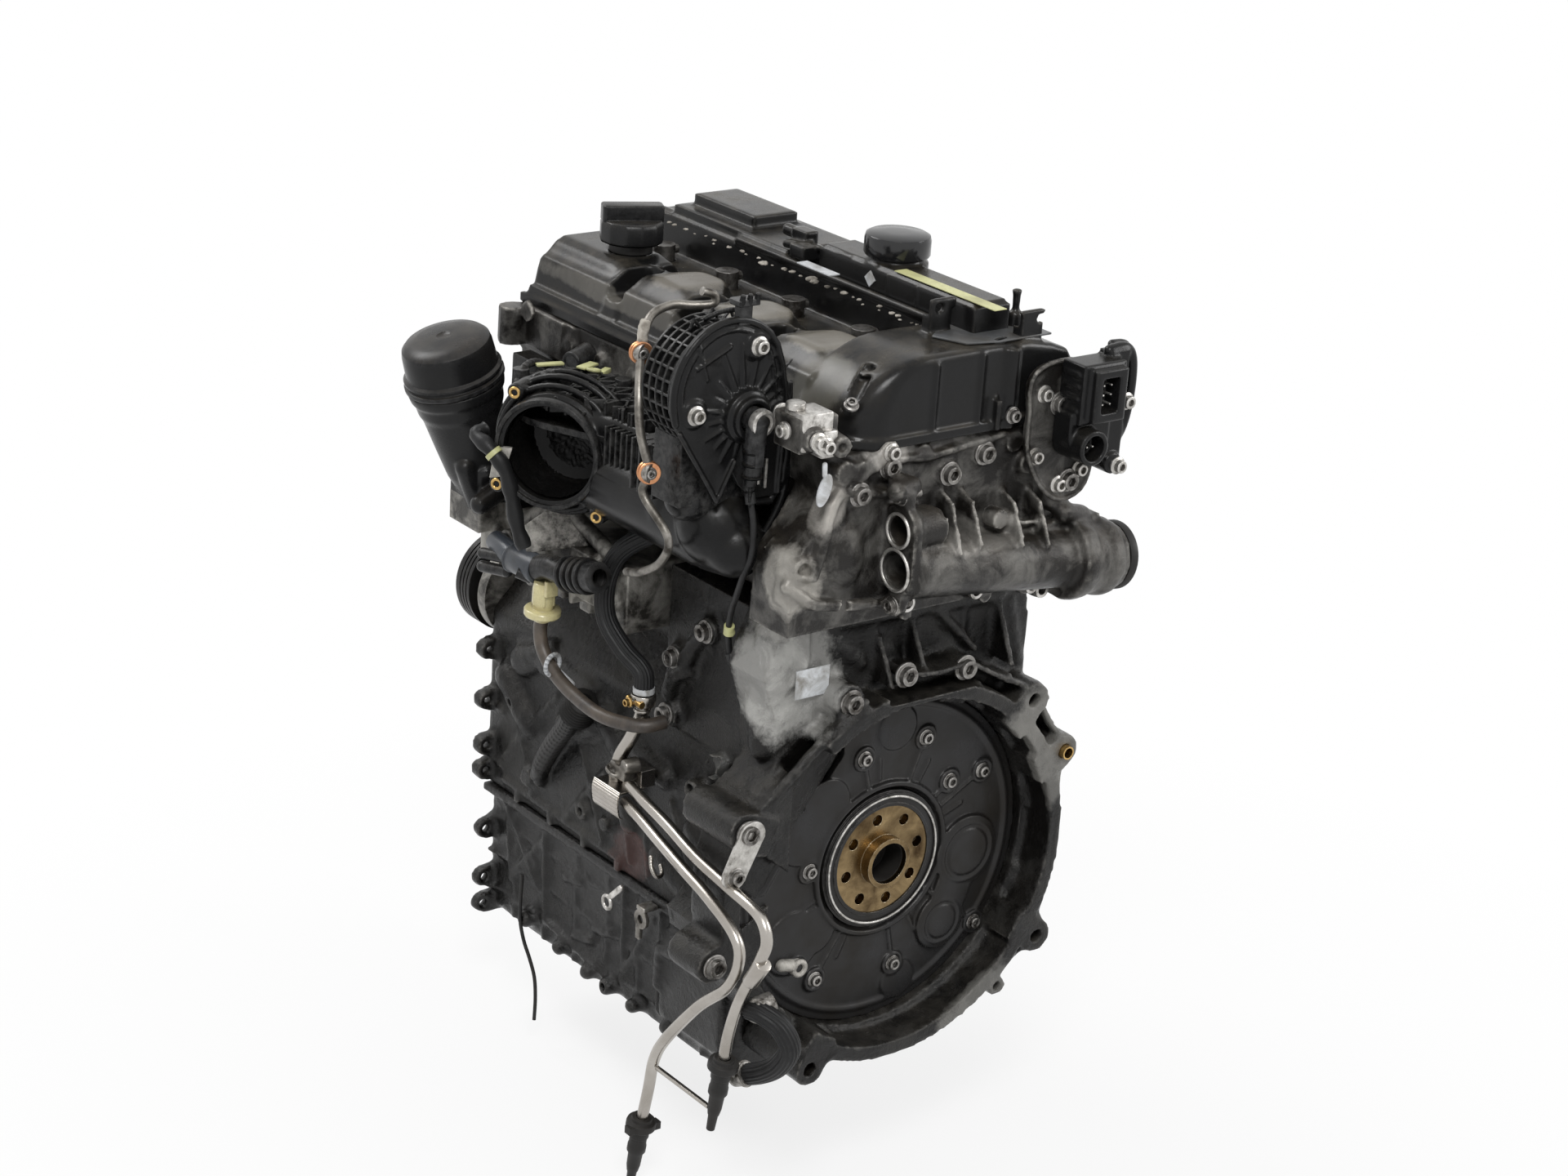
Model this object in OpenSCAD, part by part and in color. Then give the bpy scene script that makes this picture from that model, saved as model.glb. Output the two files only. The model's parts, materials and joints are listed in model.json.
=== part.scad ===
// Inline four-cylinder car engine with its timing drive at the gearbox end.
// Frame: the crank axis is the Y axis, +Y points to the belt end, +X to the exhaust side,
// +Z up. Y = 0 is the outer face of the timing end cover.

/* [Cylinders] */
// Cylinder bore
bore_d = 83; // [78:0.5:88]
// Piston stroke
stroke = 99; // [92:0.5:104]
// Distance between neighbouring cylinder axes
bore_pitch = 94; // [92:0.5:98]
// Rearmost cylinder axis, from the end cover's face
first_bore = 92; // [90:1:96]
// Sideways offset of the bores from the crank axis
bore_x = 10; // [0:1:14]
// Height of the deck above the crank axis
deck_z = 238; // [234:1:250]
// Piston height, crown to skirt edge
piston_h = 58; // [54:1:60]
// Crown to gudgeon pin axis
crown_to_pin = 42; // [38:0.5:44]
// Gudgeon pin hole radius
gudgeon_r = 13; // [11:0.5:14]

/* [Crankcase] */
// Front face of the crankcase
case_front = 430; // [426:1:440]
// Half width of the skirt
skirt_half = 115; // [110:1:125]
// Half width of the cylinder block above the skirt
waist_half = 84; // [80:1:92]
// Skirt edge below the crank axis
skirt_drop = 75; // [70:1:82]
// Half thickness of a main bearing bulkhead
bulkhead_half = 11; // [9:0.5:12]
// Radius of the crank chamber
chamber_r = 86; // [84:0.5:90]

/* [Gearbox face] */
// Gearbox face, behind the end cover's face
bell_depth = 40; // [34:1:50]
// Outer radius of the bell rim
bell_r = 170; // [165:1:176]
// Inner radius of the bell rim
bell_bore_r = 156; // [152:1:160]
// Radius of the circle that the gearbox bolts stand on
lug_circle_r = 182; // [178:1:188]
// Radius of a bolt lug
lug_r = 15; // [13:0.5:18]
// Radius of a gearbox bolt hole
lug_hole_r = 6; // [5:0.25:7]

/* [Crankshaft] */
// Main journal radius
main_r = 30; // [28:0.5:32]
// Crank pin radius
pin_r = 26; // [24:0.5:27]
// Counterweight radius
weight_r = 76; // [70:0.5:78]
// Radius of the flywheel flange
flange_r = 48.5; // [47:0.5:52]
// Radius of the flywheel bolt circle
flange_bolt_circle_r = 38.35; // [36:0.05:40]
// Number of flywheel bolts
flange_bolts = 8; // [6:1:10]
// Radius of a flywheel bolt hole
flange_hole_r = 5; // [4:0.25:5.5]
// Pilot bore radius
pilot_r = 18.4; // [16:0.1:20]
// Radius of the belt pulley on the crank nose
damper_r = 78; // [70:1:84]

/* [Timing drive] */
// Gear module
gear_m = 3; // [3:0.5:3]
// Teeth of the small crank gear
crank_teeth = 19; // [19:1:19]
// Teeth of the large crank gear that drives the balance shafts
balance_drive_teeth = 48; // [48:2:48]
// Teeth of each camshaft gear
cam_teeth = 30; // [30:1:30]
// Pitch radius of both chain sprockets
sprocket_r = 34; // [30:0.5:36]
// Eccentric weight radius of a balance shaft
balance_weight_r = 22; // [18:0.5:24]

/* [Cylinder head] */
// Head gasket thickness
gasket_t = 1.5; // [1:0.1:2]
// Height of the cylinder head
head_h = 145.5; // [140:0.5:152]
// Left face of the head
head_left = -98; // [-102:1:-94]
// Right face of the head
head_right = 132; // [128:1:138]
// Rear face of the head
head_rear = -38; // [-42:1:-34]
// Front face of the head
head_front = 424; // [420:1:428]
// Camshaft journal radius
cam_r = 13; // [12:0.5:14]
// Radius of the cast cross tube behind the head
tube_r = 27; // [24:0.5:30]

/* [Cam cover] */
// Height of the cover above the head
cover_h = 70; // [66:1:76]
// Wall of the moulded cover
cover_wall = 4; // [3:0.5:5]
// Height of the oil separator box above the cover
separator_h = 26; // [20:1:30]
// Radius of the separator's round cap
separator_cap_r = 28; // [24:0.5:30]
// Radius of the oil filler cap
filler_r = 27; // [24:0.5:30]

/* [Sump] */
// Depth of the sump below the skirt
sump_h = 138; // [125:1:150]
// Wall of the sump
sump_wall = 5; // [4:0.5:7]

/* [Intake] */
// Outer radius of the inlet neck
inlet_r = 48; // [44:0.5:52]
// Inner radius of the inlet neck
inlet_bore_r = 40.5; // [37:0.5:43]
// Height of the inlet's centre
inlet_z = 322; // [318:1:326]
// Top of the ribbed plenum
plenum_top = 371; // [368:1:374]
// Radius of the round upper chamber
drum_r = 57; // [54:0.5:58]
// Height of the round upper chamber's axis
drum_z = 402; // [398:1:406]

/* [Oil filter] */
// Radius of the filter housing
filter_r = 36; // [33:0.5:38]
// Radius of the screwed filter cap
filter_cap_r = 42; // [40:0.5:45]
// Lean of the filter housing away from the block
filter_lean = 17; // [12:1:22]

/* [Pipes] */
// Radius of the two stainless coolant pipes
pipe_r = 5; // [4:0.25:5.5]
// Radius of the braided breather hose
hose_r = 8; // [7:0.25:9]
// Radius of the steel fuel pressure line
line_r = 3.5; // [3:0.25:4]
// Radius of the bare hanging wire
wire_r = 1.7; // [1.5:0.1:2]

/* [Clearances] */
// Radial clearance of running fits
run_gap = 0.06; // [0.03:0.01:0.1]
// Clearance between pieces that only lie side by side
seat_gap = 0.3; // [0.2:0.05:0.5]
// Clearance of a bolt in its hole
bolt_gap = 0.15; // [0.1:0.05:0.3]

/* [Hidden] */
$fn = 48;

// --- rows along the crank ---------------------------------------------------
cylinders = 4;
bore_r = bore_d / 2;
throw = stroke / 2;
function cyl_y(i) = first_bore + bore_pitch * i;
function main_y(k) = first_bore - bore_pitch / 2 + bore_pitch * k;
cyl_rows = [for (i = [0 : cylinders - 1]) cyl_y(i)];
main_rows = [for (k = [0 : cylinders]) main_y(k)];
last_main = main_y(cylinders);
cap_half = 56;
cap_h = 55;

// --- end cover, timing chest and gearbox face ---------------------------------
plate_t = 6;
chest_back = 32;
rear_wall = 36;
gear_y0 = 9;
gear_y1 = 19;
chain_y0 = 21;
chain_y1 = 29;
recess_r = 150;
seal_ring_r = 62;
hub_y = -14;
flange_y = -4;
shell_t = 2.5;

// Angle and place of the half-speed idler beside the crank gear
idler_angle = -9;
idler_teeth = 2 * crank_teeth;
crank_gear_r = gear_m * crank_teeth / 2;
idler_r = gear_m * idler_teeth / 2;
idler_d = crank_gear_r + idler_r;
idler_x = idler_d * cos(idler_angle);
idler_z = idler_d * sin(idler_angle);

// Balance shafts under the crank
balance_teeth = balance_drive_teeth / 2;
drive_gear_r = gear_m * balance_drive_teeth / 2;
balance_gear_r = gear_m * balance_teeth / 2;
balance_x = balance_gear_r;
balance_z = -sqrt(pow(drive_gear_r + balance_gear_r, 2) - balance_x * balance_x);
balance_angle = atan2(balance_z, -balance_x);
balance_r = 12;
mesh_y0 = main_y(0) - 3;
mesh_y1 = main_y(0) + 8;
drive_y0 = main_y(0) + bulkhead_half + 2;
drive_y1 = drive_y0 + 12;
balance_end = main_y(3) + 16;

// --- head and camshafts ---------------------------------------------------------
head_z0 = deck_z + gasket_t;
head_z1 = head_z0 + head_h;
cam_gear_r = gear_m * cam_teeth / 2;
valley_x = 15;
intake_x = valley_x - cam_gear_r;
exhaust_x = valley_x + cam_gear_r;
cam_end = head_front - 6;
frame_h = 20;
cam_xs = [intake_x, exhaust_x];
lobe_r = 17;
lobe_lift = 8;

// --- cover -----------------------------------------------------------------------
cover_z = head_z1;
cover_top = cover_z + cover_h;
cover_left = head_left + 2;
cover_right = head_right - 4;
dome_y0 = head_rear - 4;
dome_y1 = 34;
cover_y1 = head_front;
ridge_gap = 40;
left_ridge_w = 62;
left_ridge_x = valley_x - ridge_gap / 2 - left_ridge_w;
valley_z = cover_top - 32;
notch_rows = [for (k = [0 : 2]) first_bore + 20 + bore_pitch * k];
notch_r = 12;
// Left side, front face, top and hole place of each ear
tab_ears = [[14, 10, cover_top + 29, 21], [72, -31, cover_top + 23, 92]];
stud_x = 91;
stud_y = -6;
separator_x0 = 42;
separator_x1 = 80;
separator_y0 = -20;
separator_y1 = 190;
separator_cap_x = 70;
separator_cap_y = 122;
filler_x = -38;
filler_y = 350;
injector_r = 8;

// --- sump ------------------------------------------------------------------------
sump_top = -skirt_drop;
sump_floor = sump_top - sump_h;
sump_y1 = case_front - 4;

// --- intake ----------------------------------------------------------------------
inlet_c = [-207, 217, inlet_z];
inlet_turn = 32;
plenum = [[-206, 112, 288], [-112, 300, plenum_top]];
plenum_wall = 4;
rib_h = 8;
inlet_len = 30;
runner_x = -152;
runner_z = 302;
runner_r = 34;
port_z = 322;
port_r = 15;
exhaust_z = 292;
exhaust_r = 16;
drum_c = [-159, 28, drum_z];
drum_len = 84;

// --- water pump ------------------------------------------------------------------
pump_x = -80;
pump_z = 106;
pump_r = 46;

// --- oil filter -------------------------------------------------------------------
filter_foot = [-152, 392, 222];
filter_len = 116;
filter_cap_h = 40;

// --- pipes, hoses and leads, routes chosen by hand ---------------------------------
fuel_route = [[-146, 72, 478], [-150, 88, 483], [-168, 100, 477], [-190, 101, 469],
    [-208, 88, 446.5], [-222, 70, 420], [-226, 60, 392], [-223, 50, 362], [-222, 58, 342],
    [-216, 30, 314], [-209, 48, 286], [-202, 84, 264], [-192, 116, 252]];
breather_route = [[-128, 150, 264], [-138, 166, 257], [-152, 184, 238], [-160, 190, 210],
    [-162, 184, 182], [-157, 164, 160], [-150, 146, 146], [-150, 142, 132], [-150, 142, 122]];
steel_route = [[-150, 142, 121], [-150, 143, 108], [-151, 154, 84], [-152, 167, 62],
    [-153, 171, 46], [-153, 171, 37]];
pipe_a_route = [[-158, 150, 26], [-164, 120, 26], [-170, 84, 22], [-176, 40, 16],
    [-180, -4, 8], [-181, -42, -8], [-181, -50, -28], [-181, -36, -58], [-181, 0, -92],
    [-181, 40, -140], [-181, 56, -168], [-181, 62, -200], [-181, 70, -238]];
pipe_b_route = [[-156, 146, 42], [-162, 118, 42], [-170, 70, 40], [-177, 20, 34],
    [-181, -30, 30], [-182, -72, 24], [-183, -86, 8], [-183, -80, -12], [-182, -68, -34],
    [-181, -52, -66], [-181, -42, -100], [-181, -38, -128]];
lower_hose_route = [[-169.2, -52, -72], [-165.5, -64, -72], [-157, -78, -80], [-150, -84, -98],
    [-150, -74, -118], [-152, -56, -134], [-156, -34, -146]];
return_route = [[-182, 250, 163.6], [-182, 252, 150], [-182, 246, 134], [-181, 226, 118],
    [-179, 196, 108], [-176, 160, 104], [-160, 130, 104], [-140, 124, 106]];
lead_route = [[-159, 6, 361], [-159, 5, 350], [-157, 0, 326], [-155, 2, 300],
    [-154, 12, 278], [-149, 25, 257], [-142, 40, 236], [-136, 50, 214], [-130, 54, 192],
    [-122.6, 51, 168]];
wire_route = [[-121, 356, -140], [-121, 356, -150], [-123, 354, -166], [-125, 350, -184],
    [-125, 343, -201], [-123, 335, -217], [-121, 329, -234], [-121, 326, -254],
    [-122, 325, -276]];

// ===================================================================================
// Helpers
// ===================================================================================

// Extrudes an XZ outline along Y from y0 to y1
module slab(y0, y1) {
    translate([0, y1, 0]) rotate([90, 0, 0]) linear_extrude(height = y1 - y0) children();
}

// Round bar along Y
module bar_y(x, z, y0, y1, r) {
    translate([x, y0, z]) rotate([-90, 0, 0]) cylinder(h = y1 - y0, r = r);
}

// Round bar along X
module bar_x(y, z, x0, x1, r) {
    translate([x0, y, z]) rotate([0, 90, 0]) cylinder(h = x1 - x0, r = r);
}

// Box from its lowest to its highest corner
module block(a, b) {
    translate(a) cube([b[0] - a[0], b[1] - a[1], b[2] - a[2]]);
}

// Flat outline with round ends between two points
module strip(a, b, half) {
    d = b - a;
    translate(a) circle(r = half);
    translate(b) circle(r = half);
    translate(a) rotate(atan2(d[1], d[0])) translate([0, -half]) square([norm(d), 2 * half]);
}

// Straight-flanked gear outline with one tooth centred on angle start
module gear_outline(teeth, start) {
    r = gear_m * teeth / 2;
    root = r - 1.25 * gear_m;
    tip = r + 0.85 * gear_m;
    half_root = 0.86 * gear_m / root * 180 / PI;
    half_tip = 0.36 * gear_m / tip * 180 / PI;
    polygon([for (t = [0 : teeth - 1], k = [0 : 3])
        let (a = start + 360 * t / teeth + [-half_root, -half_tip, half_tip, half_root][k],
            p = [root, tip, tip, root][k]) [p * cos(a), p * sin(a)]]);
}

// Points of a smooth curve through a route
function curve_point(p, i, t) =
    let (n = len(p) - 1, a = p[max(i - 1, 0)], b = p[i], c = p[i + 1], d = p[min(i + 2, n)])
    0.5 * (2 * b + (c - a) * t + (2 * a - 5 * b + 4 * c - d) * t * t
        + (3 * b - a - 3 * c + d) * t * t * t);
function smooth_route(p, n) =
    concat([for (i = [0 : len(p) - 2], k = [0 : n - 1]) curve_point(p, i, k / n)],
        [p[len(p) - 1]]);
function unit(v) = v / norm(v);
function travel(p, i) = unit(p[min(i + 1, len(p) - 1)] - p[max(i - 1, 0)]);
// Side vectors carried along the route without twist
function carried(p, i, u) =
    i >= len(p) ? [] :
    let (t = travel(p, i), v = unit(u - (u * t) * t)) concat([v], carried(p, i + 1, v));

// Tube swept along a route, with steps rings to each span
module tube(route, r, steps = 2, sides = 10) {
    p = smooth_route(route, steps);
    first = travel(p, 0);
    ref = abs(first[0]) < 0.8 ? [1, 0, 0] : [0, 1, 0];
    us = carried(p, 0, ref);
    n = len(p);
    points = [for (i = [0 : n - 1], k = [0 : sides - 1])
        let (t = travel(p, i), u = us[i], v = cross(t, u), a = 360 * k / sides)
        p[i] + r * (cos(a) * u + sin(a) * v)];
    sides_faces = [for (i = [0 : n - 2], k = [0 : sides - 1])
        let (a = i * sides + k, b = i * sides + (k + 1) % sides)
        [a, a + sides, b + sides, b]];
    ends = [[for (k = [0 : sides - 1]) k],
        [for (k = [sides - 1 : -1 : 0]) (n - 1) * sides + k]];
    polyhedron(points = points, faces = concat(sides_faces, ends), convexity = 6);
}

// Bolt with a flange, a drive recess and a shank; it stands on z = 0 and its shank goes down
module bolt(head_r, head_h, shank_r, depth) {
    difference() {
        union() {
            cylinder(h = head_h * 0.28, r = head_r);
            cylinder(h = head_h, r = head_r * 0.72);
            translate([0, 0, -depth]) cylinder(h = depth, r = shank_r);
        }
        translate([0, 0, head_h * 0.35]) cylinder(h = head_h, r = head_r * 0.42, $fn = 6);
    }
}

// Places children at [x, y, z] with their +Z turned to -Y
module facing_rear(list) {
    for (p = list) translate(p) rotate([90, 0, 0]) children();
}

// Places children at [x, y, z] with their +Z turned to -X
module facing_left(list) {
    for (p = list) translate(p) rotate([0, -90, 0]) children();
}

// --- bolts: places of their seats ------------------------------------------------------
bolt_r = 4;
screw_r = 3;
screw_head_r = 7;
cap_bolt_r = 6;
cap_bolt_x = 44;
lug_angles = [25.3, -32, -119.5];
// Lugs whose own bolt heads sit below the gearbox face
sunk_lug_angles = [112.6, 94.7, 74.4];
sunk_lug_y = -bell_depth + 9.5;
open_lug_angle = 47;
// Angle and depth of each lug hole that takes a bolt from the gearbox
open_lug_holes = [[25.3, 59], [-32, 57], [-119.5, 55], [open_lug_angle, 53]];
left_lug_angle = 156;
low_lug_angle = -163;
function lug_at(a, y) = [lug_circle_r * cos(a), y, lug_circle_r * sin(a)];
bell_bolts = concat([for (a = sunk_lug_angles) lug_at(a, sunk_lug_y)],
    [lug_at(left_lug_angle, -30), lug_at(low_lug_angle, -8)]);
head_rear_bolts = [[38, head_rear, 367], [3, head_rear, 355], [-60, head_rear, 371],
    [-88, head_rear, 352]];
port_flange_x = -56;
port_flange_bolts = [[port_flange_x, -56, 350], [port_flange_x, -56, 258]];
case_side_bolts = [[-126, 134, 158], [-126, 141, 104], [-126, 92, 196]];
plate_bolts = [[101, -56, 404], [118, -56, 336]];
chamber_bolts = [[-118, 20, 430], [-205, 20, 392], [-118, 20, 384]];
end_cover_bolts = [[39, 0, 103], [-26, 0, 97], [70, 0, 56], [106, 0, 58], [-76, 0, 6],
    [23, 0, -105], [-62, 0, -98], [112, 0, -88]];
notch_z = cover_z + 33;
notch_x = -52;
front_flange_y = case_front - 12;
front_ear_x = -skirt_half - 8;
front_ears = [60, 10, -35, -60];
sump_ears = [-120, -170, -197];

module m6_holes(list, depth = 14) {
    facing_rear(list) translate([0, 0, -depth]) cylinder(h = depth + 1, r = screw_r + bolt_gap);
}
module m8_holes(list, depth = 22) {
    facing_rear(list) translate([0, 0, -depth]) cylinder(h = depth + 1, r = bolt_r + bolt_gap);
}
module m8_side_holes(list, depth = 22) {
    facing_left(list) translate([0, 0, -depth]) cylinder(h = depth + 1, r = bolt_r + bolt_gap);
}

// ===================================================================================
// Crankcase and bottom end
// ===================================================================================

// Ring sector of the gearbox flange from angle a0 to a1
module rim(a0, a1, y0, y1) {
    slab(y0, y1) difference() {
        circle(r = bell_r, $fn = 96);
        circle(r = bell_bore_r, $fn = 96);
        polygon(concat([[0, 0]], [for (k = [0 : 4])
            let (a = a1 + (360 + a0 - a1) * k / 4) 400 * [cos(a), sin(a)]]));
    }
}

module chain_space(half, y0, y1) {
    slab(y0, y1) strip([idler_x, idler_z], [exhaust_x, head_z1], half);
}

module crankcase() color([0.10, 0.10, 0.10]) difference() {
    union() {
        crankcase_outside();
        chest_ledges();
    }
    crank_space();
    for (y = cyl_rows) translate([bore_x, y, 60]) cylinder(h = deck_z, r = bore_r, $fn = 64);
    bar_y(0, 0, chest_back - 2, case_front + 1, main_r + shell_t + 0.02);
    for (y = main_rows, s = [-1, 1]) translate([s * cap_bolt_x, y, -1])
        cylinder(h = 46, r = cap_bolt_r + bolt_gap);
    m8_holes(bell_bolts, 30);
    for (h = open_lug_holes) translate(lug_at(h[0], -bell_depth - 1))
        rotate([-90, 0, 0]) cylinder(h = h[1] + 1, r = lug_hole_r);
    m6_holes([for (p = end_cover_bolts) [p[0], plate_t, p[2]]], 12);
    m8_side_holes(case_side_bolts);
    for (z = front_ears) bar_y(front_ear_x, z, front_flange_y - 1, case_front + 1, 4);
    facing_left([[-skirt_half - 6, 356, -42]]) translate([0, 0, -12])
        cylinder(h = 14, r = 5);
}

// Outside of the casting with the end cover's recess and the timing chest cut out of it
module crankcase_outside() difference() {
    union() {
        slab(rear_wall, case_front) polygon([[-skirt_half, sump_top], [skirt_half, sump_top],
            [skirt_half, 95], [bore_x + waist_half, 140], [bore_x + waist_half, deck_z],
            [bore_x - waist_half, deck_z], [bore_x - waist_half, 140], [-skirt_half, 95]]);
        slab(-8, rear_wall) circle(r = bell_bore_r + 4, $fn = 96);
        slab(-6, 44) polygon([[-118, 60], [-126, 150], [-140, 190], [-132, 214],
            [-120, deck_z], [head_right, deck_z], [head_right + 6, 200], [head_right + 6, 60]]);
        rim(-125, 125, -bell_depth, rear_wall);
        rim(125, 235, -8, rear_wall);
        for (a = lug_angles) gearbox_lug(a, -bell_depth, lug_r);
        for (a = sunk_lug_angles) gearbox_lug(a, sunk_lug_y, lug_r);
        gearbox_lug(open_lug_angle, -bell_depth, lug_r + 1);
        gearbox_lug(left_lug_angle, -30, lug_r + 2);
        gearbox_lug(low_lug_angle, -8, lug_r + 1);
        for (x = [-34, 8, 62, 96]) block([x, -34, 158], [x + 5, -6, 222]);
        crankcase_side();
    }
    slab(-bell_depth - 1, plate_t) circle(r = recess_r, $fn = 96);
    chest();
}

// Bolt lug with a rib back to the rim
module gearbox_lug(a, y0, r) {
    p = lug_at(a, 0);
    slab(y0, rear_wall) strip([0.86 * p[0], 0.86 * p[2]], [p[0], p[2]], r);
}

// Pads, gallery, ribs and ears on the intake side
module crankcase_side() {
    block([-118, 40, 92], [-70, 156, 232]);
    for (p = case_side_bolts) bar_x(p[1], p[2], p[0], -80, 12);
    bar_y(-112, 60, 60, 404, 15);
    block([-122, 150, -30], [-110, 170, 88]);
    for (y = [208, 262, 316, 370]) block([-120, y, -74], [-110, y + 6, 84]);
    for (z = [-52, 2]) block([-118, 200, z], [-110, case_front, z + 5]);
    slab(front_flange_y, case_front) for (z = front_ears)
        strip([-skirt_half + 6, z], [front_ear_x, z], 10);
    block([-skirt_half - 6, 340, -54], [-110, 372, -30]);
    block([skirt_half - 6, 120, 20], [skirt_half + 14, 200, 80]);
    block([skirt_half - 6, 300, 20], [skirt_half + 14, 380, 80]);
    for (y = [90, 150, 230, 290]) block([skirt_half - 4, y, -74], [skirt_half + 5, y + 6, 92]);
}

// Hollow for the gears and the chain, open to the rear under the end cover
module chest() {
    slab(plate_t - 1, chest_back) {
        circle(r = crank_gear_r + 20);
        translate([idler_x, idler_z]) circle(r = idler_r + 5);
    }
    difference() {
        chain_space(sprocket_r + 13, plate_t, chest_back);
        block([-200, 0, deck_z], [200, 50, deck_z + 300]);
    }
    block([idler_x - 20, plate_t, deck_z - 60], [exhaust_x + 40, chest_back, deck_z + 1]);
}

// Ledges inside the chest that take the end cover's screws
module chest_ledges() slab(plate_t, gear_y1 - 1) {
    translate([24, 95]) square([22, 16]);
    translate([28, 50]) square([50, 14]);
    translate([98, 50]) square([34, 16]);
}

// Crank chamber: one bay a cylinder above the crank, one open box below it
module crank_space() {
    for (k = [0 : cylinders - 1])
        bar_y(0, 0, main_y(k) + bulkhead_half, main_y(k + 1) - bulkhead_half, chamber_r);
    block([-skirt_half + 12, rear_wall, sump_top - 1],
        [skirt_half - 12, last_main - 11, 0]);
    block([-cap_half - seat_gap, last_main - 12, sump_top - 1],
        [cap_half + seat_gap, case_front + 1, 0]);
}

module main_bearing_caps() color([0.35, 0.34, 0.33]) difference() {
    union() {
        for (k = [0 : cylinders - 1])
            block([-cap_half, max(main_y(k) - 10, rear_wall + seat_gap), -cap_h],
                [cap_half, main_y(k) + 10, -seat_gap]);
        block([-cap_half, last_main - 10.5, sump_top], [cap_half, case_front, -seat_gap]);
    }
    bar_y(0, 0, 0, case_front + 1, main_r + shell_t + 0.02);
    for (y = main_rows, s = [-1, 1]) translate([s * cap_bolt_x, y, -cap_h - 1])
        cylinder(h = 60, r = cap_bolt_r + bolt_gap);
    for (s = [-1, 1]) translate([s * cap_bolt_x, last_main, sump_top - 1])
        cylinder(h = -sump_top - cap_h + 1, r = 8.5);
}

module main_bearing_shells() color([0.62, 0.60, 0.56]) difference() {
    for (y = main_rows) bar_y(0, 0, y - 9.5, y + (y == last_main ? 8 : 9.5), main_r + shell_t);
    bar_y(0, 0, 0, case_front, main_r + run_gap);
}

module main_cap_bolts() color([0.45, 0.44, 0.42]) for (y = main_rows, s = [-1, 1])
    translate([s * cap_bolt_x, y, -cap_h]) {
        translate([0, 0, -6]) cylinder(h = 6, r = 8);
        cylinder(h = cap_h + 40, r = cap_bolt_r);
    }

// Housing that carries both balance shafts under the main bearing caps
module balance_carrier() color([0.55, 0.54, 0.52]) difference() {
    union() {
        for (k = [1, 3])
            block([-66, main_y(k) - 9, balance_z - 19], [66, main_y(k) + 9, -cap_h]);
        block([-66, 76, balance_z - 19], [66, 90, balance_z + 15]);
        for (x = [-66, 60.5]) block([x, 76, balance_z - 17], [x + 5.5, main_y(3) + 9, balance_z + 8]);
    }
    for (s = [-1, 1]) bar_y(s * balance_x, balance_z, 70, main_y(3) + 20, balance_r + run_gap);
    for (k = [1, 3], s = [-1, 1]) translate([s * cap_bolt_x, main_y(k), -63])
        cylinder(h = 10, r = 10);
}

module sump() color([0.09, 0.09, 0.09]) difference() {
    union() {
        slab(rear_wall, sump_y1) sump_outline(0);
        block([-skirt_half - 4, rear_wall, sump_top - 9], [skirt_half + 4, case_front, sump_top]);
        for (y = [80, 130, 180, 230, 280, 330, 380])
            block([-skirt_half - 2, y, sump_floor + 14], [-skirt_half + 10, y + 5, sump_top - 4]);
        for (z = [-110, -146, -182])
            block([-skirt_half - 1, 60, z], [-skirt_half + 10, sump_y1, z + 4]);
        slab(front_flange_y, sump_y1 + 2) for (z = sump_ears)
            strip([-skirt_half + 10, z], [front_ear_x + 2, z], 10);
        block([-skirt_half - 10, 346, -140], [-skirt_half + 6, 366, -124]);
        translate([20, 300, sump_floor - 8]) cylinder(h = 12, r = 16);
        for (y = [100, 240]) block([-60, y, sump_floor - 6], [60, y + 6, sump_floor + 2]);
    }
    slab(rear_wall + sump_wall, sump_y1 - sump_wall) sump_outline(sump_wall);
    block([-skirt_half + 14, rear_wall + sump_wall, sump_top - 20],
        [skirt_half - 14, sump_y1 - sump_wall, sump_top + 1]);
    for (z = sump_ears) bar_y(front_ear_x + 2, z, front_flange_y - 1, case_front + 1, 4);
}

// Sump section, drawn in by a wall thickness
module sump_outline(w) {
    x = skirt_half - 4 - w;
    polygon([[-x, sump_top - (w > 0 ? 9 : 0)], [x, sump_top - (w > 0 ? 9 : 0)],
        [x - 4, sump_floor + 26 + w], [x - 24, sump_floor + w], [-x + 18, sump_floor + w],
        [-x + 2, sump_floor + 14 + w]]);
}

// Plate that closes the timing chest, with raised discs over the drive
module timing_end_cover() color([0.16, 0.16, 0.17]) difference() {
    union() {
        slab(0, plate_t) cover_outline(recess_r - seat_gap);
        slab(-2, 0) difference() {
            cover_outline(recess_r - 8);
            cover_outline(recess_r - 13);
        }
        slab(-5, 0) {
            translate([95, -15]) circle(r = 33);
            translate([72, -76]) circle(r = 26);
            strip([95, -15], [72, -76], 20);
        }
        slab(-7, -5) {
            translate([95, -15]) circle(r = 21);
            translate([72, -76]) circle(r = 15);
        }
        slab(-2.5, 0) {
            translate([-62, 62]) circle(r = 24);
            translate([-66, -52]) circle(r = 22);
            translate([8, 118]) circle(r = 20);
            difference() {
                circle(r = seal_ring_r + 6);
                circle(r = seal_ring_r + 3);
            }
        }
        intersection() {
            union() for (p = end_cover_bolts) bar_y(p[0], p[2], -1.5, 0.5, 10);
            slab(-2, 1) circle(r = recess_r - seat_gap, $fn = 96);
        }
        bar_y(-83, -79, -8, 0, 8);
    }
    bar_y(0, 0, -10, plate_t + 1, seal_ring_r + seat_gap);
    facing_rear([for (p = end_cover_bolts) [p[0], -1.5, p[2]]]) {
        translate([0, 0, -12]) cylinder(h = 14, r = screw_r + bolt_gap);
        cylinder(h = 8, r = screw_head_r + seat_gap);
    }
}

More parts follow.
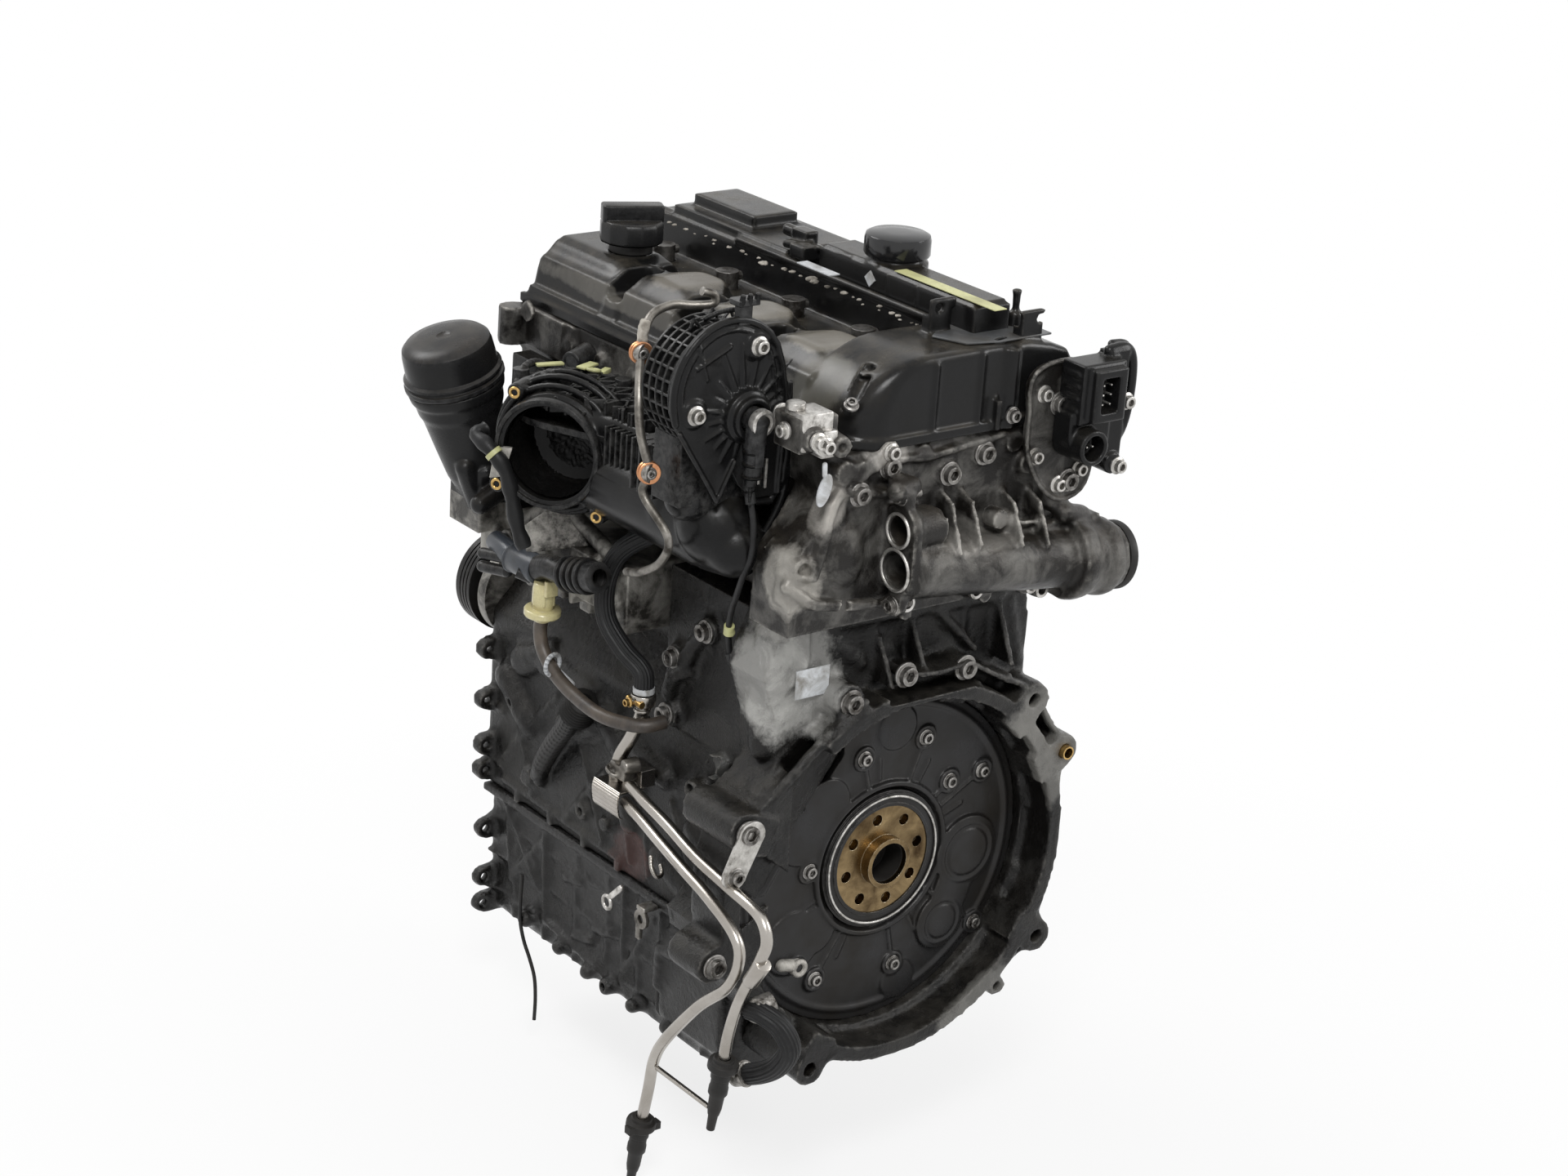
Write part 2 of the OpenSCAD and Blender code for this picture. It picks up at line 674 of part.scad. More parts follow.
module cover_outline(r) {
    difference() {
        circle(r = r, $fn = 96);
        polygon([[-46 + (r - recess_r), 104 - (recess_r - r)], [-46, 260], [-300, 260],
            [-300, -5], [-134 + (recess_r - r), -5]]);
    }
}

module rear_seal() color([0.50, 0.50, 0.50]) difference() {
    union() {
        bar_y(0, 0, -3, plate_t - seat_gap, seal_ring_r);
        bar_y(0, 0, -5, -3, seal_ring_r - 2);
    }
    bar_y(0, 0, -6, plate_t + 1, flange_r + run_gap);
    slab(-6, -4) difference() {
        circle(r = seal_ring_r - 4);
        circle(r = flange_r + 3);
    }
}

module front_seal_cover() color([0.14, 0.14, 0.14]) difference() {
    union() {
        bar_y(0, 0, case_front, case_front + 5, 56);
        bar_y(0, 0, case_front + 5, case_front + 8, 38);
    }
    bar_y(0, 0, case_front - 1, case_front + 9, 24 + run_gap);
}

module water_pump() color([0.42, 0.41, 0.39]) difference() {
    union() {
        bar_y(pump_x, pump_z, case_front, case_front + 12, 44);
        bar_y(pump_x, pump_z, case_front + 12, case_front + 22, 20);
        block([pump_x - 16, case_front, pump_z + 30], [pump_x + 16, case_front + 12, pump_z + 70]);
    }
    bar_y(pump_x, pump_z, case_front + 2, case_front + 23, 8 + run_gap);
}

module pump_pulley() color([0.12, 0.12, 0.12]) {
    bar_y(pump_x, pump_z, case_front + 4, case_front + 30, 8);
    difference() {
        bar_y(pump_x, pump_z, case_front + 24, case_front + 46, pump_r);
        bar_y(pump_x, pump_z, case_front + 30, case_front + 47, pump_r - 8);
        for (y = [28, 33, 38]) slab(case_front + y, case_front + y + 2)
            translate([pump_x, pump_z]) difference() {
                circle(r = pump_r + 1);
                circle(r = pump_r - 2);
            }
    }
    bar_y(pump_x, pump_z, case_front + 30, case_front + 36, 14);
}

// ===================================================================================
// Crankshaft, gears, balance shafts, pistons
// ===================================================================================

// Crank web between a journal and the pin on side s, kept inside radius reach
module web(y0, y1, s, reach = 100) {
    slab(y0, y1) intersection() {
        circle(r = reach, $fn = 64);
        union() {
            strip([0, 0], [s * throw, 0], 29);
            intersection() {
                circle(r = weight_r, $fn = 64);
                translate([s > 0 ? -weight_r - 1 : -4, -58]) square([weight_r + 5, 116]);
            }
        }
    }
}

module crankshaft() color([0.55, 0.42, 0.26]) difference() {
    union() {
        bar_y(0, 0, flange_y, plate_t, flange_r);
        bar_y(0, 0, hub_y, flange_y, 22.5);
        bar_y(0, 0, plate_t, chest_back, 23);
        slab(gear_y0, gear_y1) gear_outline(crank_teeth, idler_angle);
        for (k = [0 : cylinders]) bar_y(0, 0, k == 0 ? chest_back : main_y(k) - bulkhead_half - 1,
            k == cylinders ? case_front : main_y(k) + bulkhead_half + 1, main_r);
        bar_y(0, 0, case_front, case_front + 36, 24);
        for (i = [0 : cylinders - 1]) crank_throw(i);
        slab(drive_y0, drive_y1) gear_outline(balance_drive_teeth, balance_angle);
    }
    bar_y(0, 0, hub_y - 1, 14, pilot_r);
    for (k = [0 : flange_bolts - 1]) let (a = 360 * k / flange_bolts + 12)
        bar_y(flange_bolt_circle_r * cos(a), flange_bolt_circle_r * sin(a), flange_y - 1,
            4, flange_hole_r);
    bar_y(0, 0, case_front + 10, case_front + 37, 7);
}

module crank_throw(i) {
    s = (i == 0 || i == cylinders - 1) ? 1 : -1;
    y0 = main_y(i) + bulkhead_half + 1;
    y1 = main_y(i + 1) - bulkhead_half - 1;
    if (i == 0) {
        web(y0, drive_y1 + run_gap, s, drive_gear_r - 2 * gear_m);
        web(drive_y1 + run_gap, y0 + 16, s);
    }
    else web(y0, y0 + 16, s);
    bar_y(s * throw, 0, y0 + 16, y1 - 16, pin_r);
    web(y1 - 16, y1, s);
}

module crank_pulley() color([0.12, 0.12, 0.12]) difference() {
    bar_y(0, 0, case_front + 10, case_front + 36, damper_r);
    bar_y(0, 0, case_front + 9, case_front + 37, 24.02);
    slab(case_front + 28, case_front + 37) difference() {
        circle(r = damper_r - 14);
        circle(r = 36);
    }
    for (y = [14, 18, 22]) slab(case_front + y, case_front + y + 2) difference() {
        circle(r = damper_r + 1);
        circle(r = damper_r - 2.5);
    }
}

module idler_gear() color([0.50, 0.48, 0.45]) translate([idler_x, 0, idler_z]) {
    slab(gear_y0, gear_y1)
        gear_outline(idler_teeth, idler_angle + 180 + 180 / idler_teeth);
    bar_y(0, 0, gear_y1, chain_y0 + 1, 24);
    bar_y(0, 0, chain_y0, chain_y1, sprocket_r);
}

// Balance shaft: two journals, an eccentric weight, and its gears
module balance_shaft(x, weight_side) {
    translate([x, 0, balance_z]) {
        bar_y(0, 0, mesh_y0, balance_end, balance_r);
        slab(165, 300) intersection() {
            circle(r = balance_weight_r);
            translate([-30, weight_side > 0 ? -3 : -30]) square([60, 33]);
        }
    }
}

module balance_shaft_1() color([0.48, 0.47, 0.45]) {
    balance_shaft(-balance_x, -1);
    translate([-balance_x, 0, balance_z]) {
        slab(drive_y0, drive_y1)
            gear_outline(balance_teeth, balance_angle + 180 + 180 / balance_teeth);
        slab(mesh_y0, mesh_y1) gear_outline(balance_teeth, 0);
    }
}

module balance_shaft_2() color([0.48, 0.47, 0.45]) {
    balance_shaft(balance_x, -1);
    translate([balance_x, 0, balance_z]) slab(mesh_y0, mesh_y1)
        gear_outline(balance_teeth, 180 + 180 / balance_teeth);
}

// Piston at half stroke, with ring grooves and a gudgeon pin hole
module piston(i) color([0.60, 0.60, 0.60]) {
    crown = deck_z - throw;
    translate([bore_x, cyl_y(i), crown]) difference() {
        translate([0, 0, -piston_h]) cylinder(h = piston_h, r = bore_r - run_gap, $fn = 64);
        for (z = [-9, -16, -23]) translate([0, 0, z]) difference() {
            cylinder(h = 2.2, r = bore_r + 1);
            cylinder(h = 2.2, r = bore_r - 3);
        }
        translate([0, 0, -10]) cylinder(h = 11, r = 22);
        translate([0, 0, -piston_h - 1]) cylinder(h = piston_h - 27, r = bore_r - 7);
        bar_y(0, -crown_to_pin, -50, 50, gudgeon_r);
    }
}

// ===================================================================================
// Cylinder head
// ===================================================================================

cam_rows = concat([for (k = [0 : cylinders - 1]) main_y(k)], [cam_end - 7]);
tube_y = -56;
tube_x0 = -46;
tube_len = 222;
tube_fall = 6.7;

module cylinder_head() color([0.30, 0.29, 0.27]) difference() {
    union() {
        block([head_left, head_rear, head_z0], [head_right, head_front, head_z1]);
        block([-146, head_rear, head_z0], [head_left + 1, 12, head_z0 + 26]);
        block([-122, head_rear, head_z0 + 20], [head_left + 1, -8, 330]);
        block([head_left - 14, head_rear + 4, 352], [head_left + 1, 18, head_z1 - 4]);
        cross_tube();
        for (p = head_rear_bolts) bar_y(p[0], p[2], head_rear - 4, head_rear, 11);
        for (x = [-33, 50, 92, 128]) bar_y(x, head_z0 + 5, head_rear - 10, head_rear, 7);
        block([90, -50, 320], [128, head_rear + 1, 382]);
        head_sides();
    }
    chain_space(sprocket_r + 13, plate_t, chest_back);
    for (x = cam_xs) {
        bar_y(x, head_z1, plate_t, chest_back, cam_gear_r + 5);
        cam_gallery(x);
        bar_y(x, head_z1, chest_back - 2, cam_end + 1, cam_r + run_gap);
    }
    for (i = [0 : cylinders - 1]) let (y = cyl_y(i)) {
        bar_x(y, port_z, head_left - 1, -16, port_r);
        translate([-16, y, head_z0 - 1]) cylinder(h = port_z - head_z0 + 6, r = 13);
        bar_x(y, exhaust_z, 34 + 2.5 * i, head_right + 14, exhaust_r);
        translate([36, y, head_z0 - 1]) cylinder(h = 52, r = 13);
        translate([valley_x, y, head_z0 - 1]) cylinder(h = head_h + 3, r = injector_r + bolt_gap);
    }
    m8_holes([for (p = head_rear_bolts) [p[0], head_rear - 4, p[2]]]);
    bar_x(-56, 321, port_flange_x - 1, -24, 12);
    bar_x(-56, 288, port_flange_x - 1, 20, 15);
    for (p = port_flange_bolts) bar_x(p[1], p[2], p[0] - 1, p[0] + 24, bolt_r + bolt_gap);
    m8_holes([[118, -50, 336]]);
}

// Cast coolant tube across the rear face, with its twin-port flange
module cross_tube() {
    translate([tube_x0, tube_y, 287]) rotate([0, 90 + tube_fall, 0]) {
        cylinder(h = tube_len, r = tube_r - 3);
        translate([0, 0, tube_len - 46]) cylinder(h = 46, r = tube_r + 2);
    }
    block([tube_x0 + 8, tube_y, 262], [160, head_rear + 1, 300]);
    for (x = [-20, 18, 56]) block([x, tube_y, 285], [x + 4, head_rear + 1, 338]);
    bar_y(72, 322, head_rear - 8, head_rear + 1, 10);
    bar_x(-56, 321, port_flange_x + 8, -18, 17);
    block([-48, -58, 306], [-24, head_rear + 1, 332]);
    translate([port_flange_x, 0, 0]) rotate([90, 0, 90]) linear_extrude(height = 9) {
        strip([-56, 286], [-56, 323], 20);
        strip([-56, 258], [-56, 350], 9);
    }
}

// Bosses and port pads along both sides
module head_sides() {
    for (y = cyl_rows) {
        bar_x(y, 292, head_right - 1, head_right + 9, 25);
        for (s = [-1, 1]) bar_x(y + s * 30, 300 + s * 8, head_right - 1, head_right + 5, 8);
    }
    block([head_right - 1, cyl_y(0) - 34, 278], [head_right + 6, cyl_y(3) + 34, 306]);
    for (y = [60, 150, 245, 340]) block([head_left - 4, y, 356], [head_left + 1, y + 9, head_z1]);
    block([head_left - 6, 352, 350], [head_left + 1, head_front, head_z1]);
    for (z = [350, 374]) bar_y(head_left + 6, z, head_front - 1, head_front + 5, 9);
}

// Open oil spaces between the bearing saddles of one camshaft
module cam_gallery(x) {
    for (k = [0 : len(cam_rows) - 2])
        block([x - 30, cam_rows[k] + 9, head_z1 - 34], [x + 30, cam_rows[k + 1] - 9, head_z1 + 1]);
}

module head_gasket() color([0.35, 0.35, 0.36]) difference() {
    block([bore_x - waist_half, -6, deck_z], [bore_x + waist_half, head_front - 2, head_z0]);
    chain_space(sprocket_r + 13, plate_t, chest_back);
    for (y = cyl_rows) translate([bore_x, y, deck_z - 1]) cylinder(h = 4, r = bore_r + 1);
}

module cam_bearing_frame() color([0.55, 0.54, 0.52]) difference() {
    for (x = cam_xs) {
        for (y = cam_rows) block([x - 34, y - 8, head_z1], [x + 34, y + 8, head_z1 + frame_h]);
        for (s = [-34, 29]) block([x + s, cam_rows[0], head_z1], [x + s + 5, cam_end, head_z1 + 8]);
    }
    for (x = cam_xs) bar_y(x, head_z1, 0, cam_end + 1, cam_r + run_gap);
}

// Camshaft with two lobes a cylinder, turned by first degrees
module camshaft(x, first, tooth) {
    order = [0, 90, 270, 180];
    translate([x, 0, head_z1]) {
        bar_y(0, 0, gear_y0, cam_end, cam_r);
        slab(gear_y0, gear_y1) gear_outline(cam_teeth, tooth);
        for (i = [0 : cylinders - 1], s = [-20, 20])
            slab(cyl_y(i) + s - 7, cyl_y(i) + s + 7) rotate(first + order[i]) {
                circle(r = lobe_r);
                strip([0, 0], [lobe_r + lobe_lift - 9, 0], 9);
            }
    }
}

module intake_camshaft() color([0.50, 0.48, 0.46])
    camshaft(intake_x, 120, 180 / cam_teeth);

module exhaust_camshaft() color([0.50, 0.48, 0.46]) {
    camshaft(exhaust_x, 40, 180);
    translate([exhaust_x, 0, head_z1]) bar_y(0, 0, chain_y0, chain_y1, sprocket_r);
}

module timing_chain() color([0.40, 0.38, 0.35]) difference() {
    chain_space(sprocket_r + 6.5, chain_y0 + 0.5, chain_y1 - 0.5);
    chain_space(sprocket_r + seat_gap, chain_y0 - 1, chain_y1 + 1);
}

module injectors() color([0.5, 0.5, 0.5]) for (y = cyl_rows) translate([valley_x, y, 0]) {
    translate([0, 0, head_z0 + 2]) cylinder(h = head_h - 2, r = injector_r);
    translate([0, 0, head_z1]) cylinder(h = valley_z - head_z1 - 6, r = 9);
    translate([0, 0, valley_z - 6]) cylinder(h = 20, r = 10);
    bar_x(0, valley_z + 8, 0, 14, 4);
}

// ===================================================================================
// Cam cover, separator, caps
// ===================================================================================

left_ridge_z = cover_top - 12;

// Section of the cover behind the dome, drawn in by a wall thickness
module ridge_section(w) {
    v0 = valley_x - ridge_gap / 2;
    v1 = valley_x + ridge_gap / 2;
    polygon([[cover_left + w, cover_z - (w > 0 ? 1 : 0)], [cover_left + w, cover_z + 17 - w],
        [cover_left + 13 + w, cover_z + 25 - w], [left_ridge_x + 4 + w, left_ridge_z - w],
        [v0 - 4 - w, left_ridge_z - w], [v0 - w, valley_z - w], [v1 + w, valley_z - w],
        [v1 + 3 + w, cover_top - w], [cover_right - 10 - w, cover_top - w],
        [cover_right - w, cover_top - 15 - w], [cover_right - w, cover_z - (w > 0 ? 1 : 0)]]);
}

dome_r = 78;
dome_x = cover_left - 4 + dome_r;

module dome_section(w) {
    intersection() {
        union() {
            translate([dome_x, cover_top - dome_r]) circle(r = dome_r - w, $fn = 96);
            translate([dome_x, cover_z - 20]) square([cover_right - dome_x - 12 - w,
                cover_top - cover_z + 20 - w]);
            translate([dome_x, cover_z - 20]) square([cover_right - dome_x - w,
                cover_top - cover_z + 8 - w]);
            translate([cover_right - 12 - w, cover_top - 12 - w]) circle(r = 12);
        }
        translate([-300, cover_z - (w > 0 ? 1 : 0)]) square([600, 200]);
    }
}

module cam_cover() color([0.07, 0.07, 0.075]) difference() {
    union() {
        slab(dome_y1 - 6, cover_y1) ridge_section(0);
        slab(dome_y0, dome_y1) dome_section(0);
        block([cover_left - 3, dome_y1, cover_z], [cover_right + 2, cover_y1 + 2, cover_z + 7]);
        slab(dome_y0 - 2, dome_y1) difference() {
            dome_section(0);
            translate([-300, cover_z + 5]) square([600, 100]);
        }
        for (x = [-16, 38, 84]) block([x, dome_y0 - 2, cover_z], [x + 2.5, dome_y0, cover_top]);
        for (e = tab_ears) tab_ear(e);
        translate([stud_x, stud_y, cover_top - 1]) cylinder(h = 32, r = 3.5);
        translate([stud_x, stud_y, cover_top - 1]) cylinder(h = 12, r = 7);
        translate([filler_x, filler_y, left_ridge_z - 1]) cylinder(h = 9, r = 25);
        block([35, 30, cover_top - 1], [separator_x0 - seat_gap, 300, cover_top + 5]);
        block([separator_x0, 232, cover_top - 1], [cover_right - 14, 400, cover_top + 9]);
        block([separator_x0 + 14, 300, cover_top + 8], [cover_right - 24, 390, cover_top + 20]);
    }
    difference() {
        union() {
            slab(dome_y1 - 8, cover_y1 - cover_wall) ridge_section(cover_wall);
            slab(dome_y0 + cover_wall, dome_y1 - cover_wall) dome_section(cover_wall);
        }
        for (y = notch_rows) notch(y, cover_wall);
    }
    for (y = notch_rows) {
        notch(y, 0);
        translate([notch_x, y, notch_z - cover_wall - 1]) cylinder(h = 8, r = screw_r + bolt_gap);
    }
    for (y = cyl_rows) translate([valley_x, y, valley_z - 8])
        cylinder(h = 12, r = 10 + seat_gap);
    translate([filler_x, filler_y, left_ridge_z - 20]) cylinder(h = 40, r = 19);
    for (e = tab_ears) bar_y(e[3], e[2] - 8, e[1] - 6, e[1] + 1, 3.5);
}

// Upright ear with a hole, moulded on top of the dome
module tab_ear(e) {
    block([e[0], e[1] - 5, cover_top - 6], [e[0] + 24, e[1], e[2]]);
    block([e[0], e[1] - 1, cover_top - 6], [e[0] + 3, e[1] + 8, e[2] - 14]);
}

// Round-ended notch that divides the left ridge into humps, grown by w
module notch(y, w) {
    block([cover_left - 20, y - notch_r - w, notch_z - w],
        [notch_x, y + notch_r + w, cover_top + 5]);
    translate([notch_x, y, notch_z - w]) cylinder(h = 60, r = notch_r + w);
}

module oil_separator() color([0.09, 0.085, 0.08]) {
    z1 = cover_top + separator_h;
    difference() {
        union() {
            block([separator_x0, separator_y0 + 8, cover_top], [separator_x1, separator_y1, z1 - 3]);
            block([separator_x0 + 3, separator_y0 + 11, z1 - 3],
                [separator_x1 - 3, separator_y1 - 3, z1]);
            block([separator_x0 + 6, separator_y1, cover_top], [separator_x1 - 14, 230, z1 - 12]);
            translate([separator_cap_x, separator_cap_y, cover_top])
                cylinder(h = separator_h, r = separator_cap_r - 1);
            translate([separator_cap_x, separator_cap_y, z1]) cylinder(h = 4, r = separator_cap_r - 4);
            block([30, 196, z1 - 17], [separator_x0 + 9, 216, z1 - 5]);
            block([separator_x0 + 2, 211, cover_top + 7], [separator_x0 + 16, 231.7, z1 + 3]);
            bar_y(separator_x0 + 9, z1 - 3, 229, 248, 5.5);
        }
        translate([separator_cap_x, separator_cap_y, z1 - 14]) cylinder(h = 20, r = 18);
        block([separator_x0 + 4, separator_y0 + 14, cover_top + 4],
            [separator_x1 - 4, separator_y1 - 30, z1 - 8]);
    }
}

module separator_cap() color([0.08, 0.08, 0.08])
    translate([separator_cap_x, separator_cap_y, cover_top + separator_h + 4]) {
        cylinder(h = 16, r = separator_cap_r);
        translate([0, 0, 16]) cylinder(h = 3, r = separator_cap_r - 2.5);
        for (k = [0 : 11]) rotate(30 * k) translate([separator_cap_r - 1, -1.5, 2])
            cube([2.2, 3, 12]);
    }

module filler_cap_seal() color([0.15, 0.10, 0.08])
    translate([filler_x, filler_y, left_ridge_z]) difference() {
        cylinder(h = 8, r = 19 - run_gap);
        translate([0, 0, -1]) cylinder(h = 10, r = 14 + run_gap);
    }

module oil_filler_cap() color([0.10, 0.10, 0.10])
    translate([filler_x, filler_y, left_ridge_z]) {
        translate([0, 0, -8]) cylinder(h = 17, r = 14);
        translate([0, 0, 8 + seat_gap]) cylinder(h = 20, r = filler_r);
        translate([0, 0, 28]) intersection() {
            cylinder(h = 13, r = filler_r);
            translate([-30, -6.5, 0]) cube([60, 13, 13]);
        }
        for (k = [0 : 17]) rotate(20 * k) translate([filler_r - 0.6, -1.4, 10])
            cube([1.8, 2.8, 16]);
    }

module tube_end_plug() color([0.07, 0.07, 0.07])
    translate([tube_x0, tube_y, 287]) rotate([0, 90 + tube_fall, 0])
        translate([0, 0, tube_len]) {
            cylinder(h = 8, r = tube_r + 1);
            translate([0, 0, 8]) cylinder(h = 5, r = tube_r - 6);
        }

// ===================================================================================
// Actuator at the rear right corner
// ===================================================================================

module actuator_plate() color([0.36, 0.35, 0.33]) difference() {
    union() {
        slab(-56, -50) {
            strip([104, 402], [118, 340], 24);
            strip([101, 404], [90, 380], 12);
        }
        bar_y(101, 404, -50, dome_y0 - 2.6, 8);
        bar_y(128, 408, -50, dome_y0 - 2.6, 8);
    }
    m8_holes([for (p = plate_bolts) [p[0], -56, p[2]]], 10);
}

module actuator_body() color([0.05, 0.05, 0.05]) difference() {
    union() {
        block([112, -84, 392], [152, -56, 440]);
        block([115, -92, 398], [147, -84, 438]);
        bar_y(122, 374, -86, -56, 17);
        bar_y(144, 352, -74, -56, 9);
        block([138, -72, 352], [160, -60, 446]);
        block([156, -76, 404], [166, -56, 452]);
    }
    block([120, -93, 403], [142, -72, 433]);
    bar_y(122, 374, -87, -72, 12);
}

// ===================================================================================
// Intake side
// ===================================================================================

// Places children at the inlet's mouth with +Z pointing out of it
module at_inlet() {
    translate(inlet_c) rotate([0, 0, 180 + inlet_turn]) rotate([0, 90, 0]) children();
}

module intake_manifold() color([0.07, 0.07, 0.07]) difference() {
    union() {
        manifold_shell();
        at_inlet() translate([0, 0, -inlet_len]) cylinder(h = inlet_len, r = inlet_r - 4);
        at_inlet() translate([0, 0, -9]) cylinder(h = 9, r = inlet_r);
        at_inlet() translate([0, 0, -24]) cylinder(h = 5, r = inlet_r);
        insert_bosses();
    }
    at_inlet() translate([0, 0, -inlet_len - 1]) cylinder(h = inlet_len + 2, r = inlet_bore_r);
    at_inlet() translate([0, 0, -6]) cylinder(h = 7, r = inlet_bore_r + 3);
    insert_holes();
}

// Hollow box, runner barrel and port flange of the manifold
module manifold_shell() difference() {
    union() {
        block([head_left - 26, 44, 296], [head_left - 6, 400, 348]);
        for (y = cyl_rows) bar_x(y, port_z, head_left - 8, head_left, port_r + 7);
        bar_y(runner_x, runner_z, drum_c[1] + seat_gap, 300, runner_r);
        plenum_slab(plenum[0][2], plenum[1][2] - rib_h, 0);
        plenum_ribs();
        block([-186, 40, 300], [-150, 112, 338]);
        for (y = [52, 70, 88]) block([-190, y, 296], [-150, y + 3, 338]);
        bar_y(-136, 292, drum_c[1] + seat_gap, 60, 26);
    }
    plenum_slab(plenum[0][2] + plenum_wall, plenum[1][2] - rib_h - plenum_wall, plenum_wall);
    bar_y(runner_x, runner_z, drum_c[1] + 5, 280, runner_r - 4);
    for (y = cyl_rows) bar_x(y, port_z, -150, head_left + 1, port_r);
    at_inlet() translate([0, 0, -inlet_len - 1]) cylinder(h = inlet_len + 2, r = inlet_bore_r);
}

// Plan of the plenum between two heights, with its corner cut back behind the inlet's mouth
module plenum_slab(z0, z1, w) {
    a = plenum[0] + [w, w, 0];
    b = plenum[1] - [w, w, 0];
    translate([0, 0, z0]) linear_extrude(height = z1 - z0) polygon([[b[0], a[1]], [b[0], b[1]],
        [a[0], b[1]], [a[0], 235], [-173 + w, 182 + w], [-166 + w, a[1]]]);
}

// Ribs on the plenum's top, and upright ribs beside the inlet
module plenum_ribs() {
    a = plenum[0];
    b = plenum[1];
    step = 17;
    intersection() {
        plenum_slab(b[2] - rib_h - 1, b[2], 0);
        union() {
            for (x = [a[0] : step : b[0]]) block([x, a[1], b[2] - rib_h], [x + 2.4, b[1], b[2]]);
            for (y = [a[1] : step : b[1]]) block([a[0], y, b[2] - rib_h], [b[0], y + 2.4, b[2]]);
        }
    }
    for (y = [a[1] : 13 : 170])
        block([-170 - (y - a[1]) / 10, y, a[2]], [-160, y + 3, b[2] - rib_h]);
}

insert_places = [[-8, 62, -46], [48, 38, -46], [56, -36, -46], [-60, -34, -46]];

module insert_bosses() {
    at_inlet() for (p = insert_places) translate([0, 0, -30]) {
        translate([-p[1], p[0], 0]) cylinder(h = 26, r = 8);
        linear_extrude(height = 16) strip([0, 0], [-p[1], p[0]], 5);
    }
}
module insert_holes() {
    at_inlet() for (p = insert_places) translate([-p[1], p[0], -24]) cylinder(h = 22, r = 5);
}

module brass_inserts() color([0.72, 0.56, 0.28])
    at_inlet() for (p = insert_places) translate([-p[1], p[0], -20]) difference() {
        cylinder(h = 17, r = 4.9);
        translate([0, 0, 4]) cylinder(h = 14, r = 3);
    }

module upper_chamber() color([0.07, 0.07, 0.07]) difference() {
    union() {
        bar_y(drum_c[0], drum_c[2], drum_c[1] + 8, drum_c[1] + drum_len, drum_r - 5);
        for (k = [0 : 4]) bar_y(drum_c[0], drum_c[2], drum_c[1] + 8 + 18 * k,
            drum_c[1] + 11 + 18 * k, drum_r);
        for (k = [0 : 15]) translate([drum_c[0], drum_c[1] + 8, drum_c[2]])
            rotate([0, 22.5 * k, 0]) translate([-1.3, 0, 40]) cube([2.6, drum_len - 10, drum_r - 40]);
        block([-190, drum_c[1] + 8, 340], [-128, 104, 366]);
        block([-206, 96, 350], [-136, 111, 392]);
        for (p = chamber_bolts) bar_y(p[0], p[2], drum_c[1] + 8, drum_c[1] + 24, 9);
        block([-152, 60, drum_z + 52], [-134, 78, drum_z + 68]);
    }
    bar_y(drum_c[0], drum_c[2], drum_c[1] + 7, drum_c[1] + drum_len - 5, drum_r - 9);
    for (p = chamber_bolts) bar_y(p[0], p[2], drum_c[1] - 1, drum_c[1] + 16, screw_r + bolt_gap);
}

module chamber_cover() color([0.06, 0.06, 0.06]) {
    y0 = drum_c[1];
    difference() {
        union() {
            bar_y(drum_c[0], drum_c[2], y0, y0 + 8, drum_r);
            bar_y(drum_c[0], drum_c[2], y0 - 4, y0, drum_r - 8);
            bar_y(drum_c[0], drum_c[2], y0 - 14, y0, 17);
            for (k = [0 : 15]) translate([drum_c[0], y0 - 8, drum_c[2]]) rotate([0, 22.5 * k, 0])
                translate([-1.2, 0, 12]) cube([2.4, 9, drum_r - 22]);
            for (p = chamber_bolts) bar_y(p[0], p[2], p[1], y0, 10);
            slab(y0 - 6, y0) polygon([[-212, 384], [-104, 384], [-112, 300], [-140, 262],
                [-170, 300]]);
        }
        bar_y(drum_c[0], drum_c[2], y0 - 15, y0 - 2, 10 + bolt_gap);
        for (p = chamber_bolts) bar_y(p[0], p[2], p[1] - 1, y0 + 9, screw_r + bolt_gap);
        slab(y0 - 7, y0 - 2) polygon([[-128, 366], [-112, 366], [-118, 306], [-132, 296]]);
    }
}

// Sensor in the middle of the chamber cover, with its plug turned down
module chamber_sensor() color([0.05, 0.05, 0.05])
    translate([drum_c[0], drum_c[1], drum_c[2]]) {
        bar_y(0, 0, -30, -2.3, 10);
        translate([0, -22, -34]) cylinder(h = 34, r = 8);
        translate([0, -22, -40]) cylinder(h = 6, r = 5);
        block([-7, -34, -24], [7, -28, -6]);
    }

module at_filter() {
    translate(filter_foot) rotate([0, -filter_lean, 0]) children();
}

module oil_filter_housing() color([0.07, 0.07, 0.07]) difference() {
    union() {
        at_filter() {
            translate([0, 0, 34]) cylinder(h = filter_len - 34, r = filter_r);
            translate([0, 0, 16]) cylinder(h = 20, r = filter_r - 10);
            translate([0, 0, filter_len - 12]) cylinder(h = 12, r = filter_cap_r - 1);
            for (k = [0 : 5]) rotate(60 * k + 20) translate([filter_r - 14, -1.5, 20])
                cube([14, 3, 70]);
        }
        block([-176, 362, 228], [-112, 412, 262]);
        block([-150, 340, 228], [-116, 372, 250]);
    }
    at_filter() translate([0, 0, 40]) cylinder(h = filter_len, r = filter_r - 4);
    at_filter() translate([0, 0, filter_len - 10]) cylinder(h = 20, r = filter_r - 2);
}

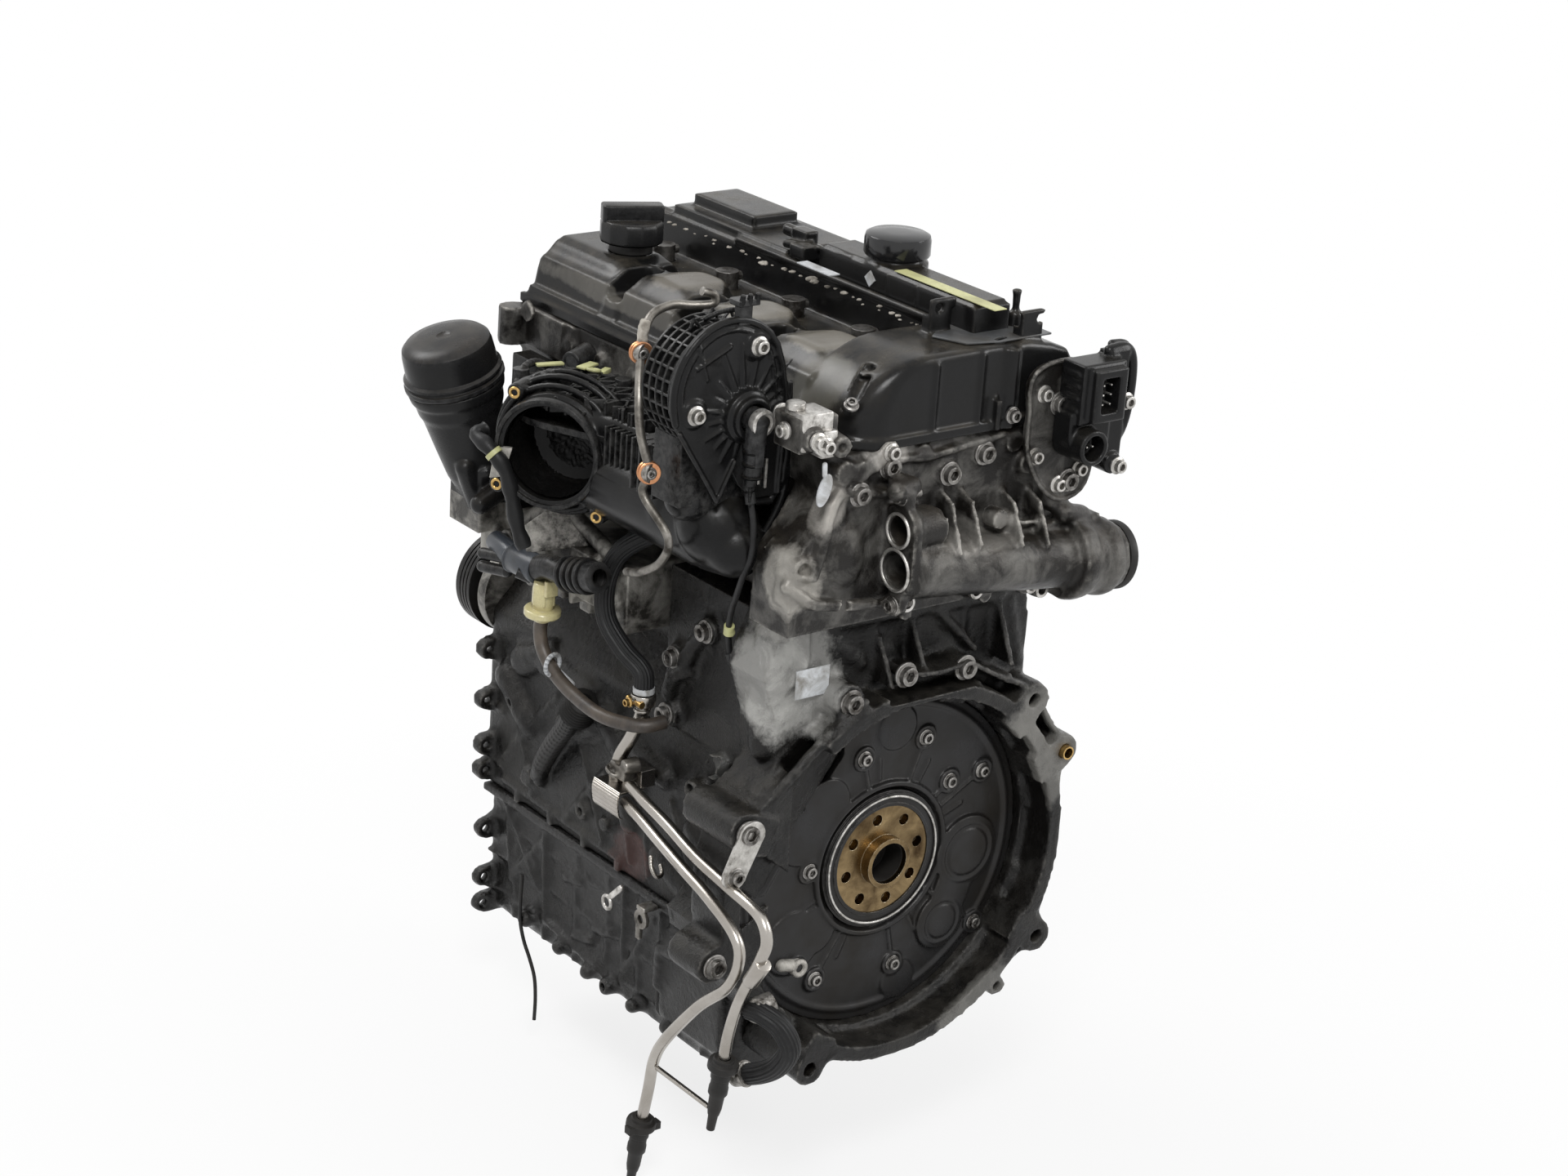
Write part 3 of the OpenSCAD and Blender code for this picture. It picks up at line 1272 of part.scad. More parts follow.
module oil_filter_cap() color([0.09, 0.09, 0.09]) at_filter() {
    translate([0, 0, filter_len + seat_gap]) {
        cylinder(h = 8, r = filter_cap_r + 1);
        translate([0, 0, 8]) cylinder(h = filter_cap_h - 14, r = filter_cap_r - 2);
        translate([0, 0, filter_cap_h - 6]) cylinder(h = 4, r = filter_cap_r - 4);
        translate([0, 0, filter_cap_h - 2]) cylinder(h = 2, r = filter_cap_r - 9);
        for (k = [0 : 15]) rotate(22.5 * k) translate([filter_cap_r - 3, -2, 8])
            cube([3, 4, filter_cap_h - 18]);
    }
    translate([0, 0, filter_len - 8]) difference() {
        cylinder(h = 9, r = filter_r - 2 - seat_gap);
        translate([0, 0, -1]) cylinder(h = 9, r = filter_r - 6);
    }
}

module filter_element() color([0.85, 0.78, 0.55]) at_filter() difference() {
    translate([0, 0, 42]) cylinder(h = filter_len - 42 - seat_gap, r = filter_r - 8);
    translate([0, 0, 41]) cylinder(h = filter_len - 42, r = 9);
}

module filter_module() color([0.5, 0.48, 0.45]) {
    difference() {
        union() {
            block([-148, 176, 166], [bore_x - waist_half, 404, 226]);
            block([-160, 206, 184], [-140, 300, 226]);
            block([-176, 362, 200], [-146, 412, 228]);
            for (y = [236, 276]) block([-163, y, 176], [-146, y + 5, 222]);
            bar_x(326, 204, -172, -146, 11);
        }
        bar_x(326, 204, -173, -166, 6);
        for (y = [206, 246]) block([-150, y, 160], [-130, y + 24, 180]);
    }
}

// ===================================================================================
// Lines, pipes, hoses and leads
// ===================================================================================

module fuel_pressure_line() color([0.55, 0.52, 0.48]) {
    tube(fuel_route, line_r, 3, 10);
    for (i = [4, 7]) translate(fuel_route[i]) rotate([90, 0, 0])
        cylinder(h = 9, r = 8.6, center = true);
}

module breather_hose() color([0.12, 0.12, 0.12]) tube(breather_route, hose_r, 4, 12);

module hose_clamp() color([0.6, 0.6, 0.58]) difference() {
    union() {
        translate([-150, 142, 117]) cylinder(h = 10, r = hose_r + 2.5);
        translate([-164, 138, 118]) cube([10, 8, 8]);
    }
    translate([-150, 142, 116]) cylinder(h = 12, r = hose_r + seat_gap);
}

module coolant_pipe_a() color([0.68, 0.67, 0.65]) tube(pipe_a_route, pipe_r, 4, 12);

module coolant_pipe_b() color([0.68, 0.67, 0.65]) {
    tube(pipe_b_route, pipe_r, 4, 12);
    tube(steel_route, pipe_r + 1, 3, 12);
}

module pipe_bracket() color([0.62, 0.61, 0.58]) {
    block([-167.2, 146, 34], [-140, 184, 36.7]);
    block([-167.2, 146, 14], [-164.2, 184, 36.7]);
    block([-142, 150, 34], [-127, 180, 50]);
}

module pipe_strap() color([0.62, 0.61, 0.58]) {
    translate([-182.5, -74, -23]) rotate([28.6, 0, 0]) difference() {
        cylinder(h = 20, r = pipe_r + 3, center = true);
        cylinder(h = 21, r = pipe_r + 1.2, center = true);
    }
    block([-183, -22.6, -176], [-179, 51.8, -172]);
}

// Flanged rubber ends of both pipes
module pipe_boots() color([0.05, 0.05, 0.05]) {
    for (e = [[pipe_a_route, 12], [pipe_b_route, 11]]) {
        p = e[0][e[1]];
        translate(p) rotate([10, 0, 0]) {
            difference() {
                translate([0, 0, -4]) cylinder(h = 7, r = 12);
                translate([0, 0, -seat_gap]) cylinder(h = 9, r = pipe_r + 0.5);
            }
            translate([0, 0, -30]) cylinder(h = 26, r = 8);
            translate([0, 0, -52]) cylinder(h = 22, r = 6);
            translate([0, 0, -66]) cylinder(h = 14, r = 4);
        }
    }
}

module lower_hose() color([0.14, 0.13, 0.12]) tube(lower_hose_route, 9, 4, 12);

// Plastic quick coupler with its turned-down neck
module quick_coupler() color([0.35, 0.37, 0.42]) {
    bar_y(-182, 204, 262, 332, 9);
    bar_x(326, 204, -182, -172 - seat_gap, 8);
    bar_y(-180, 206, 228, 264, 11);
    translate([-180, 218, 214]) rotate([-70, 0, 0]) cylinder(h = 34, r = 12, center = true);
    for (k = [0 : 2]) translate([-180, 196 + 8 * k, 222 - 3 * k]) rotate([-70, 0, 0])
        cylinder(h = 3, r = 15, center = true);
    translate([-182, 250, 164]) rotate([12, 0, 0]) cylinder(h = 34, r = 9);
    translate([-182, 250, 166]) rotate([12, 0, 0]) cylinder(h = 6, r = 14);
}

module return_hose() color([0.42, 0.36, 0.30]) tube(return_route, 6, 4, 10);

module sensor_lead() color([0.06, 0.06, 0.06]) tube(lead_route, 4, 3, 10);

module hanging_wire() color([0.08, 0.08, 0.08]) tube(wire_route, wire_r, 3, 8);

module earth_lug() color([0.5, 0.5, 0.48]) difference() {
    union() {
        translate([-134, 152, -92]) rotate([0, 90, 0]) cylinder(h = 4, r = 9);
        block([-134, 152, -112], [-130, 158, -92]);
        block([-134, 146, -84], [-skirt_half - 4 - seat_gap, 158, -80]);
    }
    translate([-140, 152, -92]) rotate([0, 90, 0]) cylinder(h = 14, r = 4);
}

// ===================================================================================
// Fasteners
// ===================================================================================

module torx_screws() color([0.5, 0.5, 0.5]) {
    facing_rear([for (p = end_cover_bolts) [p[0], -1.5, p[2]]]) bolt(screw_head_r, 5, screw_r, 12);
    facing_rear([for (p = chamber_bolts) [p[0], p[1], p[2]]]) bolt(screw_head_r, 5, screw_r, 20);
    for (y = notch_rows) translate([notch_x, y, notch_z]) bolt(screw_head_r, 6, screw_r, 4);
}

module flange_bolts() color([0.58, 0.57, 0.55]) {
    facing_rear(bell_bolts) bolt(11, 8, bolt_r, 24);
    facing_rear([for (p = head_rear_bolts) [p[0], p[1] - 4, p[2]]]) bolt(10, 8, bolt_r, 20);
    facing_rear(plate_bolts) bolt(10, 8, bolt_r, 6);
    facing_left(case_side_bolts) bolt(10, 8, bolt_r, 20);
    facing_left([port_flange_bolts[0], port_flange_bolts[1]]) bolt(8, 6, bolt_r, 18);
}

crankcase();
main_bearing_caps();
main_bearing_shells();
main_cap_bolts();
balance_carrier();
sump();
timing_end_cover();
rear_seal();
front_seal_cover();
water_pump();
cylinder_head();
head_gasket();
cam_bearing_frame();
cam_cover();
oil_separator();
separator_cap();
tube_end_plug();
actuator_plate();
actuator_body();
intake_manifold();
upper_chamber();
chamber_cover();
chamber_sensor();
brass_inserts();
oil_filter_housing();
oil_filter_cap();
filter_element();
filter_module();
filler_cap_seal();
oil_filler_cap();
fuel_pressure_line();
breather_hose();
hose_clamp();
coolant_pipe_a();
coolant_pipe_b();
pipe_bracket();
pipe_strap();
pipe_boots();
lower_hose();
quick_coupler();
return_hose();
sensor_lead();
hanging_wire();
earth_lug();
torx_screws();
flange_bolts();
injectors();
crankshaft();
crank_pulley();
pump_pulley();
idler_gear();
balance_shaft_1();
balance_shaft_2();
intake_camshaft();
exhaust_camshaft();
timing_chain();
piston(0);  // piston_1
piston(1);  // piston_2
piston(2);  // piston_3
piston(3);  // piston_4
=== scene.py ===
"""Looks of a used inline car engine: finishes, castings, mouldings, pipes and leads.

The script draws in millimetres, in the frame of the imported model, and piece() turns a
finished mesh to metres.
"""
import json
import math

import bmesh
import bpy
import numpy as np
from mathutils import Matrix, Vector, noise


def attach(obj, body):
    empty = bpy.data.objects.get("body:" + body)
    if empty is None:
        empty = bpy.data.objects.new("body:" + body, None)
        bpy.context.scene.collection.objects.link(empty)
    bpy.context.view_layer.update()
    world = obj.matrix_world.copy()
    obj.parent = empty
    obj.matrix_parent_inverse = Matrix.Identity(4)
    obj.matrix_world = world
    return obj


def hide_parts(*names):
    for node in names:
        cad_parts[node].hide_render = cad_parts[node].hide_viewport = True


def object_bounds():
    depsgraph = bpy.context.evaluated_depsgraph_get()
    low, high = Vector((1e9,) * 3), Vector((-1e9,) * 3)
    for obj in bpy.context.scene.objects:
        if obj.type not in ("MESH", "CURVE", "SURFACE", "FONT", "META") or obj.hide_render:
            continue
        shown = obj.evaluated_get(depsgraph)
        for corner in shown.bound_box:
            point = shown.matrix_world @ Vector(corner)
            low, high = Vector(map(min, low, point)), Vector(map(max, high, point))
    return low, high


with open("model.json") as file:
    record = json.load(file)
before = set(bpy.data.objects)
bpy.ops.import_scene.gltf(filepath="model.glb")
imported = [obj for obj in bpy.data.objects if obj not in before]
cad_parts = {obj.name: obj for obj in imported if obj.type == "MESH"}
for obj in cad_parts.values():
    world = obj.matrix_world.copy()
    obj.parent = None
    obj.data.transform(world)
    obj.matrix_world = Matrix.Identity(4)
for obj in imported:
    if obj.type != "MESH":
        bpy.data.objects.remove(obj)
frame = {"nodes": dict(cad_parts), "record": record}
CAD_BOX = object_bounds()
MM = 0.001
scene = bpy.context.scene
NODES = frame["nodes"]
SLOT_OF = {part["node"]: part["material_slot"] for part in frame["record"]["subparts"]}
BODY_OF = {node: body for body, nodes in frame["record"]["behaviour"]["bodies"].items()
           for node in nodes}


# --- camera, floor and light ------------------------------------------------------------

CAMERA_AT = Vector((-1586.3, -1834.3, 1166.4))
AZIMUTH, ELEVATION, ROLL = math.radians(-38.6), math.radians(21.0), math.radians(4.0)
LENS, SENSOR = 73.1, 36.0
FLOOR_HALF, FLOOR_TONE = 12, (0.86, 0.86, 0.86, 1)
GLOW_SHARE, FLOOR_FADE, WORLD_LEVEL = 0.8, (0.35, 1.1), 0.4
LAMP_AIM = (-20, 120, 140)
LAMPS = {"key": ((-1300, -1500, 2300), 800, 44), "side": ((1900, -1300, 1300), 900, 22),
         "back": ((-900, 1900, 2200), 1100, 34)}


def add_camera():
    """Camera that looks down on the gearbox end and the intake side, rolled a little."""
    back = Vector((math.sin(AZIMUTH) * math.cos(ELEVATION),
                   -math.cos(AZIMUTH) * math.cos(ELEVATION), math.sin(ELEVATION)))
    right = Vector((math.cos(AZIMUTH), math.sin(AZIMUTH), 0))
    up = back.cross(right)
    right, up = (math.cos(ROLL) * right + math.sin(ROLL) * up,
                 math.cos(ROLL) * up - math.sin(ROLL) * right)
    data = bpy.data.cameras.new("camera")
    data.lens, data.sensor_width, data.sensor_fit = LENS, SENSOR, "HORIZONTAL"
    data.clip_end = 50
    camera = bpy.data.objects.new("camera", data)
    camera.matrix_world = (Matrix.Translation(CAMERA_AT * MM)
                           @ Matrix((right, up, back)).transposed().to_4x4())
    scene.collection.objects.link(camera)
    scene.camera = camera


def add_lamp(name, place, aim, size, power):
    """Square soft lamp at place, turned to aim, both in millimetres."""
    data = bpy.data.lights.new(name, "AREA")
    data.shape, data.size, data.energy = "SQUARE", size * MM, power
    lamp = bpy.data.objects.new(name, data)
    away = (Vector(place) - Vector(aim)).normalized()
    lamp.matrix_world = (Matrix.Translation(Vector(place) * MM)
                         @ away.to_track_quat("Z", "Y").to_matrix().to_4x4())
    scene.collection.objects.link(lamp)


def white_where_seen(tree, plain):
    """Shader that is plain to light and a white glow to the camera and to reflections,
    all white where the floor is far from the object."""
    path = node(tree, "LightPath").outputs
    seen = maths(tree, "MAXIMUM", path["Is Camera Ray"], path["Is Glossy Ray"])
    seen = maths(tree, "MAXIMUM", seen, path["Is Transmission Ray"])
    where = node(tree, "NewGeometry").outputs["Position"]
    far = node(tree, "VectorMath", {0: where}, operation="LENGTH").outputs["Value"]
    glow = node(tree, "Emission", {"Color": (1, 1, 1, 1), "Strength": 1.0})
    share = maths(tree, "MULTIPLY", seen, ramp(tree, far, *FLOOR_FADE, GLOW_SHARE, 1.0))
    return node(tree, "MixShader", {0: share, 1: plain, 2: glow.outputs[0]}).outputs[0]


def add_floor_and_light():
    """Pale floor under the lowest point, a soft white room and three soft lamps."""
    low = CAD_BOX[0][2]
    bm = bmesh.new()
    bmesh.ops.create_grid(bm, x_segments=1, y_segments=1, size=FLOOR_HALF)
    bmesh.ops.translate(bm, vec=(0, 0, low), verts=bm.verts)
    mesh = bpy.data.meshes.new("floor")
    bm.to_mesh(mesh)
    bm.free()
    floor = bpy.data.objects.new("floor", mesh)
    scene.collection.objects.link(floor)
    material = bpy.data.materials.new("floor")
    material.use_nodes = True
    tree = material.node_tree
    tree.nodes.clear()
    plain = node(tree, "BsdfDiffuse", {"Color": FLOOR_TONE})
    node(tree, "OutputMaterial", {"Surface": white_where_seen(tree, plain.outputs[0])})
    mesh.materials.append(material)

    world = bpy.data.worlds.new("room")
    scene.world = world
    world.use_nodes = True
    tree = world.node_tree
    tree.nodes.clear()
    path = node(tree, "LightPath").outputs
    seen = maths(tree, "MAXIMUM", path["Is Camera Ray"], path["Is Glossy Ray"])
    strength = node(tree, "MapRange", {"Value": seen, "To Min": WORLD_LEVEL, "To Max": 1.0})
    room = node(tree, "Background", {"Color": (1, 1, 1, 1), "Strength": strength.outputs[0]})
    node(tree, "OutputWorld", {"Surface": room.outputs[0]})

    for name, (place, size, power) in LAMPS.items():
        add_lamp(name, place, LAMP_AIM, size, power)
    scene.view_settings.view_transform = "Standard"


# --- node helpers -----------------------------------------------------------------------

def node(tree, kind, inputs=None, **settings):
    """Adds a shader node, sets its values and links whatever is a socket."""
    made = tree.nodes.new("ShaderNode" + kind)
    for key, value in settings.items():
        setattr(made, key, value)
    for key, value in (inputs or {}).items():
        if isinstance(value, bpy.types.NodeSocket):
            tree.links.new(value, made.inputs[key])
        else:
            made.inputs[key].default_value = value
    return made


def maths(tree, operation, a, b=0.0, clamp=False):
    """Result of a math node on a and b."""
    return node(tree, "Math", {0: a, 1: b}, operation=operation, use_clamp=clamp).outputs[0]


def ramp(tree, value, low, high, to_min=0.0, to_max=1.0):
    """value from low to high, spread over to_min to to_max and held at both ends."""
    return node(tree, "MapRange", {"Value": value, "From Min": low, "From Max": high,
                                   "To Min": to_min, "To Max": to_max}).outputs[0]


def mixed(tree, share, a, b):
    """Colour a turned into colour b by share."""
    made = node(tree, "Mix", {0: share, 6: a, 7: b}, data_type="RGBA")
    return made.outputs[2]


def noise_at(tree, where, scale, detail=5.0, rough=0.6, distortion=0.0):
    """Noise at a place in metres, with scale lumps to the metre."""
    return node(tree, "TexNoise", {"Vector": where, "Scale": scale, "Detail": detail,
                                   "Roughness": rough, "Distortion": distortion}).outputs[0]


def per_metre(tree, size):
    """How many lumps of a size in millimetres fit in a metre."""
    return maths(tree, "DIVIDE", 1000.0, size)


def start_group(name, inputs, outputs):
    """Empty node group with float inputs at their usual values, and named outputs."""
    tree = bpy.data.node_groups.new(name, "ShaderNodeTree")
    for label, value in inputs.items():
        socket = tree.interface.new_socket(name=label, in_out="INPUT",
                                           socket_type="NodeSocketFloat")
        socket.default_value = value
    for label in outputs:
        tree.interface.new_socket(name=label, in_out="OUTPUT", socket_type="NodeSocketFloat")
    source = tree.nodes.new("NodeGroupInput")
    sink = tree.nodes.new("NodeGroupOutput")
    where = node(tree, "TexCoord").outputs["Object"]
    return tree, source, sink, where


def make_grime():
    """Mask of oil and grime in clouds, and a finer mask of specks inside them."""
    tree, source, sink, where = start_group(
        "grime", {"Size": 60.0, "Amount": 0.5, "Softness": 0.12}, ["Clouds", "Specks"])
    scale = per_metre(tree, source.outputs["Size"])
    clouds = noise_at(tree, where, scale, 8.0, 0.62, 0.4)
    middle = maths(tree, "SUBTRACT", 0.86, maths(tree, "MULTIPLY", source.outputs["Amount"],
                                                 0.72))
    low = maths(tree, "SUBTRACT", middle, source.outputs["Softness"])
    high = maths(tree, "ADD", middle, source.outputs["Softness"])
    tree.links.new(ramp(tree, clouds, low, high), sink.inputs["Clouds"])
    specks = noise_at(tree, where, maths(tree, "MULTIPLY", scale, 9.0), 4.0, 0.7)
    tree.links.new(ramp(tree, specks, 0.48, 0.66), sink.inputs["Specks"])
    return tree


def make_worn_edges():
    """Mask along outer edges, sharp or rounded, broken up by noise."""
    tree, source, sink, where = start_group("worn edges", {"Radius": 1.5, "Amount": 0.7},
                                            ["Mask"])
    radius = maths(tree, "MULTIPLY", source.outputs["Radius"], MM)
    rounded = node(tree, "Bevel", {"Radius": radius}, samples=4)
    plain = node(tree, "NewGeometry")
    turn = node(tree, "VectorMath", {0: rounded.outputs[0], 1: plain.outputs["Normal"]},
                operation="DOT_PRODUCT").outputs["Value"]
    sharp = ramp(tree, turn, 0.992, 0.93)
    round_edge = node(tree, "Attribute", attribute_name="edge").outputs["Fac"]
    broken = ramp(tree, noise_at(tree, where, 140.0, 5.0, 0.7), 0.40, 0.60)
    both = maths(tree, "MULTIPLY", maths(tree, "MAXIMUM", sharp, round_edge), broken)
    tree.links.new(maths(tree, "MULTIPLY", both, source.outputs["Amount"]),
                   sink.inputs["Mask"])
    return tree


def make_patch():
    """Mask of a rubbed or dusty place: a soft ball about a middle, torn by noise."""
    names = {"X": 0.0, "Y": 0.0, "Z": 0.0, "Wide": 30.0, "Deep": 30.0, "High": 30.0}
    tree, source, sink, where = start_group("rubbed patch", names, ["Mask"])
    middle = node(tree, "CombineXYZ", {0: source.outputs["X"], 1: source.outputs["Y"],
                                       2: source.outputs["Z"]}).outputs[0]
    radii = node(tree, "CombineXYZ", {0: source.outputs["Wide"], 1: source.outputs["Deep"],
                                      2: source.outputs["High"]}).outputs[0]
    in_mm = node(tree, "VectorMath", {0: where, 3: 1000.0}, operation="SCALE").outputs[0]
    away = node(tree, "VectorMath", {0: in_mm, 1: middle}, operation="SUBTRACT").outputs[0]
    away = node(tree, "VectorMath", {0: away, 1: radii}, operation="DIVIDE").outputs[0]
    far = node(tree, "VectorMath", {0: away}, operation="LENGTH").outputs["Value"]
    torn = noise_at(tree, where, 45.0, 7.0, 0.68)
    near = maths(tree, "SUBTRACT", maths(tree, "ADD", 1.0, maths(tree, "MULTIPLY", torn, 0.9)),
                 far)
    tree.links.new(ramp(tree, near, 0.38, 0.62), sink.inputs["Mask"])
    return tree


def make_cast_skin():
    """Height of a sand-cast or oily skin: lumps, grain and a few pits."""
    tree, source, sink, where = start_group(
        "cast skin", {"Lumps": 9.0, "Grain": 0.9, "Lump share": 0.6}, ["Height"])
    lumps = noise_at(tree, where, per_metre(tree, source.outputs["Lumps"]), 4.0, 0.55, 0.3)
    grain = noise_at(tree, where, per_metre(tree, source.outputs["Grain"]), 3.0, 0.6)
    share = source.outputs["Lump share"]
    fine = maths(tree, "MULTIPLY", grain, maths(tree, "SUBTRACT", 1.0, share))
    tree.links.new(maths(tree, "ADD", maths(tree, "MULTIPLY", lumps, share), fine),
                   sink.inputs["Height"])
    return tree


def make_settled_dust():
    """Mask of dust and dried oil that lies on faces turned up."""
    tree, source, sink, where = start_group("settled dust", {"Amount": 0.5, "Size": 35.0},
                                            ["Mask"])
    facing = node(tree, "SeparateXYZ",
                  {0: node(tree, "NewGeometry").outputs["Normal"]}).outputs["Z"]
    lying = ramp(tree, facing, 0.1, 0.85)
    scale = per_metre(tree, source.outputs["Size"])
    clouds = ramp(tree, noise_at(tree, where, scale, 7.0, 0.65), 0.36, 0.68)
    both = maths(tree, "MULTIPLY", lying, clouds)
    tree.links.new(maths(tree, "MULTIPLY", both, source.outputs["Amount"], True),
                   sink.inputs["Mask"])
    return tree


def make_smears():
    """Streaks that run down the sides, as oil and water leave them."""
    tree, source, sink, where = start_group("smears", {"Width": 8.0, "Stretch": 6.0},
                                            ["Mask"])
    across = per_metre(tree, source.outputs["Width"])
    along = maths(tree, "DIVIDE", across, source.outputs["Stretch"])
    scale = node(tree, "CombineXYZ", {0: across, 1: across, 2: along}).outputs[0]
    run = node(tree, "VectorMath", {0: where, 1: scale}, operation="MULTIPLY").outputs[0]
    tree.links.new(ramp(tree, noise_at(tree, run, 1.0, 5.0, 0.6), 0.42, 0.68),
                   sink.inputs["Mask"])
    return tree


GRIME, WORN_EDGES, CAST_SKIN, DUST, SMEARS, PATCH = (
    make_grime(), make_worn_edges(), make_cast_skin(), make_settled_dust(), make_smears(),
    make_patch())


def effect(tree, group, **values):
    """Places a node group with its values and gives its outputs."""
    made = tree.nodes.new("ShaderNodeGroup")
    made.node_tree = group
    for key, value in values.items():
        made.inputs[key.replace("_", " ")].default_value = value
    return made.outputs


def rgba(colour):
    """Colour with full cover."""
    return (*colour, 1.0)


def surface(name, base, dirt_and_shade, metallic=0.0, roughness=(0.3, 0.6), grime=(60, 0.5, 0.12),
            lumps=9.0, grain=0.9, lump_share=0.6, depth=0.25, rounding=1.0,
            edges=(1.2, 0.0), edge_colour=(0.4, 0.38, 0.35), dust=(0.0, 35),
            dust_colour=(0.12, 0.10, 0.08), smears=0.0, specks=0.35, coat=0.0,
            specular=0.5, patches=()):
    """Finish of one material: base colour under grime, bare metal on edges, dust on top and
    the dirt colour in corners as painted shade, with a skin that catches the light. Sizes
    are in millimetres.
    Each patch is a rubbed place: middle, radii and colour."""
    material = bpy.data.materials.new(name)
    material.use_nodes = True
    tree = material.node_tree
    tree.nodes.clear()
    shader = node(tree, "BsdfPrincipled", {"Metallic": metallic, "Coat Weight": coat,
                                           "Specular IOR Level": specular})
    node(tree, "OutputMaterial", {"Surface": shader.outputs[0]})
    dirty = effect(tree, GRIME, Size=grime[0], Amount=grime[1], Softness=grime[2])
    speckled = maths(tree, "MULTIPLY", dirty["Specks"], specks)
    share = maths(tree, "MAXIMUM", dirty["Clouds"], speckled)
    if smears:
        run = effect(tree, SMEARS)["Mask"]
        share = maths(tree, "MAXIMUM", share, maths(tree, "MULTIPLY", run, smears))
    # painted shade: the dirt colour is laid into corners and hollows as a stand-in for their
    # shade
    hollow = node(tree, "Attribute", attribute_name="hollow").outputs["Fac"]
    share = maths(tree, "MAXIMUM", share, hollow)
    colour = mixed(tree, share, rgba(base), rgba(dirt_and_shade))
    for middle, radii, rubbed in patches:
        place = effect(tree, PATCH, X=middle[0], Y=middle[1], Z=middle[2],
                       Wide=radii[0], Deep=radii[1], High=radii[2])["Mask"]
        bare = maths(tree, "MULTIPLY", place, maths(tree, "SUBTRACT", 1.0,
                                                    maths(tree, "MULTIPLY", share, 0.45)))
        colour = mixed(tree, bare, colour, rgba(rubbed))
    rough = ramp(tree, share, 0.0, 1.0, *roughness)
    if dust[0]:
        lying = effect(tree, DUST, Amount=dust[0], Size=dust[1])["Mask"]
        colour = mixed(tree, lying, colour, rgba(dust_colour))
        rough = maths(tree, "MAXIMUM", rough, maths(tree, "MULTIPLY", lying, 0.85))
    if edges[1]:
        worn = effect(tree, WORN_EDGES, Radius=edges[0], Amount=edges[1])["Mask"]
        colour = mixed(tree, worn, colour, rgba(edge_colour))
    tree.links.new(colour, shader.inputs["Base Color"])
    tree.links.new(rough, shader.inputs["Roughness"])
    skin = effect(tree, CAST_SKIN, Lumps=lumps, Grain=grain, Lump_share=lump_share)
    soft = node(tree, "Bevel", {"Radius": rounding * MM}, samples=4)
    bump = node(tree, "Bump", {"Height": skin["Height"], "Strength": 1.0,
                               "Distance": depth * MM, "Normal": soft.outputs[0]})
    tree.links.new(bump.outputs[0], shader.inputs["Normal"])
    return material


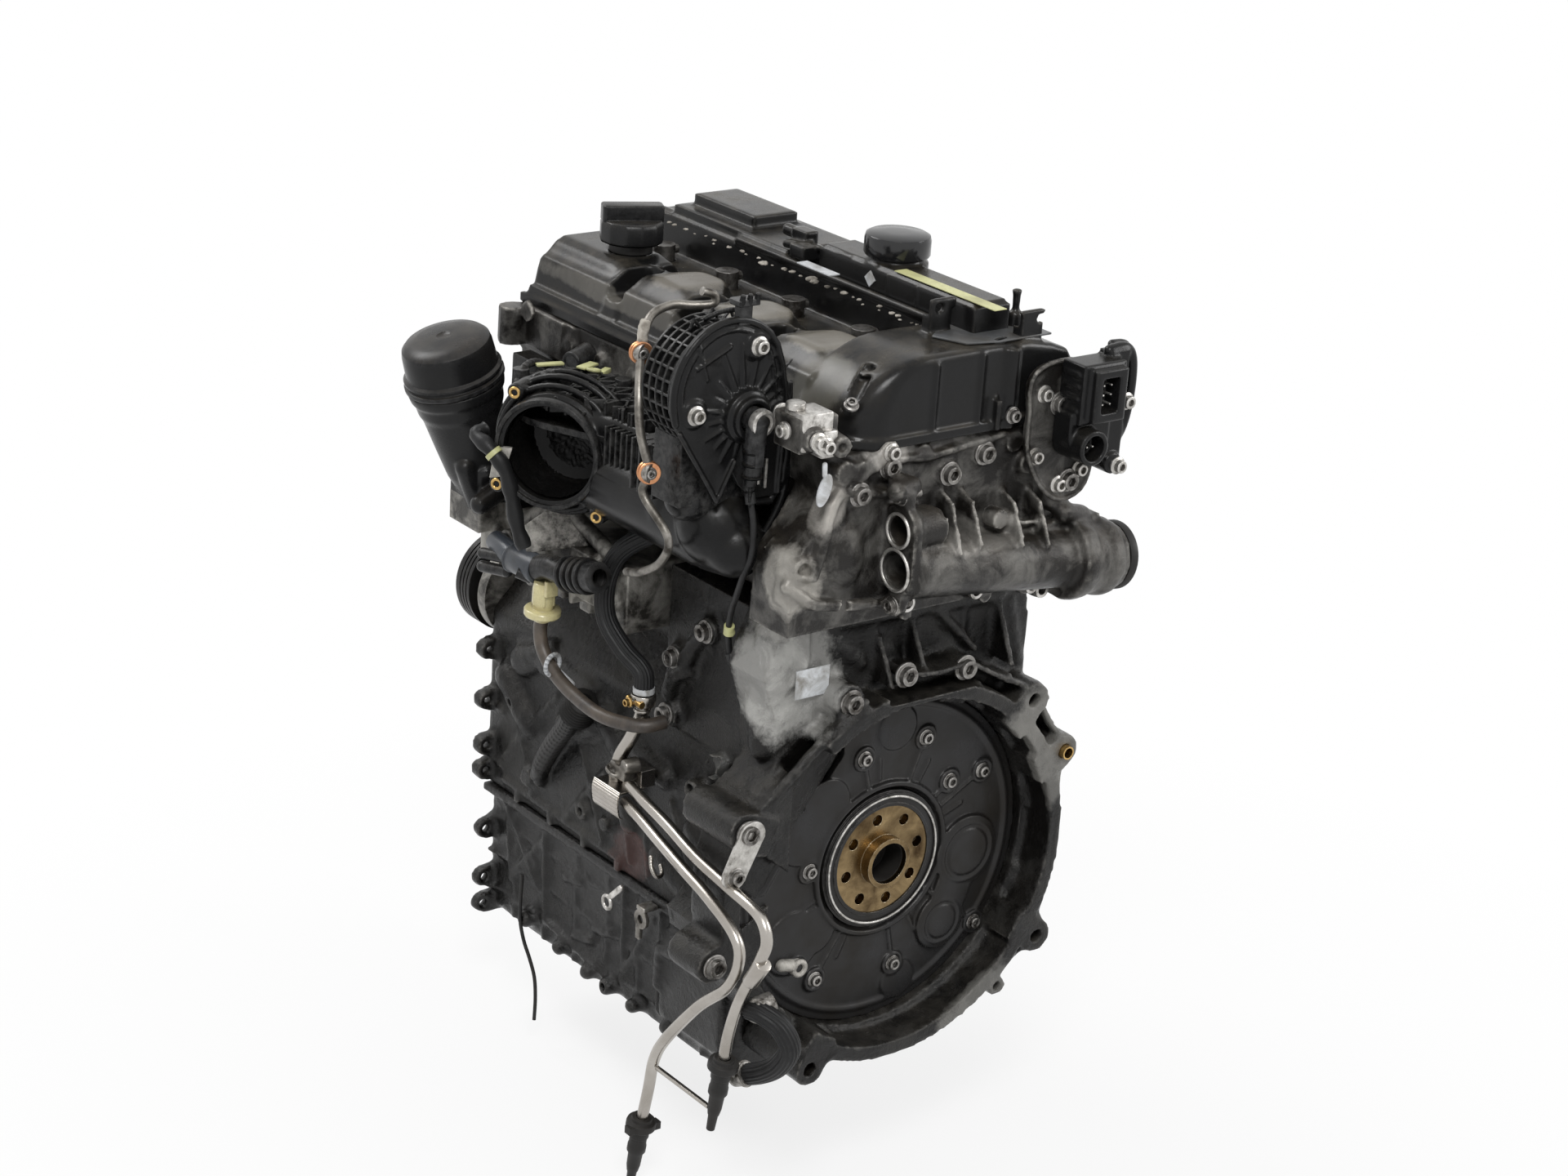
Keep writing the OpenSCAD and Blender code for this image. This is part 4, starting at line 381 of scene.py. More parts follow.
BLACK_OIL_AND_SHADE = (0.006, 0.0055, 0.005)
FINISH = {
    "block_iron": surface(
        "oily iron", (0.026, 0.025, 0.023), BLACK_OIL_AND_SHADE, metallic=0.1, roughness=(0.5, 0.2),
        grime=(48, 0.6, 0.1), lumps=6, grain=1.2, lump_share=0.62, depth=1.5, rounding=1.5,
        edges=(1.5, 0.75), edge_colour=(0.20, 0.19, 0.175), dust=(0.35, 20),
        dust_colour=(0.085, 0.078, 0.066), smears=0.5, specular=0.28,
        patches=(((-112, 2, 182), (48, 48, 52), (0.50, 0.495, 0.47)),
                 ((-122, 8, 232), (18, 30, 12), (0.48, 0.47, 0.44)),
                 ((-124, 195, -54), (14, 34, 30), (0.085, 0.034, 0.028)),
                 ((-125, 68, 84), (10, 12, 16), (0.10, 0.10, 0.095)),
                 ((150, -40, 90), (60, 12, 60), (0.20, 0.195, 0.18)),
                 ((110, -40, -160), (60, 12, 50), (0.20, 0.195, 0.18)))),
    "head_aluminium": surface(
        "dirty head casting", (0.135, 0.13, 0.12), (0.014, 0.0125, 0.011), metallic=0.3,
        roughness=(0.46, 0.28), grime=(36, 0.58, 0.1), lumps=7, grain=1.0, depth=1.0,
        rounding=1.5, edges=(1.6, 0.9), edge_colour=(0.46, 0.44, 0.40), dust=(0.3, 25),
        dust_colour=(0.13, 0.11, 0.085), smears=0.55, specular=0.35,
        patches=(((-150, -30, 285), (36, 26, 30), (0.44, 0.42, 0.38)),
                 ((-118, -38, 345), (20, 16, 24), (0.38, 0.36, 0.33)),
                 ((-62, -40, 380), (22, 14, 14), (0.42, 0.40, 0.37)),
                 ((30, -58, 306), (60, 30, 14), (0.26, 0.25, 0.23)),
                 ((-126, 60, 330), (18, 60, 40), (0.30, 0.28, 0.25)),
                 ((-126, 300, 380), (14, 60, 22), (0.36, 0.34, 0.30)))),
    "clean_aluminium": surface(
        "pale casting", (0.40, 0.385, 0.35), (0.03, 0.027, 0.023), metallic=0.3,
        roughness=(0.5, 0.35), grime=(34, 0.5, 0.1), lumps=8, grain=1.0, lump_share=0.5,
        depth=0.9, rounding=1.2, edges=(1.5, 0.5), edge_colour=(0.6, 0.57, 0.52), smears=0.6),
    "bearing_metal": surface(
        "bearing shell", (0.42, 0.40, 0.38), (0.2, 0.17, 0.14), metallic=0.9,
        roughness=(0.2, 0.35), depth=0.05),
    "sump_steel": surface(
        "oily sump", (0.018, 0.017, 0.016), BLACK_OIL_AND_SHADE, roughness=(0.42, 0.16),
        grime=(55, 0.6, 0.12), lumps=5, grain=1.2, lump_share=0.65, depth=1.5, rounding=1.5,
        edges=(1.5, 0.5), edge_colour=(0.13, 0.12, 0.11), smears=0.5, specular=0.3),
    "cover_steel": surface(
        "dark plate", (0.030, 0.030, 0.031), (0.016, 0.0135, 0.0105), metallic=0.4,
        roughness=(0.24, 0.4), grime=(75, 0.45, 0.2), lumps=16, grain=0.8, lump_share=0.5,
        edges=(1.0, 0.5), edge_colour=(0.2, 0.19, 0.18), smears=0.35, specular=0.25),
    "gasket": surface(
        "steel gasket", (0.08, 0.076, 0.072), BLACK_OIL_AND_SHADE, metallic=0.6, roughness=(0.4, 0.3)),
    "cover_plastic": surface(
        "dusty moulding", (0.010, 0.010, 0.0105), (0.006, 0.0057, 0.005),
        roughness=(0.14, 0.3), grime=(50, 0.45, 0.2), lumps=18, grain=0.7, lump_share=0.35,
        depth=0.12, rounding=1.4, edges=(1.6, 0.45), edge_colour=(0.12, 0.112, 0.10),
        dust=(0.4, 30), dust_colour=(0.11, 0.095, 0.072), specular=0.2,
        patches=(((-44, 160, 446), (38, 34, 14), (0.21, 0.195, 0.165)),
                 ((-44, 254, 446), (38, 34, 14), (0.17, 0.155, 0.13)),
                 ((-44, 66, 446), (38, 34, 14), (0.21, 0.195, 0.165)),
                 ((-90, 240, 420), (12, 190, 10), (0.10, 0.095, 0.085)),
                 ((-78, 20, 420), (24, 34, 30), (0.085, 0.082, 0.07)))),
    "intake_plastic": surface(
        "oily moulding", (0.009, 0.009, 0.0095), (0.005, 0.005, 0.005), roughness=(0.14, 0.3),
        grime=(45, 0.5, 0.2), lumps=14, grain=0.6, lump_share=0.35, depth=0.12,
        edges=(1.0, 0.35), edge_colour=(0.10, 0.098, 0.094), dust=(0.25, 22),
        dust_colour=(0.05, 0.045, 0.035), specular=0.2),
    "cap_plastic": surface(
        "black moulding", (0.012, 0.012, 0.0125), (0.006, 0.006, 0.006), roughness=(0.22, 0.4),
        grime=(40, 0.45, 0.2), lumps=14, grain=0.5, lump_share=0.35, depth=0.1,
        edges=(1.0, 0.35), edge_colour=(0.09, 0.09, 0.09), dust=(0.4, 25),
        dust_colour=(0.09, 0.078, 0.064), specular=0.22),
    "seal_rubber": surface(
        "black rubber", (0.012, 0.0115, 0.011), (0.02, 0.018, 0.016), roughness=(0.45, 0.6),
        depth=0.1, specular=0.3),
    "hose_rubber": surface(
        "hose rubber", (0.014, 0.014, 0.0145), (0.007, 0.007, 0.007), roughness=(0.38, 0.5),
        grime=(30, 0.4, 0.2), lumps=3, grain=0.8, lump_share=0.4, depth=0.2, edges=(0.5, 0.4),
        edge_colour=(0.07, 0.07, 0.07), specular=0.22),
    "return_rubber": surface(
        "oily hose", (0.10, 0.08, 0.062), (0.03, 0.024, 0.02), roughness=(0.35, 0.5),
        grime=(25, 0.5, 0.15), lumps=5, grain=0.8, lump_share=0.4, depth=0.2),
    "coupler_plastic": surface(
        "grey moulding", (0.055, 0.064, 0.078), (0.02, 0.02, 0.021), roughness=(0.32, 0.45),
        grime=(25, 0.4, 0.2), depth=0.1),
    "stainless": surface(
        "stainless tube", (0.50, 0.475, 0.44), (0.22, 0.195, 0.165), metallic=1.0,
        roughness=(0.2, 0.34), grime=(70, 0.4, 0.3), lumps=30, grain=0.5, lump_share=0.2,
        depth=0.05, rounding=0.5, specks=0.12),
    "bracket_steel": surface(
        "sheet steel", (0.24, 0.225, 0.20), (0.04, 0.034, 0.027), metallic=0.8,
        roughness=(0.34, 0.5), grime=(22, 0.5, 0.12), lumps=10, grain=0.7, lump_share=0.4,
        depth=0.2, rounding=0.6, edges=(0.8, 0.6), edge_colour=(0.55, 0.53, 0.50)),
    "fastener_steel": surface(
        "worn zinc", (0.26, 0.25, 0.235), (0.035, 0.03, 0.025), metallic=0.85,
        roughness=(0.3, 0.45), grime=(13, 0.52, 0.12), lumps=4, grain=0.5, lump_share=0.4,
        depth=0.2, rounding=0.5, edges=(0.7, 0.8), edge_colour=(0.65, 0.63, 0.6)),
    "crank_steel": surface(
        "oiled crank", (0.30, 0.215, 0.11), (0.045, 0.026, 0.011), metallic=1.0,
        roughness=(0.2, 0.36), grime=(26, 0.5, 0.2), lumps=12, grain=0.5, lump_share=0.3,
        depth=0.12, rounding=0.8, edges=(0.8, 0.6), edge_colour=(0.62, 0.55, 0.42),
        smears=0.45),
    "gear_steel": surface(
        "oiled steel", (0.36, 0.34, 0.32), (0.12, 0.10, 0.08), metallic=1.0,
        roughness=(0.25, 0.4), depth=0.05),
    "brass": surface(
        "brass", (0.60, 0.40, 0.15), (0.18, 0.11, 0.05), metallic=1.0, roughness=(0.3, 0.45),
        grime=(10, 0.35, 0.15), depth=0.05, rounding=0.3),
    "filter_paper": surface(
        "filter paper", (0.62, 0.52, 0.30), (0.35, 0.26, 0.14), roughness=(0.8, 0.9)),
    "wire_sleeve": surface(
        "wire sleeve", (0.012, 0.012, 0.012), (0.02, 0.018, 0.016), roughness=(0.45, 0.6),
        depth=0.05, rounding=0.3, specular=0.3),
    "piston_alloy": surface(
        "piston alloy", (0.50, 0.49, 0.47), (0.2, 0.17, 0.14), metallic=0.9,
        roughness=(0.3, 0.45), depth=0.05),
}
ZINC = surface(
    "bright zinc", (0.50, 0.485, 0.455), (0.10, 0.09, 0.075), metallic=0.85,
    roughness=(0.3, 0.45), grime=(12, 0.4, 0.12), lumps=4, grain=0.5, lump_share=0.4,
    depth=0.15, rounding=0.5, edges=(0.7, 0.8), edge_colour=(0.75, 0.73, 0.7))
SATIN_TOP = surface(
    "grey sheet", (0.115, 0.12, 0.125), (0.05, 0.046, 0.04), metallic=0.2,
    roughness=(0.3, 0.5), grime=(30, 0.45, 0.15), depth=0.08)
LABEL_YELLOW = surface(
    "yellow label", (0.56, 0.56, 0.27), (0.30, 0.29, 0.16), roughness=(0.35, 0.6),
    grime=(30, 0.35, 0.15), depth=0.04)
LABEL_WHITE = surface(
    "white label", (0.60, 0.62, 0.64), (0.22, 0.21, 0.19), roughness=(0.4, 0.6),
    grime=(20, 0.4, 0.12), depth=0.04)
CRUST = surface(
    "pale crust", (0.44, 0.41, 0.36), (0.12, 0.10, 0.08), roughness=(0.75, 0.9),
    grime=(12, 0.4, 0.15), lumps=2.5, grain=0.8, depth=0.8)
AMBER = surface(
    "yellowed clear moulding", (0.62, 0.56, 0.30), (0.34, 0.28, 0.14), roughness=(0.22, 0.4),
    grime=(16, 0.35, 0.15), depth=0.05, coat=0.3)
GLOSS_BLACK = surface(
    "glossy moulding", (0.012, 0.012, 0.013), (0.008, 0.008, 0.008), roughness=(0.12, 0.25),
    grime=(40, 0.35, 0.2), depth=0.05)
SLUDGE = surface(
    "oily sludge", (0.008, 0.0075, 0.007), (0.004, 0.004, 0.004), roughness=(0.08, 0.2),
    grime=(8, 0.5, 0.2), lumps=2.5, grain=0.8, lump_share=0.5, depth=0.6, specular=0.22)
COPPER = surface(
    "copper washer", (0.62, 0.30, 0.15), (0.25, 0.10, 0.05), metallic=0.9,
    roughness=(0.35, 0.5), grime=(10, 0.35, 0.15), depth=0.08)


# --- pieces -----------------------------------------------------------------------------

EDGE_FROM, HOLLOW_FROM, BEND_SPAN = 0.07, 0.06, 0.16
WELD, FLAT_ANGLE = 0.004, math.radians(1.0)
CAST_CREASE = 50


def mark_edges(mesh):
    """Stores on each point how much it stands out as an edge, for the wear there, and how
    much it lies in a corner, for the painted shade that the dirt colour lays there."""
    count = len(mesh.vertices)
    places = np.empty(count * 3, np.float32)
    mesh.vertices.foreach_get("co", places)
    normals = np.empty(count * 3, np.float32)
    mesh.vertex_normals.foreach_get("vector", normals)
    ends = np.empty(len(mesh.edges) * 2, np.int32)
    mesh.edges.foreach_get("vertices", ends)
    places, normals, ends = places.reshape(-1, 3), normals.reshape(-1, 3), ends.reshape(-1, 2)
    first, second = ends[:, 0], ends[:, 1]
    step = places[second] - places[first]
    step /= np.maximum(np.linalg.norm(step, axis=1), 1e-9)[:, None]
    rise = np.zeros(count)
    np.add.at(rise, first, -(normals[first] * step).sum(axis=1))
    np.add.at(rise, second, (normals[second] * step).sum(axis=1))
    links = np.maximum(np.bincount(ends.ravel(), minlength=count), 1)
    rise /= links
    for _ in range(2):
        spread = np.zeros(count)
        np.add.at(spread, first, rise[second])
        np.add.at(spread, second, rise[first])
        rise = 0.4 * rise + 0.6 * spread / links
    # the hollow share later darkens corners with the dirt colour, as painted shade
    for label, value in (("edge", rise - EDGE_FROM), ("hollow", -rise - HOLLOW_FROM)):
        layer = mesh.attributes.new(label, "FLOAT", "POINT")
        share = np.clip(value / BEND_SPAN, 0, 1)
        layer.data.foreach_set("value", share.astype(np.float32))


def piece(name, bm, finish, node_name, stands_for=(), crease=32):
    """Makes an object of a bmesh drawn in millimetres, in metres, on node_name's body."""
    bmesh.ops.scale(bm, vec=(MM, MM, MM), verts=bm.verts)
    mesh = bpy.data.meshes.new(name)
    bm.to_mesh(mesh)
    bm.free()
    for face in mesh.polygons:
        face.use_smooth = True
    mesh.set_sharp_from_angle(angle=math.radians(crease))
    mark_edges(mesh)
    obj = bpy.data.objects.new(name, mesh)
    scene.collection.objects.link(obj)
    mesh.materials.append(finish)
    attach(obj, BODY_OF[node_name])
    if stands_for:
        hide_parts(*stands_for)
    return obj


def stand_in(name, bm, node_name, crease=32):
    """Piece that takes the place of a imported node, in that node's finish."""
    return piece(name, bm, FINISH[SLOT_OF[node_name]], node_name, (node_name,), crease)


def fitting(name, bm, finish_name, node_name, crease=32):
    """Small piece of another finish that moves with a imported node."""
    return piece(name, bm, FINISH[finish_name], node_name, (), crease)


def node_copy(name):
    """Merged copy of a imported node's mesh, in millimetres, with its flats made whole."""
    bm = bmesh.new()
    bm.from_mesh(NODES[name].data)
    bmesh.ops.scale(bm, vec=(1 / MM,) * 3, verts=bm.verts)
    bmesh.ops.remove_doubles(bm, verts=bm.verts, dist=WELD)
    bmesh.ops.dissolve_limit(bm, angle_limit=FLAT_ANGLE, verts=bm.verts,
                             edges=bm.edges, delimit={"NORMAL"})
    return bm


def rounded(bm, width, segments=2, over=28):
    """Rounds the edges that turn by more than over degrees."""
    sharp = [edge for edge in bm.edges if len(edge.link_faces) == 2
             and edge.calc_face_angle(0) > math.radians(over)]
    bmesh.ops.bevel(bm, geom=sharp, offset=width, segments=segments, profile=0.5,
                    affect="EDGES", clamp_overlap=False, material=-1)
    return bm


def soften(name, width):
    """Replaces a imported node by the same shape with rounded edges."""
    return stand_in(name + "_body", rounded(node_copy(name), width), name)


# --- shapes in millimetres ---------------------------------------------------------------

def between(a, b):
    """Matrix that puts +Z along a to b, with its origin halfway."""
    a, b = Vector(a), Vector(b)
    return Matrix.Translation((a + b) / 2) @ (b - a).to_track_quat("Z", "Y").to_matrix().to_4x4()


def bar(bm, a, b, r, end_r=None, sides=32):
    """Round bar from a to b, tapered to end_r where one is given."""
    length = (Vector(b) - Vector(a)).length
    return bmesh.ops.create_cone(bm, cap_ends=True, segments=sides, radius1=r, depth=length,
                                 radius2=r if end_r is None else end_r,
                                 matrix=between(a, b))["verts"]


def block(bm, low, high):
    """Box between two corners."""
    low, high = Vector(low), Vector(high)
    place = Matrix.Translation((low + high) / 2) @ Matrix.Diagonal((*(high - low), 1))
    return bmesh.ops.create_cube(bm, size=1, matrix=place)["verts"]


def boxes(*corners):
    """New bmesh with a box between each pair of corners."""
    bm = bmesh.new()
    for low, high in corners:
        block(bm, low, high)
    return bm


def ball(bm, at, r, stretch=(1, 1, 1)):
    """Ball of radius r at a place, stretched along the axes."""
    place = Matrix.Translation(at) @ Matrix.Diagonal((*stretch, 1))
    return bmesh.ops.create_icosphere(bm, subdivisions=3, radius=r, matrix=place)["verts"]


def prism(bm, outline, along):
    """Solid of a flat outline (a list of points) pushed along a vector."""
    face = bm.faces.new([bm.verts.new(point) for point in outline])
    pushed = bmesh.ops.extrude_face_region(bm, geom=[face])["geom"]
    tops = [item for item in pushed if isinstance(item, bmesh.types.BMVert)]
    bmesh.ops.translate(bm, vec=along, verts=tops)
    bmesh.ops.recalc_face_normals(bm, faces=bm.faces)


def turned(bm, profile, at, along, sides=64):
    """Solid turned from a profile of (radius, height) pairs about the axis at, along."""
    at, along = Vector(at), Vector(along).normalized()
    side = along.orthogonal().normalized()
    verts = [bm.verts.new(at + r * side + h * along) for r, h in profile]
    edges = [bm.edges.new(pair) for pair in zip(verts, verts[1:])]
    bmesh.ops.spin(bm, geom=verts + edges, cent=at, axis=along, angle=2 * math.pi,
                   steps=sides, use_merge=True)
    bmesh.ops.remove_doubles(bm, verts=bm.verts, dist=0.001)
    bmesh.ops.recalc_face_normals(bm, faces=bm.faces)


def relief(bm, xs, ys, height, floor):
    """Solid with a flat floor under the surface z = height(x, y)."""
    top = [[bm.verts.new((x, y, height(x, y))) for x in xs] for y in ys]
    base = [[bm.verts.new((x, y, floor)) for x in xs] for y in ys]
    for j in range(len(ys) - 1):
        for i in range(len(xs) - 1):
            bm.faces.new((top[j][i], top[j][i + 1], top[j + 1][i + 1], top[j + 1][i]))
            bm.faces.new((base[j][i], base[j + 1][i], base[j + 1][i + 1], base[j][i + 1]))
    for j in range(len(ys) - 1):
        for i, flip in ((0, False), (len(xs) - 1, True)):
            side = (top[j][i], top[j + 1][i], base[j + 1][i], base[j][i])
            bm.faces.new(side[::-1] if flip else side)
    for i in range(len(xs) - 1):
        for j, flip in ((0, True), (len(ys) - 1, False)):
            side = (top[j][i], top[j][i + 1], base[j][i + 1], base[j][i])
            bm.faces.new(side[::-1] if flip else side)


def lofted(bm, rings):
    """Solid through rings of equally many points, closed with a flat face at each end."""
    loops = [[bm.verts.new(point) for point in ring] for ring in rings]
    for a, b in zip(loops, loops[1:]):
        for i in range(len(a)):
            j = (i + 1) % len(a)
            bm.faces.new((a[i], a[j], b[j], b[i]))
    bm.faces.new(loops[0][::-1])
    bm.faces.new(loops[-1])
    bmesh.ops.recalc_face_normals(bm, faces=bm.faces)


def capsule(bm, a, b, r, end_r=None, sides=20):
    """Round-ended bar from a to b."""
    end_r = r if end_r is None else end_r
    bar(bm, a, b, r, end_r, sides)
    ball(bm, a, r)
    ball(bm, b, end_r)


def chain(bm, points, r, end_r=None, sides=16):
    """Round bars end to end through points, tapered evenly to end_r."""
    end_r = r if end_r is None else end_r
    for i, (a, b) in enumerate(zip(points, points[1:])):
        shares = i / (len(points) - 1), (i + 1) / (len(points) - 1)
        capsule(bm, a, b, *(r + (end_r - r) * share for share in shares), sides)


def curve(route, count=5):
    """Points of a smooth curve through the points of a route."""
    route = [Vector(point) for point in route]
    points = []
    for i in range(len(route) - 1):
        a, b, c = route[max(i - 1, 0)], route[i], route[i + 1]
        d = route[min(i + 2, len(route) - 1)]
        for k in range(count):
            t = k / count
            points.append(0.5 * (2 * b + (c - a) * t + (2 * a - 5 * b + 4 * c - d) * t * t
                                 + (3 * b - a - 3 * c + d) * t * t * t))
    return points + [route[-1]]


def hose(bm, route, r, sides=20, count=5, swell=None):
    """Tube along a route; swell(share, angle) adds to its radius."""
    points = curve(route, count)
    last = len(points) - 1
    side = Vector((1, 0, 0))
    rings = []
    for i, point in enumerate(points):
        way = (points[min(i + 1, last)] - points[max(i - 1, 0)]).normalized()
        side = (side - side.dot(way) * way).normalized()
        up = way.cross(side)
        ring = []
        for k in range(sides):
            angle = 2 * math.pi * k / sides
            out = r + (swell(i / last, angle) if swell else 0)
            ring.append(point + out * (math.cos(angle) * side + math.sin(angle) * up))
        rings.append(ring)
    lofted(bm, rings)


def ring(bm, at, along, r, thick, sides=48):
    """Round-sectioned ring of radius r about the axis along."""
    profile = [(r + thick * math.cos(math.pi * k / 4), thick * math.sin(math.pi * k / 4))
               for k in range(9)]
    turned(bm, profile, at, along, sides)


def bolt(bm, at, along, r, high, flange=0.25):
    """Flanged bolt head that stands on at, with a drive recess."""
    turned(bm, [(0, -1), (r, -1), (r, high * flange * 0.7), (r * 0.9, high * flange),
                (r * 0.72, high * (flange + 0.08)), (r * 0.7, high * 0.93),
                (r * 0.62, high), (r * 0.4, high), (r * 0.36, high * 0.45),
                (0, high * 0.4)], at, along, 18)


def steps(low, high, size):
    """Even steps of about size from low to high, both included."""
    count = max(1, round((high - low) / size))
    return [low + (high - low) * i / count for i in range(count + 1)]


def ease(value, low, high):
    """0 below low, 1 above high and smooth between them."""
    t = min(max((value - low) / (high - low), 0.0), 1.0)
    return t * t * (3 - 2 * t)


def with_modifier(bm, kind, **settings):
    """The bmesh as one of Blender's modifiers leaves it."""
    mesh = bpy.data.meshes.new("in work")
    bm.to_mesh(mesh)
    bm.free()
    obj = bpy.data.objects.new("in work", mesh)
    scene.collection.objects.link(obj)
    modifier = obj.modifiers.new("step", kind)
    for key, value in settings.items():
        setattr(modifier, key, value)
    shaped = obj.evaluated_get(bpy.context.evaluated_depsgraph_get()).to_mesh()
    made = bmesh.new()
    made.from_mesh(shaped)
    bpy.data.objects.remove(obj)
    bpy.data.meshes.remove(mesh)
    return made


def carved(bm, cutter, solver="EXACT"):
    """bm with the solids of the bmesh cutter cut away. The solver MANIFOLD is quick, where
    bm is one closed skin."""
    mesh = bpy.data.meshes.new("cutter")
    cutter.to_mesh(mesh)
    cutter.free()
    tool = bpy.data.objects.new("cutter", mesh)
    scene.collection.objects.link(tool)
    made = with_modifier(bm, "BOOLEAN", object=tool, operation="DIFFERENCE", solver=solver,
                         use_self=solver == "EXACT")
    bpy.data.objects.remove(tool)
    bpy.data.meshes.remove(mesh)
    return made


def remeshed(bm, voxel):
    """One even, closed skin round all solids of bm."""
    return with_modifier(bm, "REMESH", mode="VOXEL", voxel_size=voxel)


def cast(bm, voxel, smoothing, keep, holes=None):
    """One skin round all solids of bm less holes, with the fillets that a casting has."""
    bm = remeshed(bm, voxel)
    if holes:
        bm = remeshed(carved(bm, holes, "MANIFOLD"), voxel)
    for _ in range(smoothing):
        bmesh.ops.smooth_vert(bm, verts=bm.verts, factor=0.5, use_axis_x=True,
                              use_axis_y=True, use_axis_z=True)
    return with_modifier(bm, "DECIMATE", ratio=keep)


def skin(name, voxel, keep, extras, cuts=None, holes=None, rough=None):
    """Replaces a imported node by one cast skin: of it less cuts, of the solids that extras
    adds, less holes."""
    bm = node_copy(name)
    if cuts:
        bm = carved(bm, cuts)
    extras(bm)
    bm = cast(bm, voxel, 3, keep, holes)
    if rough:
        bm = roughened(bm, *rough)
    return stand_in(name + "_skin", bm, name, CAST_CREASE)


def roughened(bm, height, size):
    """Moves the skin in and out by a smooth random height."""
    bm.normal_update()
    for vert in bm.verts:
        vert.co += vert.normal * height * noise.noise(vert.co / size)
    return bm


# --- cam cover --------------------------------------------------------------------------

NOTCH_ROWS = (112, 206, 300)
NOTCH_X, NOTCH_R, NOTCH_Z = -52, 12, 418
COVER_Z, COVER_TOP = 385, 455
DOME_X, DOME_Z, DOME_R = -22, 377, 78


def hump_height(x, y):
    """Top of the left ridge: a ledge, a steep wall, humps between the notches."""
    along = min(abs(y - row) for row in (18,) + NOTCH_ROWS)
    inner = -4 - 22 * (1 - ease(along, 0, 40)) if y < 312 else -6
    z = 402 + 25 * ease(x, -93, -86) + 16 * ease(x, -88, -62)
    z -= 4 * (1 - ease(along, 8, 34)) * ease(x, -84, -60)
    z -= 18 * ease(x, inner - 16, inner + 2)
    z -= 26 * ease(y, 416, 424)
    z += 1.0 * ease(x, -78, -74) * (1 - ease(x, -71, -68)) if y > 318 else 0
    for row in NOTCH_ROWS:
        away = abs(y - row) if x < NOTCH_X else math.hypot(x - NOTCH_X, y - row)
        if away < NOTCH_R - 1:
            return NOTCH_Z if x > -92 else min(NOTCH_Z, 402 + 16 * ease(x, -95, -91))
        if away < NOTCH_R + 2:
            z += 1.6
    return z


def dome_ring(y):
    """Section of the domed rear end at y, drawn in towards the rear face."""
    ring = []
    for i in range(29):
        angle = math.radians(174 - 84 * i / 28)
        corner = 6 + 30 * ease(math.degrees(angle), 95, 172)
        deep = min((y + 42) / corner, 1)
        inset = corner * (1 - math.sqrt(max(0, 1 - (1 - deep) ** 2)))
        ring.append((DOME_X + (DOME_R - inset) * math.cos(angle), y,
                     DOME_Z + (DOME_R - inset) * math.sin(angle)))
    inset = 5 * (1 - math.sqrt(max(0, 1 - (1 - min((y + 42) / 5, 1)) ** 2)))
    ring += [(30, y, COVER_TOP - inset), (78, y, COVER_TOP - 1 - inset),
             (104, y, COVER_TOP - 6 - inset), (120, y, COVER_TOP - 12 - inset),
             (127 - inset, y, COVER_TOP - 22), (128 - inset, y, COVER_TOP - 34),
             (128 - inset, y, COVER_Z), (ring[0][0], y, COVER_Z)]
    return ring


def make_cam_cover():
    """Moulded cover: humps with scooped notches, a domed rear end, a belt along its foot."""
    ridge, dome = ((-140, 36.4, 370), (-4, 440, 475)), ((-140, -60, 370), (140, 33.4, 475))
    bm = carved(node_copy("cam_cover"), boxes(ridge, dome))
    relief(bm, steps(-98, -3, 1.6), steps(30, 424, 2), hump_height, COVER_Z)
    lofted(bm, [dome_ring(y) for y in (-42, -41.2, -40, -38, -35, -31, -26, -20, -13, -6, 34)])
    block(bm, (-100.5, 30, COVER_Z), (-95, 426, COVER_Z + 9))
    belt = [[(x, y, z) for x, y in ((-60, -45), (128, -45), (128, 20), (-102, 20), (-102, -14),
                                    (-92, -32), (-76, -42))] for z in (COVER_Z, COVER_Z + 8)]
    lofted(bm, belt)
    for x, z in ((-18, 448), (29, 450)):
        block(bm, (x - 1.1, -44.2, COVER_Z), (x + 1.1, -41, z))
    bar(bm, (60, -40, COVER_Z), (60, -40, COVER_TOP - 3), 8)
    block(bm, (42, -50, 386), (47, -40, 412))
    for x, y, z in ((22, 8, 484), (83, -33, 478)):
        block(bm, (x - 10, y - 3, 440), (x + 12, y + 2, z))
        block(bm, (x - 10, y - 1, 440), (x - 7, y + 9, z - 14))
    bar(bm, (91, -6, 450), (91, -6, 468), 8, 6)
    bar(bm, (91, -6, 466), (91, -6, 485), 3.2)
    bar(bm, (91, -6, 484), (91, -6, 487), 4.4)
    chain(bm, curve([(-97, -24, 416), (-90, -23, 431), (-79, -19, 443), (-64, -12, 450)]), 2.2,
          sides=10)
    for y in (66, 160, 254):
        capsule(bm, (-90, y - 20, 399), (-90, y + 20, 399), 3)
    for x in (46, 116):
        block(bm, (x - 1.2, 40, 453), (x + 1.2, 424, 457))
    bm = cast(bm, 1.5, 3, 0.3, cover_cuts())
    stand_in("cover_body", bm, "cam_cover", CAST_CREASE)


def cover_cuts():
    """What is scooped out of the cover: notch openings, ear holes and the dome's pocket."""
    cutter = bmesh.new()
    capsule(cutter, (-93, -27, 421), (-66, -13, 443), 6, 7.5)
    for x, y, z in ((21, 8, 476), (92, -33, 470)):
        bar(cutter, (x, y - 8, z), (x, y + 8, z), 3.6)
    for row in NOTCH_ROWS:
        capsule(cutter, (-62, row, 429), (-100, row, 424), 9)
    bar(cutter, (-38, 350, 436), (-38, 350, 475), 19)
    return cutter


# --- crankcase, sump and end cover --------------------------------------------------------

SCREW_SPOTS = ((39, 103), (-26, 97), (70, 56), (106, 58), (-76, 6), (23, -105), (-62, -98),
               (112, -88))
HOLLOW_LUGS = (47, 25.3, -32, -119.5)


